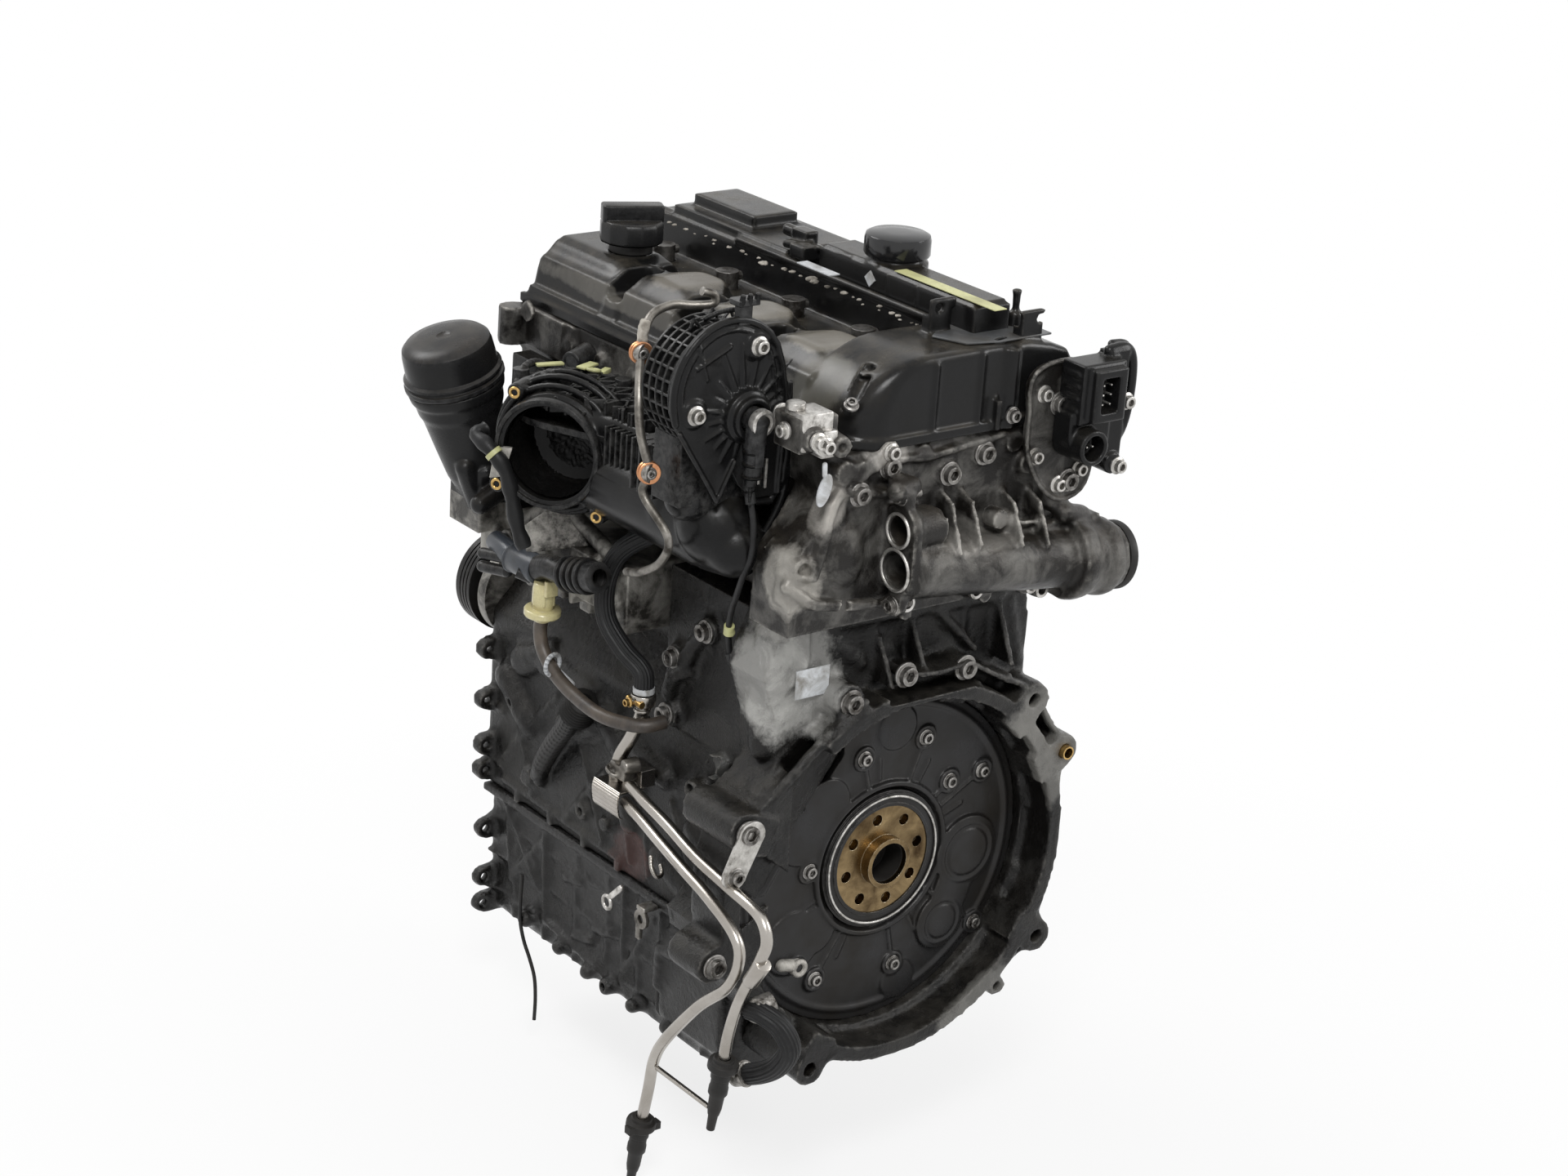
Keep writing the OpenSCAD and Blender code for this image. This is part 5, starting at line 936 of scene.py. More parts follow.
def around(angle, y, r):
    """Point on the gearbox face's circle of radius r."""
    angle = math.radians(angle)
    return (r * math.cos(angle), y, r * math.sin(angle))


def nearer(point, share):
    """Point moved towards the crank's axis, to a share of its distance."""
    return (point[0] * share, point[1], point[2] * share)


def case_extras(bm):
    """Bulges, arms, webs and ribs of the crankcase."""
    # rear-left corner: shoulder under the head, lobe that ends in a rounded tip
    capsule(bm, (-112, 10, 236), (-120, 16, 160), 21, 17)
    capsule(bm, (-120, 16, 160), (-126, 8, 126), 17, 12)
    capsule(bm, (-110, 6, 222), (-88, 2, 176), 15, 11)
    capsule(bm, (-88, 2, 176), (-92, 2, 150), 11, 12)
    chain(bm, [(-104, -6, 232), (-102, -8, 205), (-106, -9, 190), (-120, -6, 178)], 5, 3)
    # lip that carries the gearbox face on to the left
    lip = curve([(-58, -34, 166), (-80, -32, 149), (-103, -30, 132), (-119, -28, 116),
                 (-134, -24, 98), (-144, -18, 76), (-151, -10, 48), (-157, -4, 16)])
    foot = curve([(-28, 1, 132), (-47, 1, 112), (-63, 1, 90), (-75, 1, 70), (-86, 1, 52),
                  (-97, 1, 33), (-111, 1, 9), (-124, 1, -15)])
    chain(bm, lip, 5)
    for k in range(len(lip) - 1):
        prism(bm, [lip[k], lip[k + 1], foot[k + 1], foot[k]], (0, 6, 0))
    # arm of the left lug and foot of the low one
    for low, high, y0, y1 in (((-164, 60), (-118, 112), -26, 36),
                              ((-172, -66), (-118, -14), -4, 36)):
        prism(bm, [(low[0], y0, low[1] + 2), (low[0] + 4, y0, low[1] + 24),
                   (high[0], y0, high[1]), (high[0], y0, low[1] - 34)], (0, y1 - y0, 0))
    prism(bm, [(-118, 34, -20), (-150, 34, -48), (-146, 34, -66), (-118, 34, -76)], (0, 60, 0))
    bar(bm, (-108, 66, 84), (-131, 70, 84), 12, 11)
    bar(bm, (-108, 97, 52), (-131, 97, 52), 9)
    chain(bm, [(-122, 118, 152), (-125, 136, 140), (-124, 142, 122)], 7)
    chain(bm, [(-122, 92, 200), (-122, 112, 176), (-124, 120, 158)], 8)
    # webs and diagonal rib across the rear above the gearbox face
    chain(bm, [(30, -8, 224), (52, -10, 203), (75, -12, 180)], 4.5, 3.5)
    for x, top, foot in ((-30, 214, 172), (4, 222, 178), (98, 220, 168)):
        prism(bm, [(x, -4, top), (x, -12, top - 4), (x, -34, foot), (x, -4, foot)], (5, 0, 0))
    capsule(bm, (-64, -2, 228), (104, -2, 222), 9)
    capsule(bm, (-70, 0, 208), (-40, -2, 188), 8)
    capsule(bm, (116, -2, 214), (133, -2, 150), 7)
    # thin walls and floors between the lugs of the gearbox face
    for a, b, ra, rb in ((74.4, 47, 190, 193), (47, 25.3, 193, 192), (25.3, 6, 190, 170),
                         (-14, -32, 168, 192), (-32, -50, 192, 172), (-108, -119.5, 170, 190),
                         (-119.5, -134, 190, 166), (94.7, 74.4, 186, 190)):
        count = 5
        path = [around(a + (b - a) * i / count, -37,
                       ra + (rb - ra) * i / count - 7 * math.sin(math.pi * i / count))
                for i in range(count + 1)]
        for p, q in zip(path, path[1:]):
            prism(bm, [p, q, nearer(q, 0.975), nearer(p, 0.975)], (0, 30, 0))
            floor = (p, q, nearer(q, 0.9), nearer(p, 0.9))
            prism(bm, [(x, -12, z) for x, _, z in floor], (0, 8, 0))
    bar(bm, around(-50, -40, 176), around(-50, -6, 176), 9)
    # left wall: bulges, pipe stub, crossing ribs
    for a, b, r, end in (((-112, 372, 66), (-112, 330, 88), 17, 13),
                         ((-113, 330, 78), (-113, 268, 74), 16, 15),
                         ((-112, 400, 40), (-113, 360, 6), 15, 13),
                         ((-112, 240, 60), (-113, 200, 30), 16, 14),
                         ((-113, 196, -20), (-113, 214, 30), 14, 12),
                         ((-114, 150, 40), (-114, 196, 52), 13, 12),
                         ((-114, 100, 10), (-113, 66, -20), 15, 18),
                         ((-113, 110, -52), (-114, 150, -34), 14, 13),
                         ((-112, 300, 30), (-112, 262, 46), 16, 14)):
        capsule(bm, a, b, r, end)
    for a, b in (((400, 56), (352, -58)), ((400, -40), (318, 52)), ((352, -58), (298, 20)),
                 ((300, 62), (238, -58)), ((298, -60), (240, 8)), ((230, 70), (196, -60)),
                 ((188, 64), (168, -62)), ((400, -62), (210, -64)), ((140, 20), (90, -60))):
        capsule(bm, (-116.5, a[0], a[1]), (-116.5, b[0], b[1]), 3)
    chain(bm, [(-118, 300, 26), (-127, 312, 4), (-127, 326, -22), (-120, 334, -36)], 9, 7)
    for y, z, r in ((356, -42, 9), (268, -40, 8), (232, -38, 7), (382, 22, 8), (286, 64, 9)):
        bar(bm, (-110, y, z), (-122, y, z), r + 1, r)


def case_holes():
    """Dark openings of the crankcase: a square one, a ringed one and hollow lugs."""
    cutter = bmesh.new()
    square = [(-121, 62, 74), (-121, 80, 76), (-121, 79, 94), (-121, 61, 92)]
    prism(cutter, square, (-20, 0, 0))
    bar(cutter, (-122, 97, 52), (-140, 97, 52), 5.5)
    for angle in HOLLOW_LUGS:
        bar(cutter, around(angle, -44, 182), around(angle, -5, 182), 6)
    bar(cutter, around(-50, -44, 176), around(-50, -10, 176), 4)
    for y, z in ((268, -40), (382, 22)):
        bar(cutter, (-115, y, z), (-130, y, z), 4)
    return cutter


def sump_extras(bm):
    """Ribs, ears and the raised rear corner of the sump."""
    for a, b in (((396, -88), (388, -160)), ((396, -90), (340, -152)), ((388, -160), (330, -90)),
                 ((334, -90), (330, -176)), ((330, -176), (210, -192)), ((206, -92), (204, -186)),
                 ((206, -180), (160, -100)), ((150, -92), (148, -186))):
        capsule(bm, (-113, a[0], a[1]), (-111.5, b[0], b[1]), 3.2)
    prism(bm, [(-112, 44, -92), (-124, 44, -100), (-122, 44, -178), (-106, 44, -196)], (0, 92, 0))
    chain(bm, [(-118, 48, -96), (-126, 70, -104), (-126, 130, -112), (-122, 136, -150)], 6)
    for y, z, r in ((352, -184, 9), (218, -192, 9), (298, -190, 7), (250, -192, 8),
                    (180, -194, 7), (126, -190, 8)):
        capsule(bm, (-108, y, z), (-117, y, z), r)
    for y, z in ((300, -120), (250, -150), (280, -170)):
        capsule(bm, (-111, y, z), (-111, y - 26, z + 6), 5)


def sump_holes():
    """Bolt holes in two of the sump's ears."""
    cutter = bmesh.new()
    for y, z in ((352, -184), (218, -192)):
        bar(cutter, (-110, y, z), (-135, y, z), 4)
    return cutter


def end_cover_extras(bm):
    """Round pads, screw surrounds, ribs and a tab on the end cover."""
    for x, z, r in ((-88, -58, 29), (-84, 38, 25), (8, 118, 20), (30, -122, 18)):
        bar(bm, (x, 2, z), (x, -2.6, z), r)
    for x, z in SCREW_SPOTS:
        ring(bm, (x, -2, z), (0, 1, 0), 9.5, 2, 24)
        towards = Vector((x, 0, z)).normalized()
        capsule(bm, (x - 8 * towards.x, -1, z - 8 * towards.z),
                (66 * towards.x, -1, 66 * towards.z), 2.2)
    ring(bm, (95, -5, -15), (0, 1, 0), 27, 1.6, 48)
    ring(bm, (72, -5, -76), (0, 1, 0), 20, 1.6, 48)
    ring(bm, (0, -2, 0), (0, 1, 0), 68, 3, 64)
    for angle in (150, 200, 245, 300, 335, 20, 60, 95):
        capsule(bm, around(angle, 0, 74), around(angle, 0, 92), 2)


def make_case():
    """Cast block, sump and end cover."""
    # the plain walls that are cleared get their ribs and bulges drawn anew
    left_wall = ((-150, 62, -66), (-115.5, 404, 88))
    rear_webs = ((-36, -40, 160), (104, -8.5, 236))
    sump_wall = ((-135, 64, -209), (-112.5, 414, -86))
    skin("crankcase", 2.0, 0.24, case_extras, boxes(left_wall, rear_webs), case_holes(), (0.7, 7))
    skin("sump", 2.2, 0.22, sump_extras, boxes(sump_wall), sump_holes(), (0.8, 8))
    skin("timing_end_cover", 1.1, 0.25, end_cover_extras)


def make_case_fittings():
    """Link plate, label, rim of the rear seal, a dark sleeve that paints the pilot bore's
    shade, dowel and a cast tab.
    """
    link = bmesh.new()
    prism(link, [(-163 + 13 * math.cos(a), -30.2, 72 + 13 * math.sin(a)) for a in
                 (math.radians(20 * k - 10) for k in range(10))]
          + [(-178 + 12 * math.cos(a), -30.2, 40 + 12 * math.sin(a)) for a in
             (math.radians(20 * k + 170) for k in range(10))], (0, -4, 0))
    rounded(link, 1.2)
    piece("link_plate", link, ZINC, "crankcase")
    bm = bmesh.new()
    bolt(bm, (-178, -34, 40), (0, -1, 0), 8, 6)
    fitting("link_bolt", bm, "fastener_steel", "crankcase")
    label = bmesh.new()
    block(label, (-114, -13.8, 172), (-80, -12.6, 197))
    piece("case_label", rounded(label, 0.4), LABEL_WHITE, "crankcase")
    lip_ring = bmesh.new()
    ring(lip_ring, (0, -5.4, 0), (0, 1, 0), 57.5, 1.1, 96)
    piece("seal_rim", lip_ring, ZINC, "rear_seal")
    # dark rubber sleeve lining the crank's pilot bore: painted shade that stands for the bore's
    # shadow
    sleeve = bmesh.new()
    turned(sleeve, [(0, -13.9), (0, -13), (17.9, -13), (17.9, 9), (18.3, 9), (18.3, -13.9)],
           (0, 0, 0), (0, -1, 0), 48)
    fitting("pilot_bore_shade", sleeve, "seal_rubber", "crankshaft")
    dowel = bmesh.new()
    turned(dowel, [(4.6, -41), (4.6, -45), (5.9, -45), (5.9, -30)], (164.5, 0, 77.8),
           (0, 1, 0), 28)
    fitting("dowel", dowel, "brass", "crankcase")
    tab = bmesh.new()
    capsule(tab, (-100, -4, -74), (-90, -5, -76), 5.5)
    ring(tab, (-84, -8, -79), (0, 1, 0), 6, 2.4, 28)
    bar(tab, (-84, -2, -79), (-84, -6, -79), 8)
    fitting("cover_tab", tab, "clean_aluminium", "timing_end_cover")


# --- cylinder head ------------------------------------------------------------------------

HEAD_EARS = ((-36, 254), (36, 252), (96, 246), (108, 240))
UPPER_PORT, LOWER_PORT = (-56.8, -56, 321), (-56.8, -56, 288)
TUBE_AT, TUBE_DROOP = (-46, -56, 287), math.radians(6.7)
TUBE_WAY = (math.cos(TUBE_DROOP), 0, -math.sin(TUBE_DROOP))


def head_extras(bm):
    """Fins, bosses, slopes and lips of the rough rear casting."""
    for x, high, low in ((-8, 338, 296), (13, 336, 300), (58, 328, 292), (86, 325, 288)):
        prism(bm, [(x + 4, -38, high + 6), (x + 3, -58, high - 2), (x - 1, -78, low + 4),
                   (x - 3, -70, low - 14), (x, -38, low - 14)], (4.4, 0, 0))
    capsule(bm, (58, -58, 309), (88, -60, 306), 2.6)
    bar(bm, (48, -44, 314), (48, -60, 314), 8.5)
    bar(bm, (-47, -60, 326), (-18, -58, 325), 10.5, 10)
    capsule(bm, (-56, -48, 361), (-40, -47, 355), 7, 6)
    capsule(bm, (-60, -56, 354), (-44, -54, 356), 9, 8)
    bar(bm, (-62, -40, 384), (-62, -46, 384), 9)
    # wall that slopes out from the port flange to the corner over the gasket
    prism(bm, [(-98, -40, 352), (-112, -40, 352), (-127, -40, 326), (-147, -40, 302),
               (-150, -40, 284), (-148, -40, 262), (-98, -40, 262)], (0, 49, 0))
    chain(bm, [(-104, -40, 356), (-114, -42, 346), (-122, -44, 320), (-131, -45, 292)], 5, 6)
    chain(bm, [(-60, -42, 348), (-84, -43, 352), (-106, -41, 356)], 4)
    chain(bm, [(-150, -38, 284), (-128, -46, 268), (-100, -48, 263), (-60, -47, 259),
               (-20, -46, 257), (30, -44, 256), (84, -42, 254), (122, -40, 252)], 5.5, 4)
    bar(bm, (-138, -44, 298), (-138, -4, 306), 10)
    bar(bm, (-140, -28, 268), (-140, -28, 296), 12, 11)
    ball(bm, (-96, -38, 300), 20, (1, 0.5, 1.4))
    for x, z, r, deep in ((-113, 396, 9, -50), (-137, 404, 10, -46), (-88, 371, 9, -46),
                          (-76, 376, 8, -47), (-104, 372, 10, -46), (-24, 376, 8, -43),
                          (70, 372, 9, -44), (86, 352, 10, -46)):
        bar(bm, (x, -30, z), (x, deep, z), r + 1, r)
    block(bm, (-148, -40, 392), (-112, -6, 421))
    chain(bm, [(-98, -40, 366), (-60, -42, 376), (-20, -42, 372), (60, -42, 380)], 3.4)
    for x, z in HEAD_EARS:
        bar(bm, (x, -34, z), (x, -50, z), 8)
    # big flange and lumps at the end of the tube
    turned(bm, [(0, 168), (33, 168), (35, 172), (35, 182), (32, 185), (30, 198), (33, 202),
                (33, 212), (27, 215), (0, 216)], TUBE_AT, TUBE_WAY, 48)
    capsule(bm, (118, -56, 308), (142, -52, 300), 9)
    capsule(bm, (110, -48, 318), (134, -44, 334), 10)
    for y in (40, 62, 110, 156, 204, 250, 298, 344, 390):
        bar(bm, (-92, y, 366), (-104, y, 366), 8, 7)
    capsule(bm, (-99, 30, 352), (-99, 416, 352), 4)
    bar(bm, (-112, 420, 350), (-112, 420, 384), 12)
    bar(bm, (-108, 398, 384), (-112, 398, 384), 10)


def head_holes():
    """Openings of the tube, of ears and of bosses in the rear of the head."""
    cutter = bmesh.new()
    bar(cutter, (-66, -56, 321), (-30, -56, 321), 12)
    bar(cutter, (-66, -56, 288), (0, -56, 288), 15)
    for x, z in HEAD_EARS:
        bar(cutter, (x, -54, z), (x, -38, z), 4.2)
    bar(cutter, (-138, -50, 298), (-138, -36, 299), 5)
    bar(cutter, (-100, -56, 262), (-100, -40, 264), 5)
    ball(cutter, (-62, -46, 268), 8)
    for x, z in ((-113, 396), (-88, 371)):
        bar(cutter, (x, -56, z), (x, -44, z), 4)
    return cutter


def make_head():
    """Rough head casting with bright port rims, a bracket, bolts and a tag."""
    webs_over_tube = ((-24, -70, 311), (100, -39, 345))
    skin("cylinder_head", 2.0, 0.26, head_extras, boxes(webs_over_tube), head_holes(), (0.6, 8))
    rims = bmesh.new()
    ring(rims, UPPER_PORT, (1, 0, 0), 13.6, 1.5, 40)
    ring(rims, LOWER_PORT, (1, 0, 0), 16.8, 1.5, 40)
    for x, z in HEAD_EARS:
        turned(rims, [(4.2, -44), (4.2, -52), (6.8, -52), (6.8, -44)], (x, 0, z), (0, 1, 0), 28)
    piece("port_rims", rims, ZINC, "cylinder_head")
    bm = bmesh.new()
    block(bm, (-147, -42, 394), (-118, -16, 424))
    block(bm, (-131, -46, 388), (-116, -30, 410))
    bar(bm, (-131, -41, 400), (-131, -50, 400), 9)
    bar(bm, (-142, -24, 424), (-142, -24, 430), 8)
    piece("rail_bracket", rounded(bm, 1.6), ZINC, "cylinder_head")
    bolts = bmesh.new()
    for at in ((-131, -50, 400), (-62, -46, 384), (-137, -48, 404)):
        bolt(bolts, at, (0, -1, 0), 7.5, 7)
    bolt(bolts, (-151, -24, 408), (-1, 0, 0), 7, 6)
    piece("head_bolts", bolts, ZINC, "cylinder_head")
    tag = bmesh.new()
    prism(tag, [(-129 + 6.5 * math.cos(a) + 3 * math.sin(a), -50.5, 364 + 13 * math.sin(a))
                for a in (math.radians(20 * k) for k in range(18))][::-1], (0, 1.4, 0))
    capsule(tag, (-129, -49, 376), (-128, -47, 384), 2)
    piece("white_tag", tag, LABEL_WHITE, "cylinder_head")


# --- intake side --------------------------------------------------------------------------

INLET_AT = Vector((-207, 217, 322))
INLET_WAY = Vector((-0.848, -0.53, 0))
INLET_SIDE = Vector((-0.53, 0.848, 0))
DRUM_X, DRUM_Z, DRUM_R = -174, 430, 52
CHAMBER_SCREWS = ((-150, 464), (-207, 416), (-125, 407))
HUB = Vector((-158, 19, 409))
BORE_R, BORE_DEEP = 42.5, 66
INSERTS = ((-214, 255, 366), (-172, 187, 338), (-173, 189, 272), (-224, 262, 286))


def plenum_ring(z, inset):
    """Plan of the plenum at height z, with rounded corners, drawn in by inset."""
    corners = ((-112, 114, 6), (-112, 298, 18), (-196, 296, 30), (-206, 250, 26), (-172, 180, 8),
               (-166, 114, 6))
    middle = Vector((-150, 210, 0))
    points = []
    for i, (x, y, r) in enumerate(corners):
        here = Vector((x, y, 0))
        back = (Vector((*corners[i - 1][:2], 0)) - here).normalized()
        on = (Vector((*corners[(i + 1) % 6][:2], 0)) - here).normalized()
        for k in range(5):
            t = k / 4
            point = here + back * r * (1 - t) ** 2 + on * r * t ** 2
            inward = (middle - point).normalized()
            points.append(point + inward * inset + Vector((0, 0, z)))
    return points


def crossing(a, way, outline):
    """The two places where a line through a along way crosses a convex outline."""
    found = []
    for p, q in zip(outline, outline[1:] + outline[:1]):
        edge = q - p
        cross = way.x * edge.y - way.y * edge.x
        if abs(cross) > 1e-6:
            gap = p - a
            t = (gap.x * edge.y - gap.y * edge.x) / cross
            s = (gap.x * way.y - gap.y * way.x) / cross
            if 0 <= s <= 1:
                found.append(t)
    return (a + way * min(found), a + way * max(found)) if len(found) > 1 else None


def make_manifold():
    """Plenum with rounded corners, runner barrel, double-rimmed neck."""
    bm = bmesh.new()
    levels = ((286, 10), (288, 4), (292, 1), (298, 0), (340, 0), (350, 1), (356, 4), (360, 9))
    lofted(bm, [plenum_ring(z, inset) for z, inset in levels])
    block(bm, (-124, 44, 296), (-104, 400, 348))
    for y in (92, 186, 280, 374):
        bar(bm, (-112, y, 322), (-98.2, y, 322), 22)
    capsule(bm, (-152, 62, 302), (-152, 290, 302), 34, sides=40)
    for y, z, r in ((48, 310, 34), (96, 306, 31)):
        ball(bm, (-156, y, z), r)
    capsule(bm, (-150, 30, 296), (-146, 60, 292), 26, 28)
    bar(bm, INLET_AT - INLET_WAY * 44, INLET_AT - INLET_WAY * 2, 46, 44.5, 64)
    for back, r, thick in ((22, 53, 3.2), (33, 58, 3.4), (42, 60, 3)):
        ring(bm, INLET_AT - INLET_WAY * back, INLET_WAY, r, thick, 72)
    for at in INSERTS:
        out = Vector(at) - INLET_AT
        out -= out.dot(INLET_WAY) * INLET_WAY
        foot = INLET_AT - INLET_WAY * 26 + out.normalized() * 44
        bar(bm, Vector(at) + INLET_WAY * 1, Vector(at) - INLET_WAY * 26, 7.5)
        capsule(bm, foot, Vector(at) - INLET_WAY * 14, 5)
    bore = bmesh.new()
    bar(bore, INLET_AT - INLET_WAY * BORE_DEEP, INLET_AT + INLET_WAY * 10, BORE_R, sides=64)
    bm = cast(bm, 1.5, 2, 0.3, bore)
    stand_in("manifold_body", bm, "intake_manifold", CAST_CREASE)


def make_lattice():
    """Crossing ribs, upright ribs and studs on top of the plenum."""
    lattice = bmesh.new()
    outline = plenum_ring(0, 7)
    for turn in (0.0, 38.0, -38.0):
        way = Vector((math.cos(math.radians(turn + 8)), math.sin(math.radians(turn + 8)), 0))
        side = Vector((-way.y, way.x, 0))
        for k in range(-8, 9):
            ends = crossing(Vector((-150, 210, 0)) + side * 17 * k, way, outline)
            if ends:
                a, b = ends
                corners = [a + side * 1.2, b + side * 1.2, b - side * 1.2, a - side * 1.2]
                prism(lattice, [(p.x, p.y, 352) for p in corners], (0, 0, 17.5))
    for k in range(9):
        y = 120 + 6.6 * k
        x = -166.5 - 0.11 * max(0, y - 120)
        block(lattice, (x - 7, y, 291), (x + 2, y + 2.6, 356))
    lofted(lattice, [[p + Vector((0, 0, z)) for p in ring_points] for z, ring_points in
                     ((338, plenum_ring(0, -2.2)), (344, plenum_ring(0, -2.2)))])
    bar(lattice, (-182, 252, 350), (-182, 252, 379), 9, 8.4, 12)
    bar(lattice, (-182, 252, 376), (-182, 252, 382), 5, 4, 12)
    for x, y in ((-124, 150), (-124, 230), (-186, 290)):
        bar(lattice, (x, y, 348), (x, y, 373), 8, 7)
    piece("manifold_lattice", rounded(lattice, 0.4, 1), FINISH["intake_plastic"],
          "intake_manifold")


def make_neck():
    """Double-rimmed mouth of the intake, with oil sludge inside."""
    neck = bmesh.new()
    turned(neck, [(0, -65), (20, -64), (38, -58), (40.5, -46), (40.5, -4), (43.5, -3),
                  (43.5, 0), (46.5, 0), (47.6, -2), (47.6, -6), (44.5, -8), (44.5, -14),
                  (48, -16), (49, -19), (48, -22), (44, -24), (44, -60), (30, -68), (0, -68)],
           INLET_AT, INLET_WAY, 96)
    for k in range(10):
        angle = 2 * math.pi * k / 10
        out = Vector((0, 0, 1)) * math.cos(angle) + INLET_SIDE * math.sin(angle)
        at = INLET_AT - INLET_WAY * 12 + out * 45
        capsule(neck, at + INLET_WAY * 5, at - INLET_WAY * 7, 1.5, sides=8)
    piece("inlet_neck", neck, FINISH["intake_plastic"], "intake_manifold", crease=40)
    wet = bmesh.new()
    turned(wet, [(40.2, -9), (40.2, -56), (37, -62.5), (0, -64)]
           + [(r, -61.5) for r in steps(0, 35, 1.6)]
           + [(39, d) for d in steps(-56, -10, 1.6)], INLET_AT, INLET_WAY, 160)
    piece("inlet_sludge", roughened(wet, 1.1, 2.6), SLUDGE, "intake_manifold", crease=60)


def make_inserts():
    """Threaded brass inserts, paper tags on the plenum and its rear stub."""
    brass = bmesh.new()
    for at in INSERTS:
        turned(brass, [(2.6, -10), (2.6, 1.6), (3.2, 2.2), (4.8, 2.2), (5.2, 1.6), (5.2, -10)],
               at, INLET_WAY, 24)
    stand_in("brass_rings", brass, "brass_inserts")
    pin = bmesh.new()
    for at in INSERTS:
        bar(pin, Vector(at) - INLET_WAY * 10, Vector(at) - INLET_WAY * 3, 3.2)
    piece("insert_bottoms", pin, FINISH["seal_rubber"], "brass_inserts")
    clutter = bmesh.new()
    for low, high, turn in (((-140, 270, 371), (-120, 279, 373), 20),
                            ((-170, 286, 372), (-146, 293, 374), -14),
                            ((-126, 262, 366), (-112, 268, 370), 30)):
        verts = block(clutter, low, high)
        middle = (Vector(low) + Vector(high)) / 2
        bmesh.ops.rotate(clutter, verts=verts, cent=middle,
                         matrix=Matrix.Rotation(math.radians(turn), 3, "Z"))
    ring(clutter, (-132, 262, 372), (0.2, 0.1, 1), 5, 1.6, 28)
    piece("yellow_tags", rounded(clutter, 0.4), LABEL_YELLOW, "intake_manifold")
    rear = bmesh.new()
    bar(rear, (-126, 304, 366), (-104, 312, 370), 9)
    ring(rear, (-126, 304, 366), (1, 0.3, 0), 8, 1.6, 28)
    chain(rear, curve([(-150, 290, 362), (-162, 300, 372), (-182, 292, 372), (-196, 284, 356)]),
          3.4)
    fitting("rear_stub", rear, "cap_plastic", "intake_manifold")


def drum_outline():
    """Front outline of the chamber cover, as (x, z) pairs: domed top, flat right side."""
    points = [(DRUM_X + (DRUM_R + 1) * math.cos(math.radians(a)),
               DRUM_Z + (DRUM_R + 5) * math.sin(math.radians(a))) for a in range(200, 40, -8)]
    return points + [(-131, 462), (-125, 446), (-121, 425), (-118, 400), (-115, 372), (-117, 350),
                     (-128, 334), (-144, 336), (-160, 352), (-168, 366), (-180, 338), (-192, 362),
                     (-208, 388), (-221, 404)]


def make_chamber():
    """Ribbed drum with its screw bosses, shield and clips."""
    drum = bmesh.new()
    bar(drum, (DRUM_X, 24, DRUM_Z), (DRUM_X, 62, DRUM_Z), DRUM_R - 6, sides=64)
    for k in range(5):
        y = 27 + 8.6 * k
        turned(drum, [(DRUM_R - 10, y), (DRUM_R - 1, y), (DRUM_R - 1, y + 2),
                      (DRUM_R - 10, y + 2)], (DRUM_X, 0, DRUM_Z), (0, 1, 0), 72)
    for k in range(30):
        angle = 2 * math.pi * k / 30
        out = Vector((math.cos(angle), 0, math.sin(angle)))
        side = Vector((-out.z, 0, out.x)) * 1.1
        at = Vector((DRUM_X, 25, DRUM_Z))
        prism(drum, [at + out * 40 + side, at + out * (DRUM_R - 1.5) + side,
                     at + out * (DRUM_R - 1.5) - side, at + out * 40 - side], (0, 37, 0))
    block(drum, (-208, 30, 336), (-128, 66, 392))
    block(drum, (-200, 62, 338), (-130, 104, 372))
    for y in (70, 80, 90, 100):
        block(drum, (-204, y, 330), (-190, y + 2.6, 372))
    capsule(drum, (-190, 46, 336), (-150, 46, 334), 17)
    for x, z in CHAMBER_SCREWS:
        bar(drum, (x, 22, z), (x, 44, z), 9)
    for k in range(4):
        angle = math.radians(112 - 22 * k)
        out = Vector((math.cos(angle), 0, math.sin(angle)))
        at = Vector((DRUM_X, 40 + 6 * k, DRUM_Z)) + out * (DRUM_R + 1)
        chain(drum, [at + Vector((-5, 0, -2)), at + out * 5, at + Vector((5, 0, -2))], 1.5,
              sides=8)
    chain(drum, curve([(-182, 44, 482), (-172, 40, 487), (-166, 30, 491), (-158, 24, 490)]), 2)
    stand_in("drum", rounded(drum, 0.4, 1), "upper_chamber")


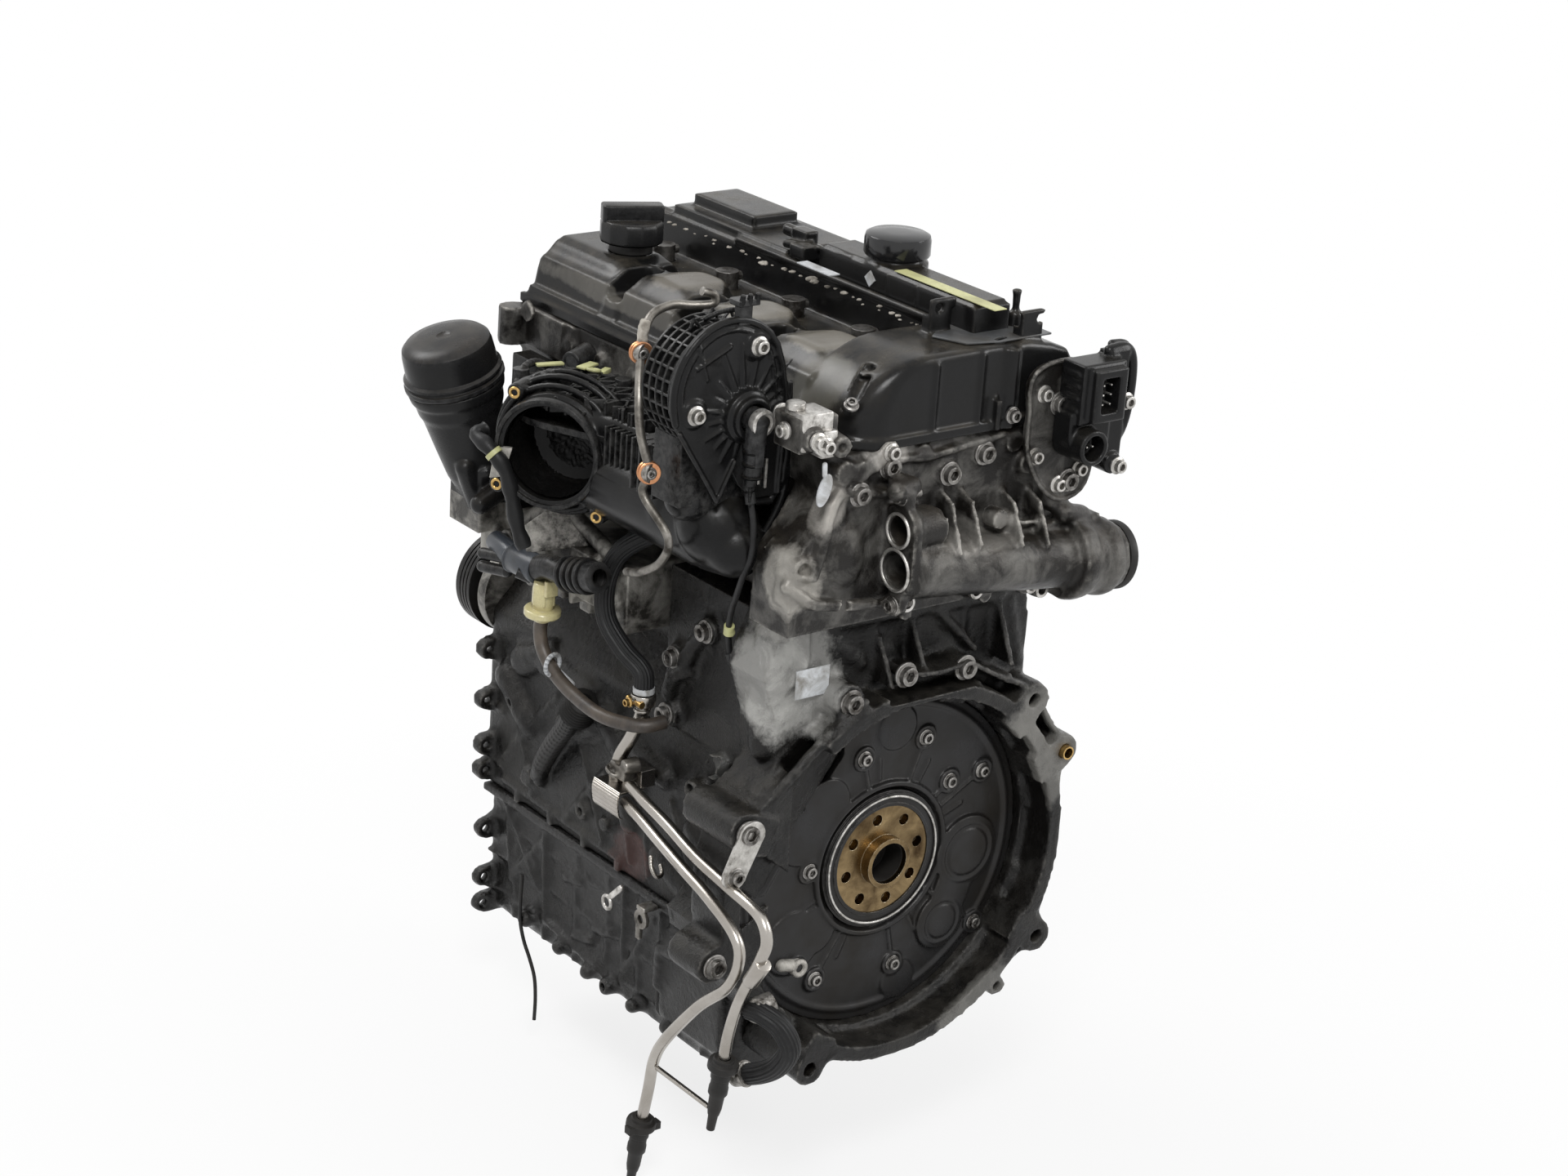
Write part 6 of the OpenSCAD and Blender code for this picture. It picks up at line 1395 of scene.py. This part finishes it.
def make_chamber_cover():
    """Ribbed front of the chamber with its hub, screw pads and long tail."""
    cover = bmesh.new()
    outline = [Vector((x, 19, z)) for x, z in drum_outline()]
    prism(cover, outline[::-1], (0, 6, 0))
    rim = [p + Vector((0, -1, 0)) for p in outline[:28]]
    chain(cover, rim, 3, sides=10)
    inner = [p + (Vector((-168, 19, 420)) - p).normalized() * 8 + Vector((0, -0.5, 0))
             for p in outline[:28]]
    chain(cover, inner, 1.6, sides=8)
    turned(cover, [(0, 8), (19, 8), (21, 7), (22, 2), (24, -2), (0, -2)], HUB, (0, -1, 0), 48)
    turned(cover, [(12, 8), (12, 13), (14, 14), (17, 13), (18, 7)], HUB, (0, -1, 0), 48)
    for k in range(20):
        angle = math.radians(18 * k + 6)
        reach = 40 if k % 2 else 34
        if 35 < 18 * k + 6 < 125:
            reach = 58
        out = Vector((math.cos(angle), 0, math.sin(angle)))
        capsule(cover, HUB + out * 20 + Vector((0, -1, 0)), HUB + out * reach, 1.7, 1.2, 8)
    capsule(cover, (-206, 18, 452), (-176, 18, 466), 1.8)
    capsule(cover, (-196, 18, 442), (-206, 18, 470), 1.4)
    for x, z in CHAMBER_SCREWS:
        turned(cover, [(0, 3), (10, 3), (12, 1), (13, -4), (0, -4)], (x, 19, z), (0, -1, 0), 32)
    block(cover, (-152, 15, 340), (-122, 20, 392))
    for x in (-150, -124):
        capsule(cover, (x, 14, 342), (x + 2, 14, 390), 2)
    capsule(cover, (-166, 17, 372), (-181, 17, 342), 2)
    capsule(cover, (-220, 17, 402), (-181, 17, 342), 2)
    capsule(cover, (-116, 17, 430), (-112, 18, 356), 2)
    chain(cover, curve([(-112, 18, 360), (-118, 18, 330), (-134, 20, 300), (-150, 22, 276)]), 3)
    stand_in("chamber_front", cast(cover, 1.0, 1, 0.3), "chamber_cover", 45)


def make_chamber_sensor():
    """Sensor on the hub with its plug and lead, and the cover's bright screws."""
    sensor = bmesh.new()
    bar(sensor, HUB + Vector((0, 4, 0)), HUB + Vector((0, -24, 0)), 10)
    capsule(sensor, HUB + Vector((-2, -20, 0)), HUB + Vector((-3, -20, -22)), 9, 8)
    bar(sensor, HUB + Vector((-3, -20, -20)), HUB + Vector((-3, -18, -46)), 7.5, 7)
    for z in (-24, -34, -44):
        ring(sensor, HUB + Vector((-3, -19, z)), (0, 0, 1), 7.6, 1.3, 28)
    block(sensor, (-165, -9, 374), (-157, -4, 396))
    bar(sensor, HUB + Vector((-3, -18, -44)), HUB + Vector((-3, -17, -52)), 5, 4.5)
    chain(sensor, curve([(-161, 1, 358), (-160, 2, 340), (-152, 6, 320), (-140, 12, 302),
                         (-130, 18, 294)]), 1.6, sides=8)
    block(sensor, (-170, 16, 482), (-158, 24, 500))
    block(sensor, (-174, 12, 498), (-154, 26, 503))
    for x in (-171, -164, -157):
        bar(sensor, (x, 14, 500), (x, 12, 508), 2.6, 2, 12)
    stand_in("sensor_body", rounded(sensor, 0.7, 1), "chamber_sensor")
    shiny = bmesh.new()
    turned(shiny, [(6, 25.5), (8, 26.6), (10.5, 26), (11, 24), (11, 20), (6, 20)], HUB,
           (0, -1, 0), 36)
    for x, z in CHAMBER_SCREWS:
        bolt(shiny, (x, 16, z), (0, -1, 0), 8, 7)
    block(shiny, (-146, 12, 352), (-144, 14, 376))
    block(shiny, (-139, 12, 348), (-137, 14, 372))
    piece("chamber_screws", shiny, ZINC, "torx_screws")


# --- filter, caps and cover fittings --------------------------------------------------------

def tilted(height, lean=17):
    """Point on the oil filter's axis at a height over its foot."""
    lean = math.radians(lean)
    return Vector((-152 - height * math.sin(lean), 392, 222 + height * math.cos(lean)))


def make_filter():
    """Tapered filter housing with its smooth, slightly domed cap."""
    way = (tilted(1) - tilted(0)).normalized()
    body = bmesh.new()
    turned(body, [(0, 4), (18, 4), (22, 14), (27, 30), (31, 56), (33, 70), (35.5, 88), (38, 94),
                  (39, 104), (41.5, 107), (42.5, 113), (42.5, 116.2), (0, 116.2)],
           tilted(0), way, 72)
    for angle in (200, 232, 262):
        a = math.radians(angle)
        out = Vector((math.cos(a), math.sin(a), 0))
        capsule(body, tilted(20) + out * 22, tilted(88) + out * 33, 2)
    block(body, (-176, 362, 224), (-112, 412, 258))
    block(body, (-150, 340, 226), (-116, 372, 250))
    capsule(body, (-182, 352, 232), (-150, 356, 244), 9)
    capsule(body, (-160, 380, 214), (-186, 372, 260), 13, 9)
    ball(body, tilted(34) + Vector((-6, -26, 0)), 8)
    stand_in("filter_body", cast(body, 1.3, 3, 0.3), "oil_filter_housing", CAST_CREASE)
    cap = bmesh.new()
    turned(cap, [(0, 116.6), (43, 116.6), (44, 118), (44, 121), (41.6, 122), (41.6, 124),
                 (43.2, 125), (43.2, 127), (40.5, 129), (39.6, 148), (38.5, 153), (35, 156.5),
                 (26, 158.6), (12, 160), (7, 160), (5.5, 159), (0, 158.8)],
           tilted(0), way, 96)
    stand_in("filter_top", cap, "oil_filter_cap")


def make_caps():
    """Filler cap with its grip bar and the separator's smooth round cap."""
    cap = bmesh.new()
    turned(cap, [(0, -7), (13.9, -7), (13.9, 8.3), (27, 8.3), (28, 10), (28, 24), (26.5, 28),
                 (0, 28.5)], (-38, 350, 443), (0, 0, 1), 12)
    way = Vector((math.cos(math.radians(-24)), math.sin(math.radians(-24)), 0))
    side = Vector((-way.y, way.x, 0))
    at = Vector((-38, 350, 443))
    grip = [at + way * x + side * y for x, y in ((-27, -6), (-25, -9), (25, -9), (27, -6),
                                                 (27, 6), (25, 9), (-25, 9), (-27, 6))]
    prism(cap, [p + Vector((0, 0, 26)) for p in grip], (0, 0, 15))
    stand_in("filler_grip", rounded(cap, 1.6, 3, 20), "oil_filler_cap")
    lid = bmesh.new()
    turned(lid, [(0, 4.2), (27, 4.2), (28, 6), (28, 18), (27, 21.5), (24, 23), (10, 23.8),
                 (0, 24)], (70, 122, 481), (0, 0, 1), 64)
    piece("separator_lid", lid, GLOSS_BLACK, "separator_cap", ("separator_cap",))


def make_cover_marks():
    """Grey plate on the dome, with the plain label and marks of the separator."""
    top = bmesh.new()
    prism(top, [(8, -2, 455.4), (20, -30, 455.4), (50, -37, 455.4), (104, -37, 455.4),
                (104, 14, 455.4), (42, 24, 455.4)], (0, 0, 1.8))
    piece("dome_plate", carved(rounded(top, 0.5), slot_cutter()), SATIN_TOP, "cam_cover")
    label = bmesh.new()
    block(label, (43.5, -34, 481.3), (56, 92, 482))
    piece("separator_label", label, LABEL_YELLOW, "oil_separator")
    marks = bmesh.new()
    block(marks, (8, 132, 470.5), (19, 176, 471.6))
    verts = block(marks, (-5, -0.5, -5), (5, 0.5, 5))
    bmesh.ops.rotate(marks, verts=verts, matrix=Matrix.Rotation(math.radians(45), 3, "X")
                     @ Matrix.Rotation(math.radians(90), 3, "Z"))
    bmesh.ops.translate(marks, verts=verts, vec=(41.6, 120, 468))
    piece("pale_marks", marks, LABEL_WHITE, "oil_separator")


def make_crumbs():
    """Pale dried crumbs that lie along the valley beside the separator."""
    crumbs = bmesh.new()
    for k in range(34):
        y = 24 + 386 * ((k * 0.618) % 1) ** 1.2
        x = 31 - 22 * abs(noise.noise((k * 0.7, 3.1, 0.2)))
        size = 0.8 + 5.0 * abs(noise.noise((k * 1.37, 7.1, 1.3))) ** 1.3
        for j in range(3):
            shift = 2.2 * size * noise.noise((k * 0.9, j * 1.7, 2.1))
            ball(crumbs, (x + 0.4 * shift, y + shift, 452.5 + 3 * ease(x, 30, 33)),
                 size * (1 - 0.25 * j), (1.4, 1.1, 0.5))
    piece("valley_crumbs", roughened(crumbs, 0.8, 1.4), CRUST, "cam_cover", crease=60)


def make_cover_screws():
    """Screws of the cam cover and of the end cover."""
    screws = bmesh.new()
    for y in NOTCH_ROWS:
        bolt(screws, (-58, y, NOTCH_Z), (0, 0, 1), 6.5, 6)
    bolt(screws, (-93, -31, 422), (-0.3, -0.5, 1), 6, 5)
    bolt(screws, (58, -50, 398), (0, -1, 0), 7, 6)
    for x, z in SCREW_SPOTS:
        bolt(screws, (x, -1.6, z), (0, -1, 0), 7, 5.5)
    stand_in("cover_screws", screws, "torx_screws")


def slot_cutter():
    """The slot in the plate on the dome."""
    cutter = bmesh.new()
    capsule(cutter, (50, -33, 456), (58, -31, 456), 3)
    return cutter


# --- actuator -----------------------------------------------------------------------------

def make_actuator_plate():
    """Dirty sheet plate that carries the actuator's motor."""
    plate = bmesh.new()
    outline = [(70, 400), (68, 424), (78, 436), (100, 440), (128, 436), (138, 420), (140, 380),
               (142, 346), (134, 326), (112, 320), (92, 332), (78, 352), (70, 374)]
    points = curve([(x, -56, z) for x, z in outline + outline[:1]], 4)[:-1]
    prism(plate, points, (0, 5, 0))
    for x, z in ((101, 404), (128, 408), (96, 350)):
        bar(plate, (x, -52, z), (x, -44.6, z), 8)
    rim = curve([(x, -57, z) for x, z in outline + outline[:1]], 3)
    chain(plate, rim, 2.2, sides=8)
    piece("sensor_plate", cast(plate, 1.2, 2, 0.3), FINISH["head_aluminium"], "actuator_plate",
          ("actuator_plate",), 50)


def make_motor():
    """Moulded motor with two plug sockets, its curved shield, pins and screws."""
    body = bmesh.new()
    block(body, (100, -84, 392), (146, -57, 442))
    block(body, (108, -91, 394), (142, -80, 438))
    bar(body, (112, -57, 374), (112, -92, 374), 15)
    block(body, (96, -78, 372), (140, -57, 400))
    bar(body, (148, -57, 352), (148, -78, 352), 9)
    block(body, (138, -74, 350), (158, -58, 446))
    chain(body, curve([(140, -68, 446), (158, -68, 446), (166, -68, 432), (166, -68, 400),
                       (160, -68, 376), (148, -66, 360)]), 5)
    chain(body, curve([(150, -60, 448), (166, -60, 444), (168, -60, 420)]), 4)
    for z in (402, 412, 422, 432):
        block(body, (98, -80, z), (101, -60, z + 3))
    holes = bmesh.new()
    block(holes, (116, -96, 402), (134, -74, 431))
    bar(holes, (112, -96, 374), (112, -76, 374), 10.5)
    body = cast(body, 1.1, 2, 0.3, holes)
    stand_in("actuator_motor", body, "actuator_body", CAST_CREASE)
    pins = bmesh.new()
    for x, z in ((121, 408), (121, 416), (121, 424), (129, 408), (129, 416), (129, 424),
                 (109, 374), (115, 374)):
        bar(pins, (x, -73, z), (x, -86, z), 1.1, 0.8, 8)
    piece("socket_pins", pins, ZINC, "actuator_body")
    screws = bmesh.new()
    for x, y, z in ((84, -56, 414), (80, -56, 362), (108, -56, 334), (130, -56, 344),
                    (160, -72, 402), (152, -78, 350)):
        bolt(screws, (x, y, z), (0, -1, 0), 7.5, 7)
    piece("plate_screws", screws, ZINC, "actuator_body")


# --- pipes, hoses and leads ---------------------------------------------------------------

FUEL = ((-156, 85, 490), (-145, 84, 486), (-145, 84, 479), (-158, 92, 477), (-174, 100, 477),
        (-194, 100, 469), (-209, 88, 446), (-222, 70, 420), (-226, 60, 392), (-223, 50, 362),
        (-222, 58, 342), (-216, 30, 314), (-209, 48, 286), (-202, 84, 264), (-192, 116, 252))
BANJOS, BANJO_WAY = (Vector(FUEL[6]), Vector(FUEL[9])), (-0.35, -1, 0.1)
BREATHER = ((-128, 150, 264), (-138, 166, 257), (-152, 184, 238), (-160, 190, 210),
            (-162, 184, 182), (-157, 164, 160), (-150, 146, 146), (-150, 142, 132),
            (-150, 142, 122))
STEEL = ((-150, 142, 121), (-150, 143, 108), (-151, 154, 84), (-152, 167, 62), (-153, 171, 46),
         (-153, 171, 37))
PIPE_A = ((-158, 150, 26), (-164, 120, 26), (-170, 84, 22), (-176, 40, 16), (-180, -4, 8),
          (-181, -42, -8), (-181, -50, -28), (-181, -36, -58), (-181, 0, -92), (-181, 40, -140),
          (-181, 56, -168), (-181, 62, -200), (-181, 70, -238))
PIPE_B = ((-156, 146, 42), (-162, 118, 42), (-170, 70, 40), (-177, 20, 34), (-181, -30, 30),
          (-182, -72, 24), (-183, -86, 8), (-183, -80, -12), (-182, -68, -34), (-181, -52, -66),
          (-181, -42, -100), (-181, -38, -128))
LOWER = ((-169.2, -52, -72), (-165.5, -64, -72), (-157, -78, -80), (-150, -84, -98),
         (-150, -74, -118), (-152, -56, -134), (-156, -34, -146))
RETURN = ((-182, 250, 163.6), (-182, 252, 150), (-182, 246, 134), (-181, 226, 118),
          (-179, 196, 108), (-176, 160, 104), (-160, 130, 104), (-140, 124, 106))
LEAD = ((-159, 6, 361), (-159, 5, 350), (-157, 0, 326), (-155, 2, 300), (-154, 12, 278),
        (-149, 25, 257), (-142, 40, 236), (-136, 50, 214), (-130, 54, 192), (-122.6, 51, 168))
WIRE = ((-121, 356, -140), (-121, 356, -150), (-123, 354, -166), (-125, 350, -184),
        (-125, 343, -201), (-123, 335, -217), (-121, 329, -234), (-121, 326, -254),
        (-122, 325, -276))


def hang_wire():
    """Loose wire that hangs from the sump."""
    bm = bmesh.new()
    hose(bm, WIRE, 1.7, 12, 6)
    wire = stand_in("loose_wire", bm, "hanging_wire")


def make_fuel_line():
    """Fuel line with its banjo rings and bolts and a lump of pale crust."""
    line = bmesh.new()
    hose(line, FUEL, 3.5, 20, 6)
    for at in BANJOS:
        bar(line, at + Vector((-1, 3, 0)), at + Vector((1, -3, 0)), 8)
    stand_in("fuel_line", line, "fuel_pressure_line")
    rings = bmesh.new()
    for at in BANJOS:
        for off in (-4.5, 0.5):
            turned(rings, [(4, off), (8.6, off), (9.2, off + 1.4), (8.6, off + 2.8),
                           (4, off + 2.8)], at, BANJO_WAY, 36)
    piece("banjo_rings", rings, COPPER, "fuel_pressure_line")
    centres = bmesh.new()
    for at in BANJOS:
        bolt(centres, at + Vector((-0.8, -3, 0.2)), BANJO_WAY, 5.2, 4.5)
    fitting("banjo_bolts", centres, "fastener_steel", "fuel_pressure_line")
    crust = bmesh.new()
    for k in range(16):
        t = k / 15
        at = Vector((-200 - 6 * t, 98 - 6 * t, 466 - 12 * t))
        ball(crust, at + Vector((2 * noise.noise((k, 1, 1)), 3 * noise.noise((k, 5, 1)), 0)),
             4.2 + 2 * noise.noise((k, 2, 2)))
    piece("pale_crust", roughened(cast(crust, 1, 1, 0.6), 1.4, 3), CRUST, "fuel_pressure_line",
          crease=60)


def ribs(_share, angle):
    """Height of the fine ribs that run along a hose."""
    return 0.35 * math.cos(18 * angle)


def make_hoses():
    """Ribbed hoses, oily return hose and the sensor's lead with its tag."""
    for name, route, r, sides, swell, node_name in (
            ("breather", BREATHER, 8.3, 108, ribs, "breather_hose"),
            ("lower_braid", LOWER, 9, 96, ribs, "lower_hose"),
            ("oil_return", RETURN, 6, 24, None, "return_hose")):
        bm = bmesh.new()
        hose(bm, route, r, sides, 5, swell)
        stand_in(name, bm, node_name)
    bm = bmesh.new()
    hose(bm, LEAD, 2.6, 14, 5)
    for i in (0, 1, 8):
        a, b = Vector(LEAD[i]), Vector(LEAD[i + 1])
        bar(bm, a, a + (b - a).normalized() * 9, 4.2, sides=20)
    stand_in("lead", bm, "sensor_lead")
    bm = bmesh.new()
    bar(bm, (-137, 48, 219), (-135, 51, 211), 4.4, sides=20)
    ball(bm, (-134, 50, 212), 4)
    piece("lead_tag", bm, LABEL_YELLOW, "sensor_lead")


def make_coolant_pipes():
    """Two bent stainless pipes with their sleeve, hose band and white band."""
    bm = bmesh.new()
    hose(bm, PIPE_A, 5, 28, 8)
    stand_in("pipe_a", bm, "coolant_pipe_a")
    bm = bmesh.new()
    hose(bm, PIPE_B, 5, 28, 8)
    hose(bm, STEEL, 6, 28, 8)
    for z in (112, 104):
        ring(bm, (-150, 142.5, z), (0, 0, 1), 6.2, 1.4, 36)
    stand_in("pipe_b", bm, "coolant_pipe_b")
    bm = bmesh.new()
    low, high = Vector((-182.6, -83.5, -14)), Vector((-181.8, -67, -38))
    turned(bm, [(0, 0), (6.6, 0), (7, 1.2), (7, 27.8), (6.6, 29), (0, 29)], low, high - low, 40)
    block(bm, (-183, -22.6, -176), (-179.6, 51.8, -172.6))
    stand_in("pipe_sleeve", rounded(bm, 0.5), "pipe_strap")
    bm = bmesh.new()
    turned(bm, [(8.4, 0), (10.2, 0), (10.6, 1), (10.6, 9), (10.2, 10), (8.4, 10)],
           (-150, 142, 117), (0, 0, 1), 40)
    block(bm, (-164, 138, 118.5), (-156, 146, 125.5))
    stand_in("hose_band", rounded(bm, 0.5), "hose_clamp")
    bm = bmesh.new()
    bolt(bm, (-164, 142, 122), (-1, 0, 0), 4.6, 5)
    bar(bm, (-158, 132, 121), (-158, 152, 121), 3, sides=16)
    fitting("band_screw", bm, "brass", "hose_clamp")
    bm = bmesh.new()
    bar(bm, (-150, 142, 128), (-150, 142, 133), 9.2, sides=40)
    piece("white_band", bm, LABEL_WHITE, "hose_clamp")


def make_pipe_bracket():
    """Bent bracket and hook that hold the pipes, and the pipes' rough ends."""
    bm = bmesh.new()
    outline = curve([(-167, 184, 38), (-169, 184, 30), (-167, 184, 16), (-163, 184, 12)], 4)
    for a, b in zip(outline, outline[1:]):
        push = Vector((2.2, 0, 0))
        prism(bm, [a, b, b + push, a + push], (0, -38, 0))
    block(bm, (-167, 146, 35), (-140, 184, 37))
    block(bm, (-142, 150, 34), (-127, 180, 50))
    hook = curve([(-186, 70, 15), (-189, 64, 8), (-187, 60, 2), (-180, 62, 1), (-177, 68, 6)], 5)
    chain(bm, hook, 1.8, sides=10)
    stand_in("pipe_holder", rounded(bm, 0.5, 1), "pipe_bracket")
    bm = bmesh.new()
    for y, z in ((166, 52), (150, 58), (170, 30)):
        bar(bm, (-146, y, z), (-160, y + 2, z), 7, 6)
    ring(bm, (-157, 166, 48), (0.2, -0.3, 1), 8, 2)
    block(bm, (-160, 150, 44), (-146, 164, 56))
    fitting("pipe_ends", cast(bm, 1.1, 2, 0.4), "bracket_steel", "pipe_bracket")


def make_boots():
    """Rubber boots at the pipes' lower ends and the clamps of the lower hose."""
    boots = bmesh.new()
    for at in (PIPE_A[-1], PIPE_B[-1]):
        way = Vector((0, 0.17, -0.98))
        turned(boots, [(5.2, -8), (8.6, -8), (9.2, -5), (12.4, -4), (13, -2), (13, 2), (11, 4),
                       (8.6, 5), (8.6, 12), (7.6, 13), (7.6, 20), (8.2, 22), (8.2, 28), (6.4, 31),
                       (6, 44), (5, 50), (4.2, 52), (3.6, 66), (0, 67)], at, way, 40)
    for x, y, z in ((-193, 66, -238), (-169, 66, -240)):
        block(boots, (x - 4, y - 3, z - 4), (x + 4, y + 5, z + 3))
    stand_in("rubber_boots", boots, "pipe_boots")
    bm = bmesh.new()
    bar(bm, (-152, -60, -66), (-167, -58, -71), 8, 10)
    ring(bm, (-165, -60, -72), (0.6, 0.8, 0.1), 10, 2.2)
    ring(bm, (-156, -36, -144), (0.2, -0.8, 0.5), 9.6, 2)
    bar(bm, (-156, -40, -142), (-158, -26, -152), 10, 8)
    fitting("hose_ends", bm, "bracket_steel", "lower_hose")


def make_coupler():
    """Quick coupler: grey tube, black ringed elbow, yellowed neck and ringed conduit."""
    bm = bmesh.new()
    bar(bm, (-184, 290, 203), (-180, 330, 206), 11, 9)
    bar(bm, (-183, 256, 204), (-184, 292, 203), 12.5)
    ring(bm, (-184, 292, 203), (0, 1, 0), 11.6, 1.8)
    bar(bm, (-172, 326, 204), (-186, 326, 204), 8)
    stand_in("grey_tube", rounded(bm, 1, 2, 50), "quick_coupler")
    bm = bmesh.new()
    chain(bm, curve([(-183, 256, 206), (-182, 244, 211), (-181, 230, 212), (-180, 212, 213),
                     (-180, 196, 218)]), 11)
    for k, y in enumerate((188, 197, 206, 215)):
        turned(bm, [(6, -2), (14.5, -2), (15.5, -1), (15.5, 1), (14.5, 2), (6, 2)],
               (-180, y, 221 - 2.4 * k), (0, -1, 0.3), 44)
    turned(bm, [(7, 0), (13, 0), (13, 12), (9, 14), (7, 14)], (-180, 184, 222), (0, -1, 0.3), 44)
    bar(bm, (-186, 262, 196), (-196, 270, 200), 6, 5)
    for z in (188, 200):
        capsule(bm, (-186, 300, z), (-192, 330, z - 4), 5)
    fitting("black_elbow", bm, "cap_plastic", "quick_coupler")
    bm = bmesh.new()
    turned(bm, [(0, -2), (9, -2), (10, 4), (10, 16), (9, 20), (9, 30), (7, 34), (0, 34)],
           (-182, 248, 194), (0, 0.06, -1), 40)
    turned(bm, [(8, 0), (15, 0), (16, 1.5), (16, 5.5), (15, 7), (8, 7)], (-182, 249.4, 172),
           (0, 0.06, -1), 44)
    for angle in range(0, 360, 60):
        a = math.radians(angle)
        block(bm, (-183 + 9.4 * math.cos(a), 247.6 + 9.4 * math.sin(a), 176),
              (-181 + 9.4 * math.cos(a), 249.6 + 9.4 * math.sin(a), 190))
    block(bm, (-188, 236, 186), (-176, 240, 200))
    piece("amber_neck", rounded(bm, 0.5, 1, 40), AMBER, "quick_coupler")
    bm = bmesh.new()
    conduit = [INLET_AT + Vector(p) for p in ((-20, 60, 8), (-30, 58, 4), (-28, 42, -2),
                                              (-20, 30, -18), (-15, 26, -40), (-12, 20, -66),
                                              (-8, 14, -84))]
    hose(bm, conduit, 6.4, 40, 5, lambda share, angle: 0.7 * math.sin(150 * share))
    fitting("conduit", bm, "hose_rubber", "quick_coupler")
    bm = bmesh.new()
    at = curve(conduit, 5)
    bar(bm, at[11], at[12], 7.4, sides=24)
    piece("conduit_band", bm, LABEL_YELLOW, "quick_coupler")


def make_left_fittings():
    """Pale sheet pieces, the return hose's clip and the bellows on the left wall."""
    bm = bmesh.new()
    prism(bm, [(-232, 262, 292), (-226, 250, 296), (-222, 244, 322), (-230, 258, 320)],
          (3, 4, 0))
    prism(bm, [(-150, 232, 228), (-186, 272, 214), (-188, 278, 236), (-158, 262, 262)],
          (10, 4, 0))
    piece("pale_sheet", rounded(bm, 0.8), FINISH["clean_aluminium"], "filter_module")
    bm = bmesh.new()
    clip = [(-184 + 9 * math.cos(math.radians(a)), 228 + 3 * math.cos(math.radians(a)),
             128 + 9 * math.sin(math.radians(a))) for a in range(-60, 250, 20)]
    chain(bm, clip, 2, sides=8)
    capsule(bm, (-178, 226, 120), (-172, 216, 112), 3)
    piece("pipe_clip", bm, LABEL_WHITE, "return_hose")
    bm = bmesh.new()
    way = Vector((0.2, 1, -1.2)).normalized()
    profile = [(7, -2)]
    for k in range(7):
        profile += [(13 + 0.6 * k, 3.4 * k), (10.5 + 0.6 * k, 3.4 * k + 1.7)]
    turned(bm, profile + [(7, 24)], (-146, 234, 84), way, 40)
    chain(bm, curve([(-144, 252, 66), (-140, 266, 48), (-134, 292, 22), (-128, 318, -8),
                     (-122, 334, -30)]), 10, 8)
    fitting("bellows", bm, "seal_rubber", "crankcase")


def make_rest():
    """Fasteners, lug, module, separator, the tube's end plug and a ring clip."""
    soften("flange_bolts", 0.5)
    soften("earth_lug", 0.6)
    skin("filter_module", 1.6, 0.3, module_extras)
    skin("oil_separator", 1.3, 0.3, separator_extras)
    plug = bmesh.new()
    turned(plug, [(0, 222), (28, 222), (29, 224), (29, 229), (26, 231), (14, 232), (12, 235),
                  (0, 236)], TUBE_AT, TUBE_WAY, 48)
    stand_in("end_plug", plug, "tube_end_plug")
    lug = bmesh.new()
    ring(lug, (-133, 203, -98), (1, 0, 0), 6, 1.8, 32)
    capsule(lug, (-132, 200, -92), (-128, 190, -80), 3)
    piece("ring_clip", lug, ZINC, "sump")


def module_extras(bm):
    """Cast ribs and bosses of the filter module."""
    for a, b, r in (((-160, 230, 214), (-160, 300, 176), 6),
                    ((-150, 190, 190), (-150, 240, 222), 6),
                    ((-160, 330, 180), (-150, 390, 218), 7),
                    ((-150, 200, 232), (-150, 260, 250), 7),
                    ((-140, 300, 240), (-150, 330, 216), 9)):
        capsule(bm, a, b, r)
    for y, z in ((212, 216), (292, 190), (250, 196), (388, 206)):
        bar(bm, (-140, y, z), (-166, y, z), 8, 7)


def separator_extras(bm):
    """Clips and seams of the oil separator's side."""
    capsule(bm, (46, 150, 478), (46, 200, 474), 3)
    capsule(bm, (40, 204, 474), (40, 232, 470), 4)
    for y in (20, 60, 98):
        capsule(bm, (42.5, y, 458), (42.5, y, 476), 1.6)


# --- all pieces ---------------------------------------------------------------------------

add_camera()
hang_wire()
add_floor_and_light()
for name, obj in NODES.items():
    obj.data.materials.clear()
    obj.data.materials.append(FINISH[SLOT_OF[name]])

for make in (make_cam_cover, make_case, make_case_fittings, make_head, make_manifold,
             make_lattice, make_neck, make_inserts, make_chamber, make_chamber_cover,
             make_chamber_sensor, make_filter, make_caps, make_cover_marks, make_crumbs,
             make_cover_screws, make_actuator_plate, make_motor, make_fuel_line, make_hoses,
             make_coolant_pipes, make_pipe_bracket, make_boots, make_coupler,
             make_left_fittings, make_rest):
    make()
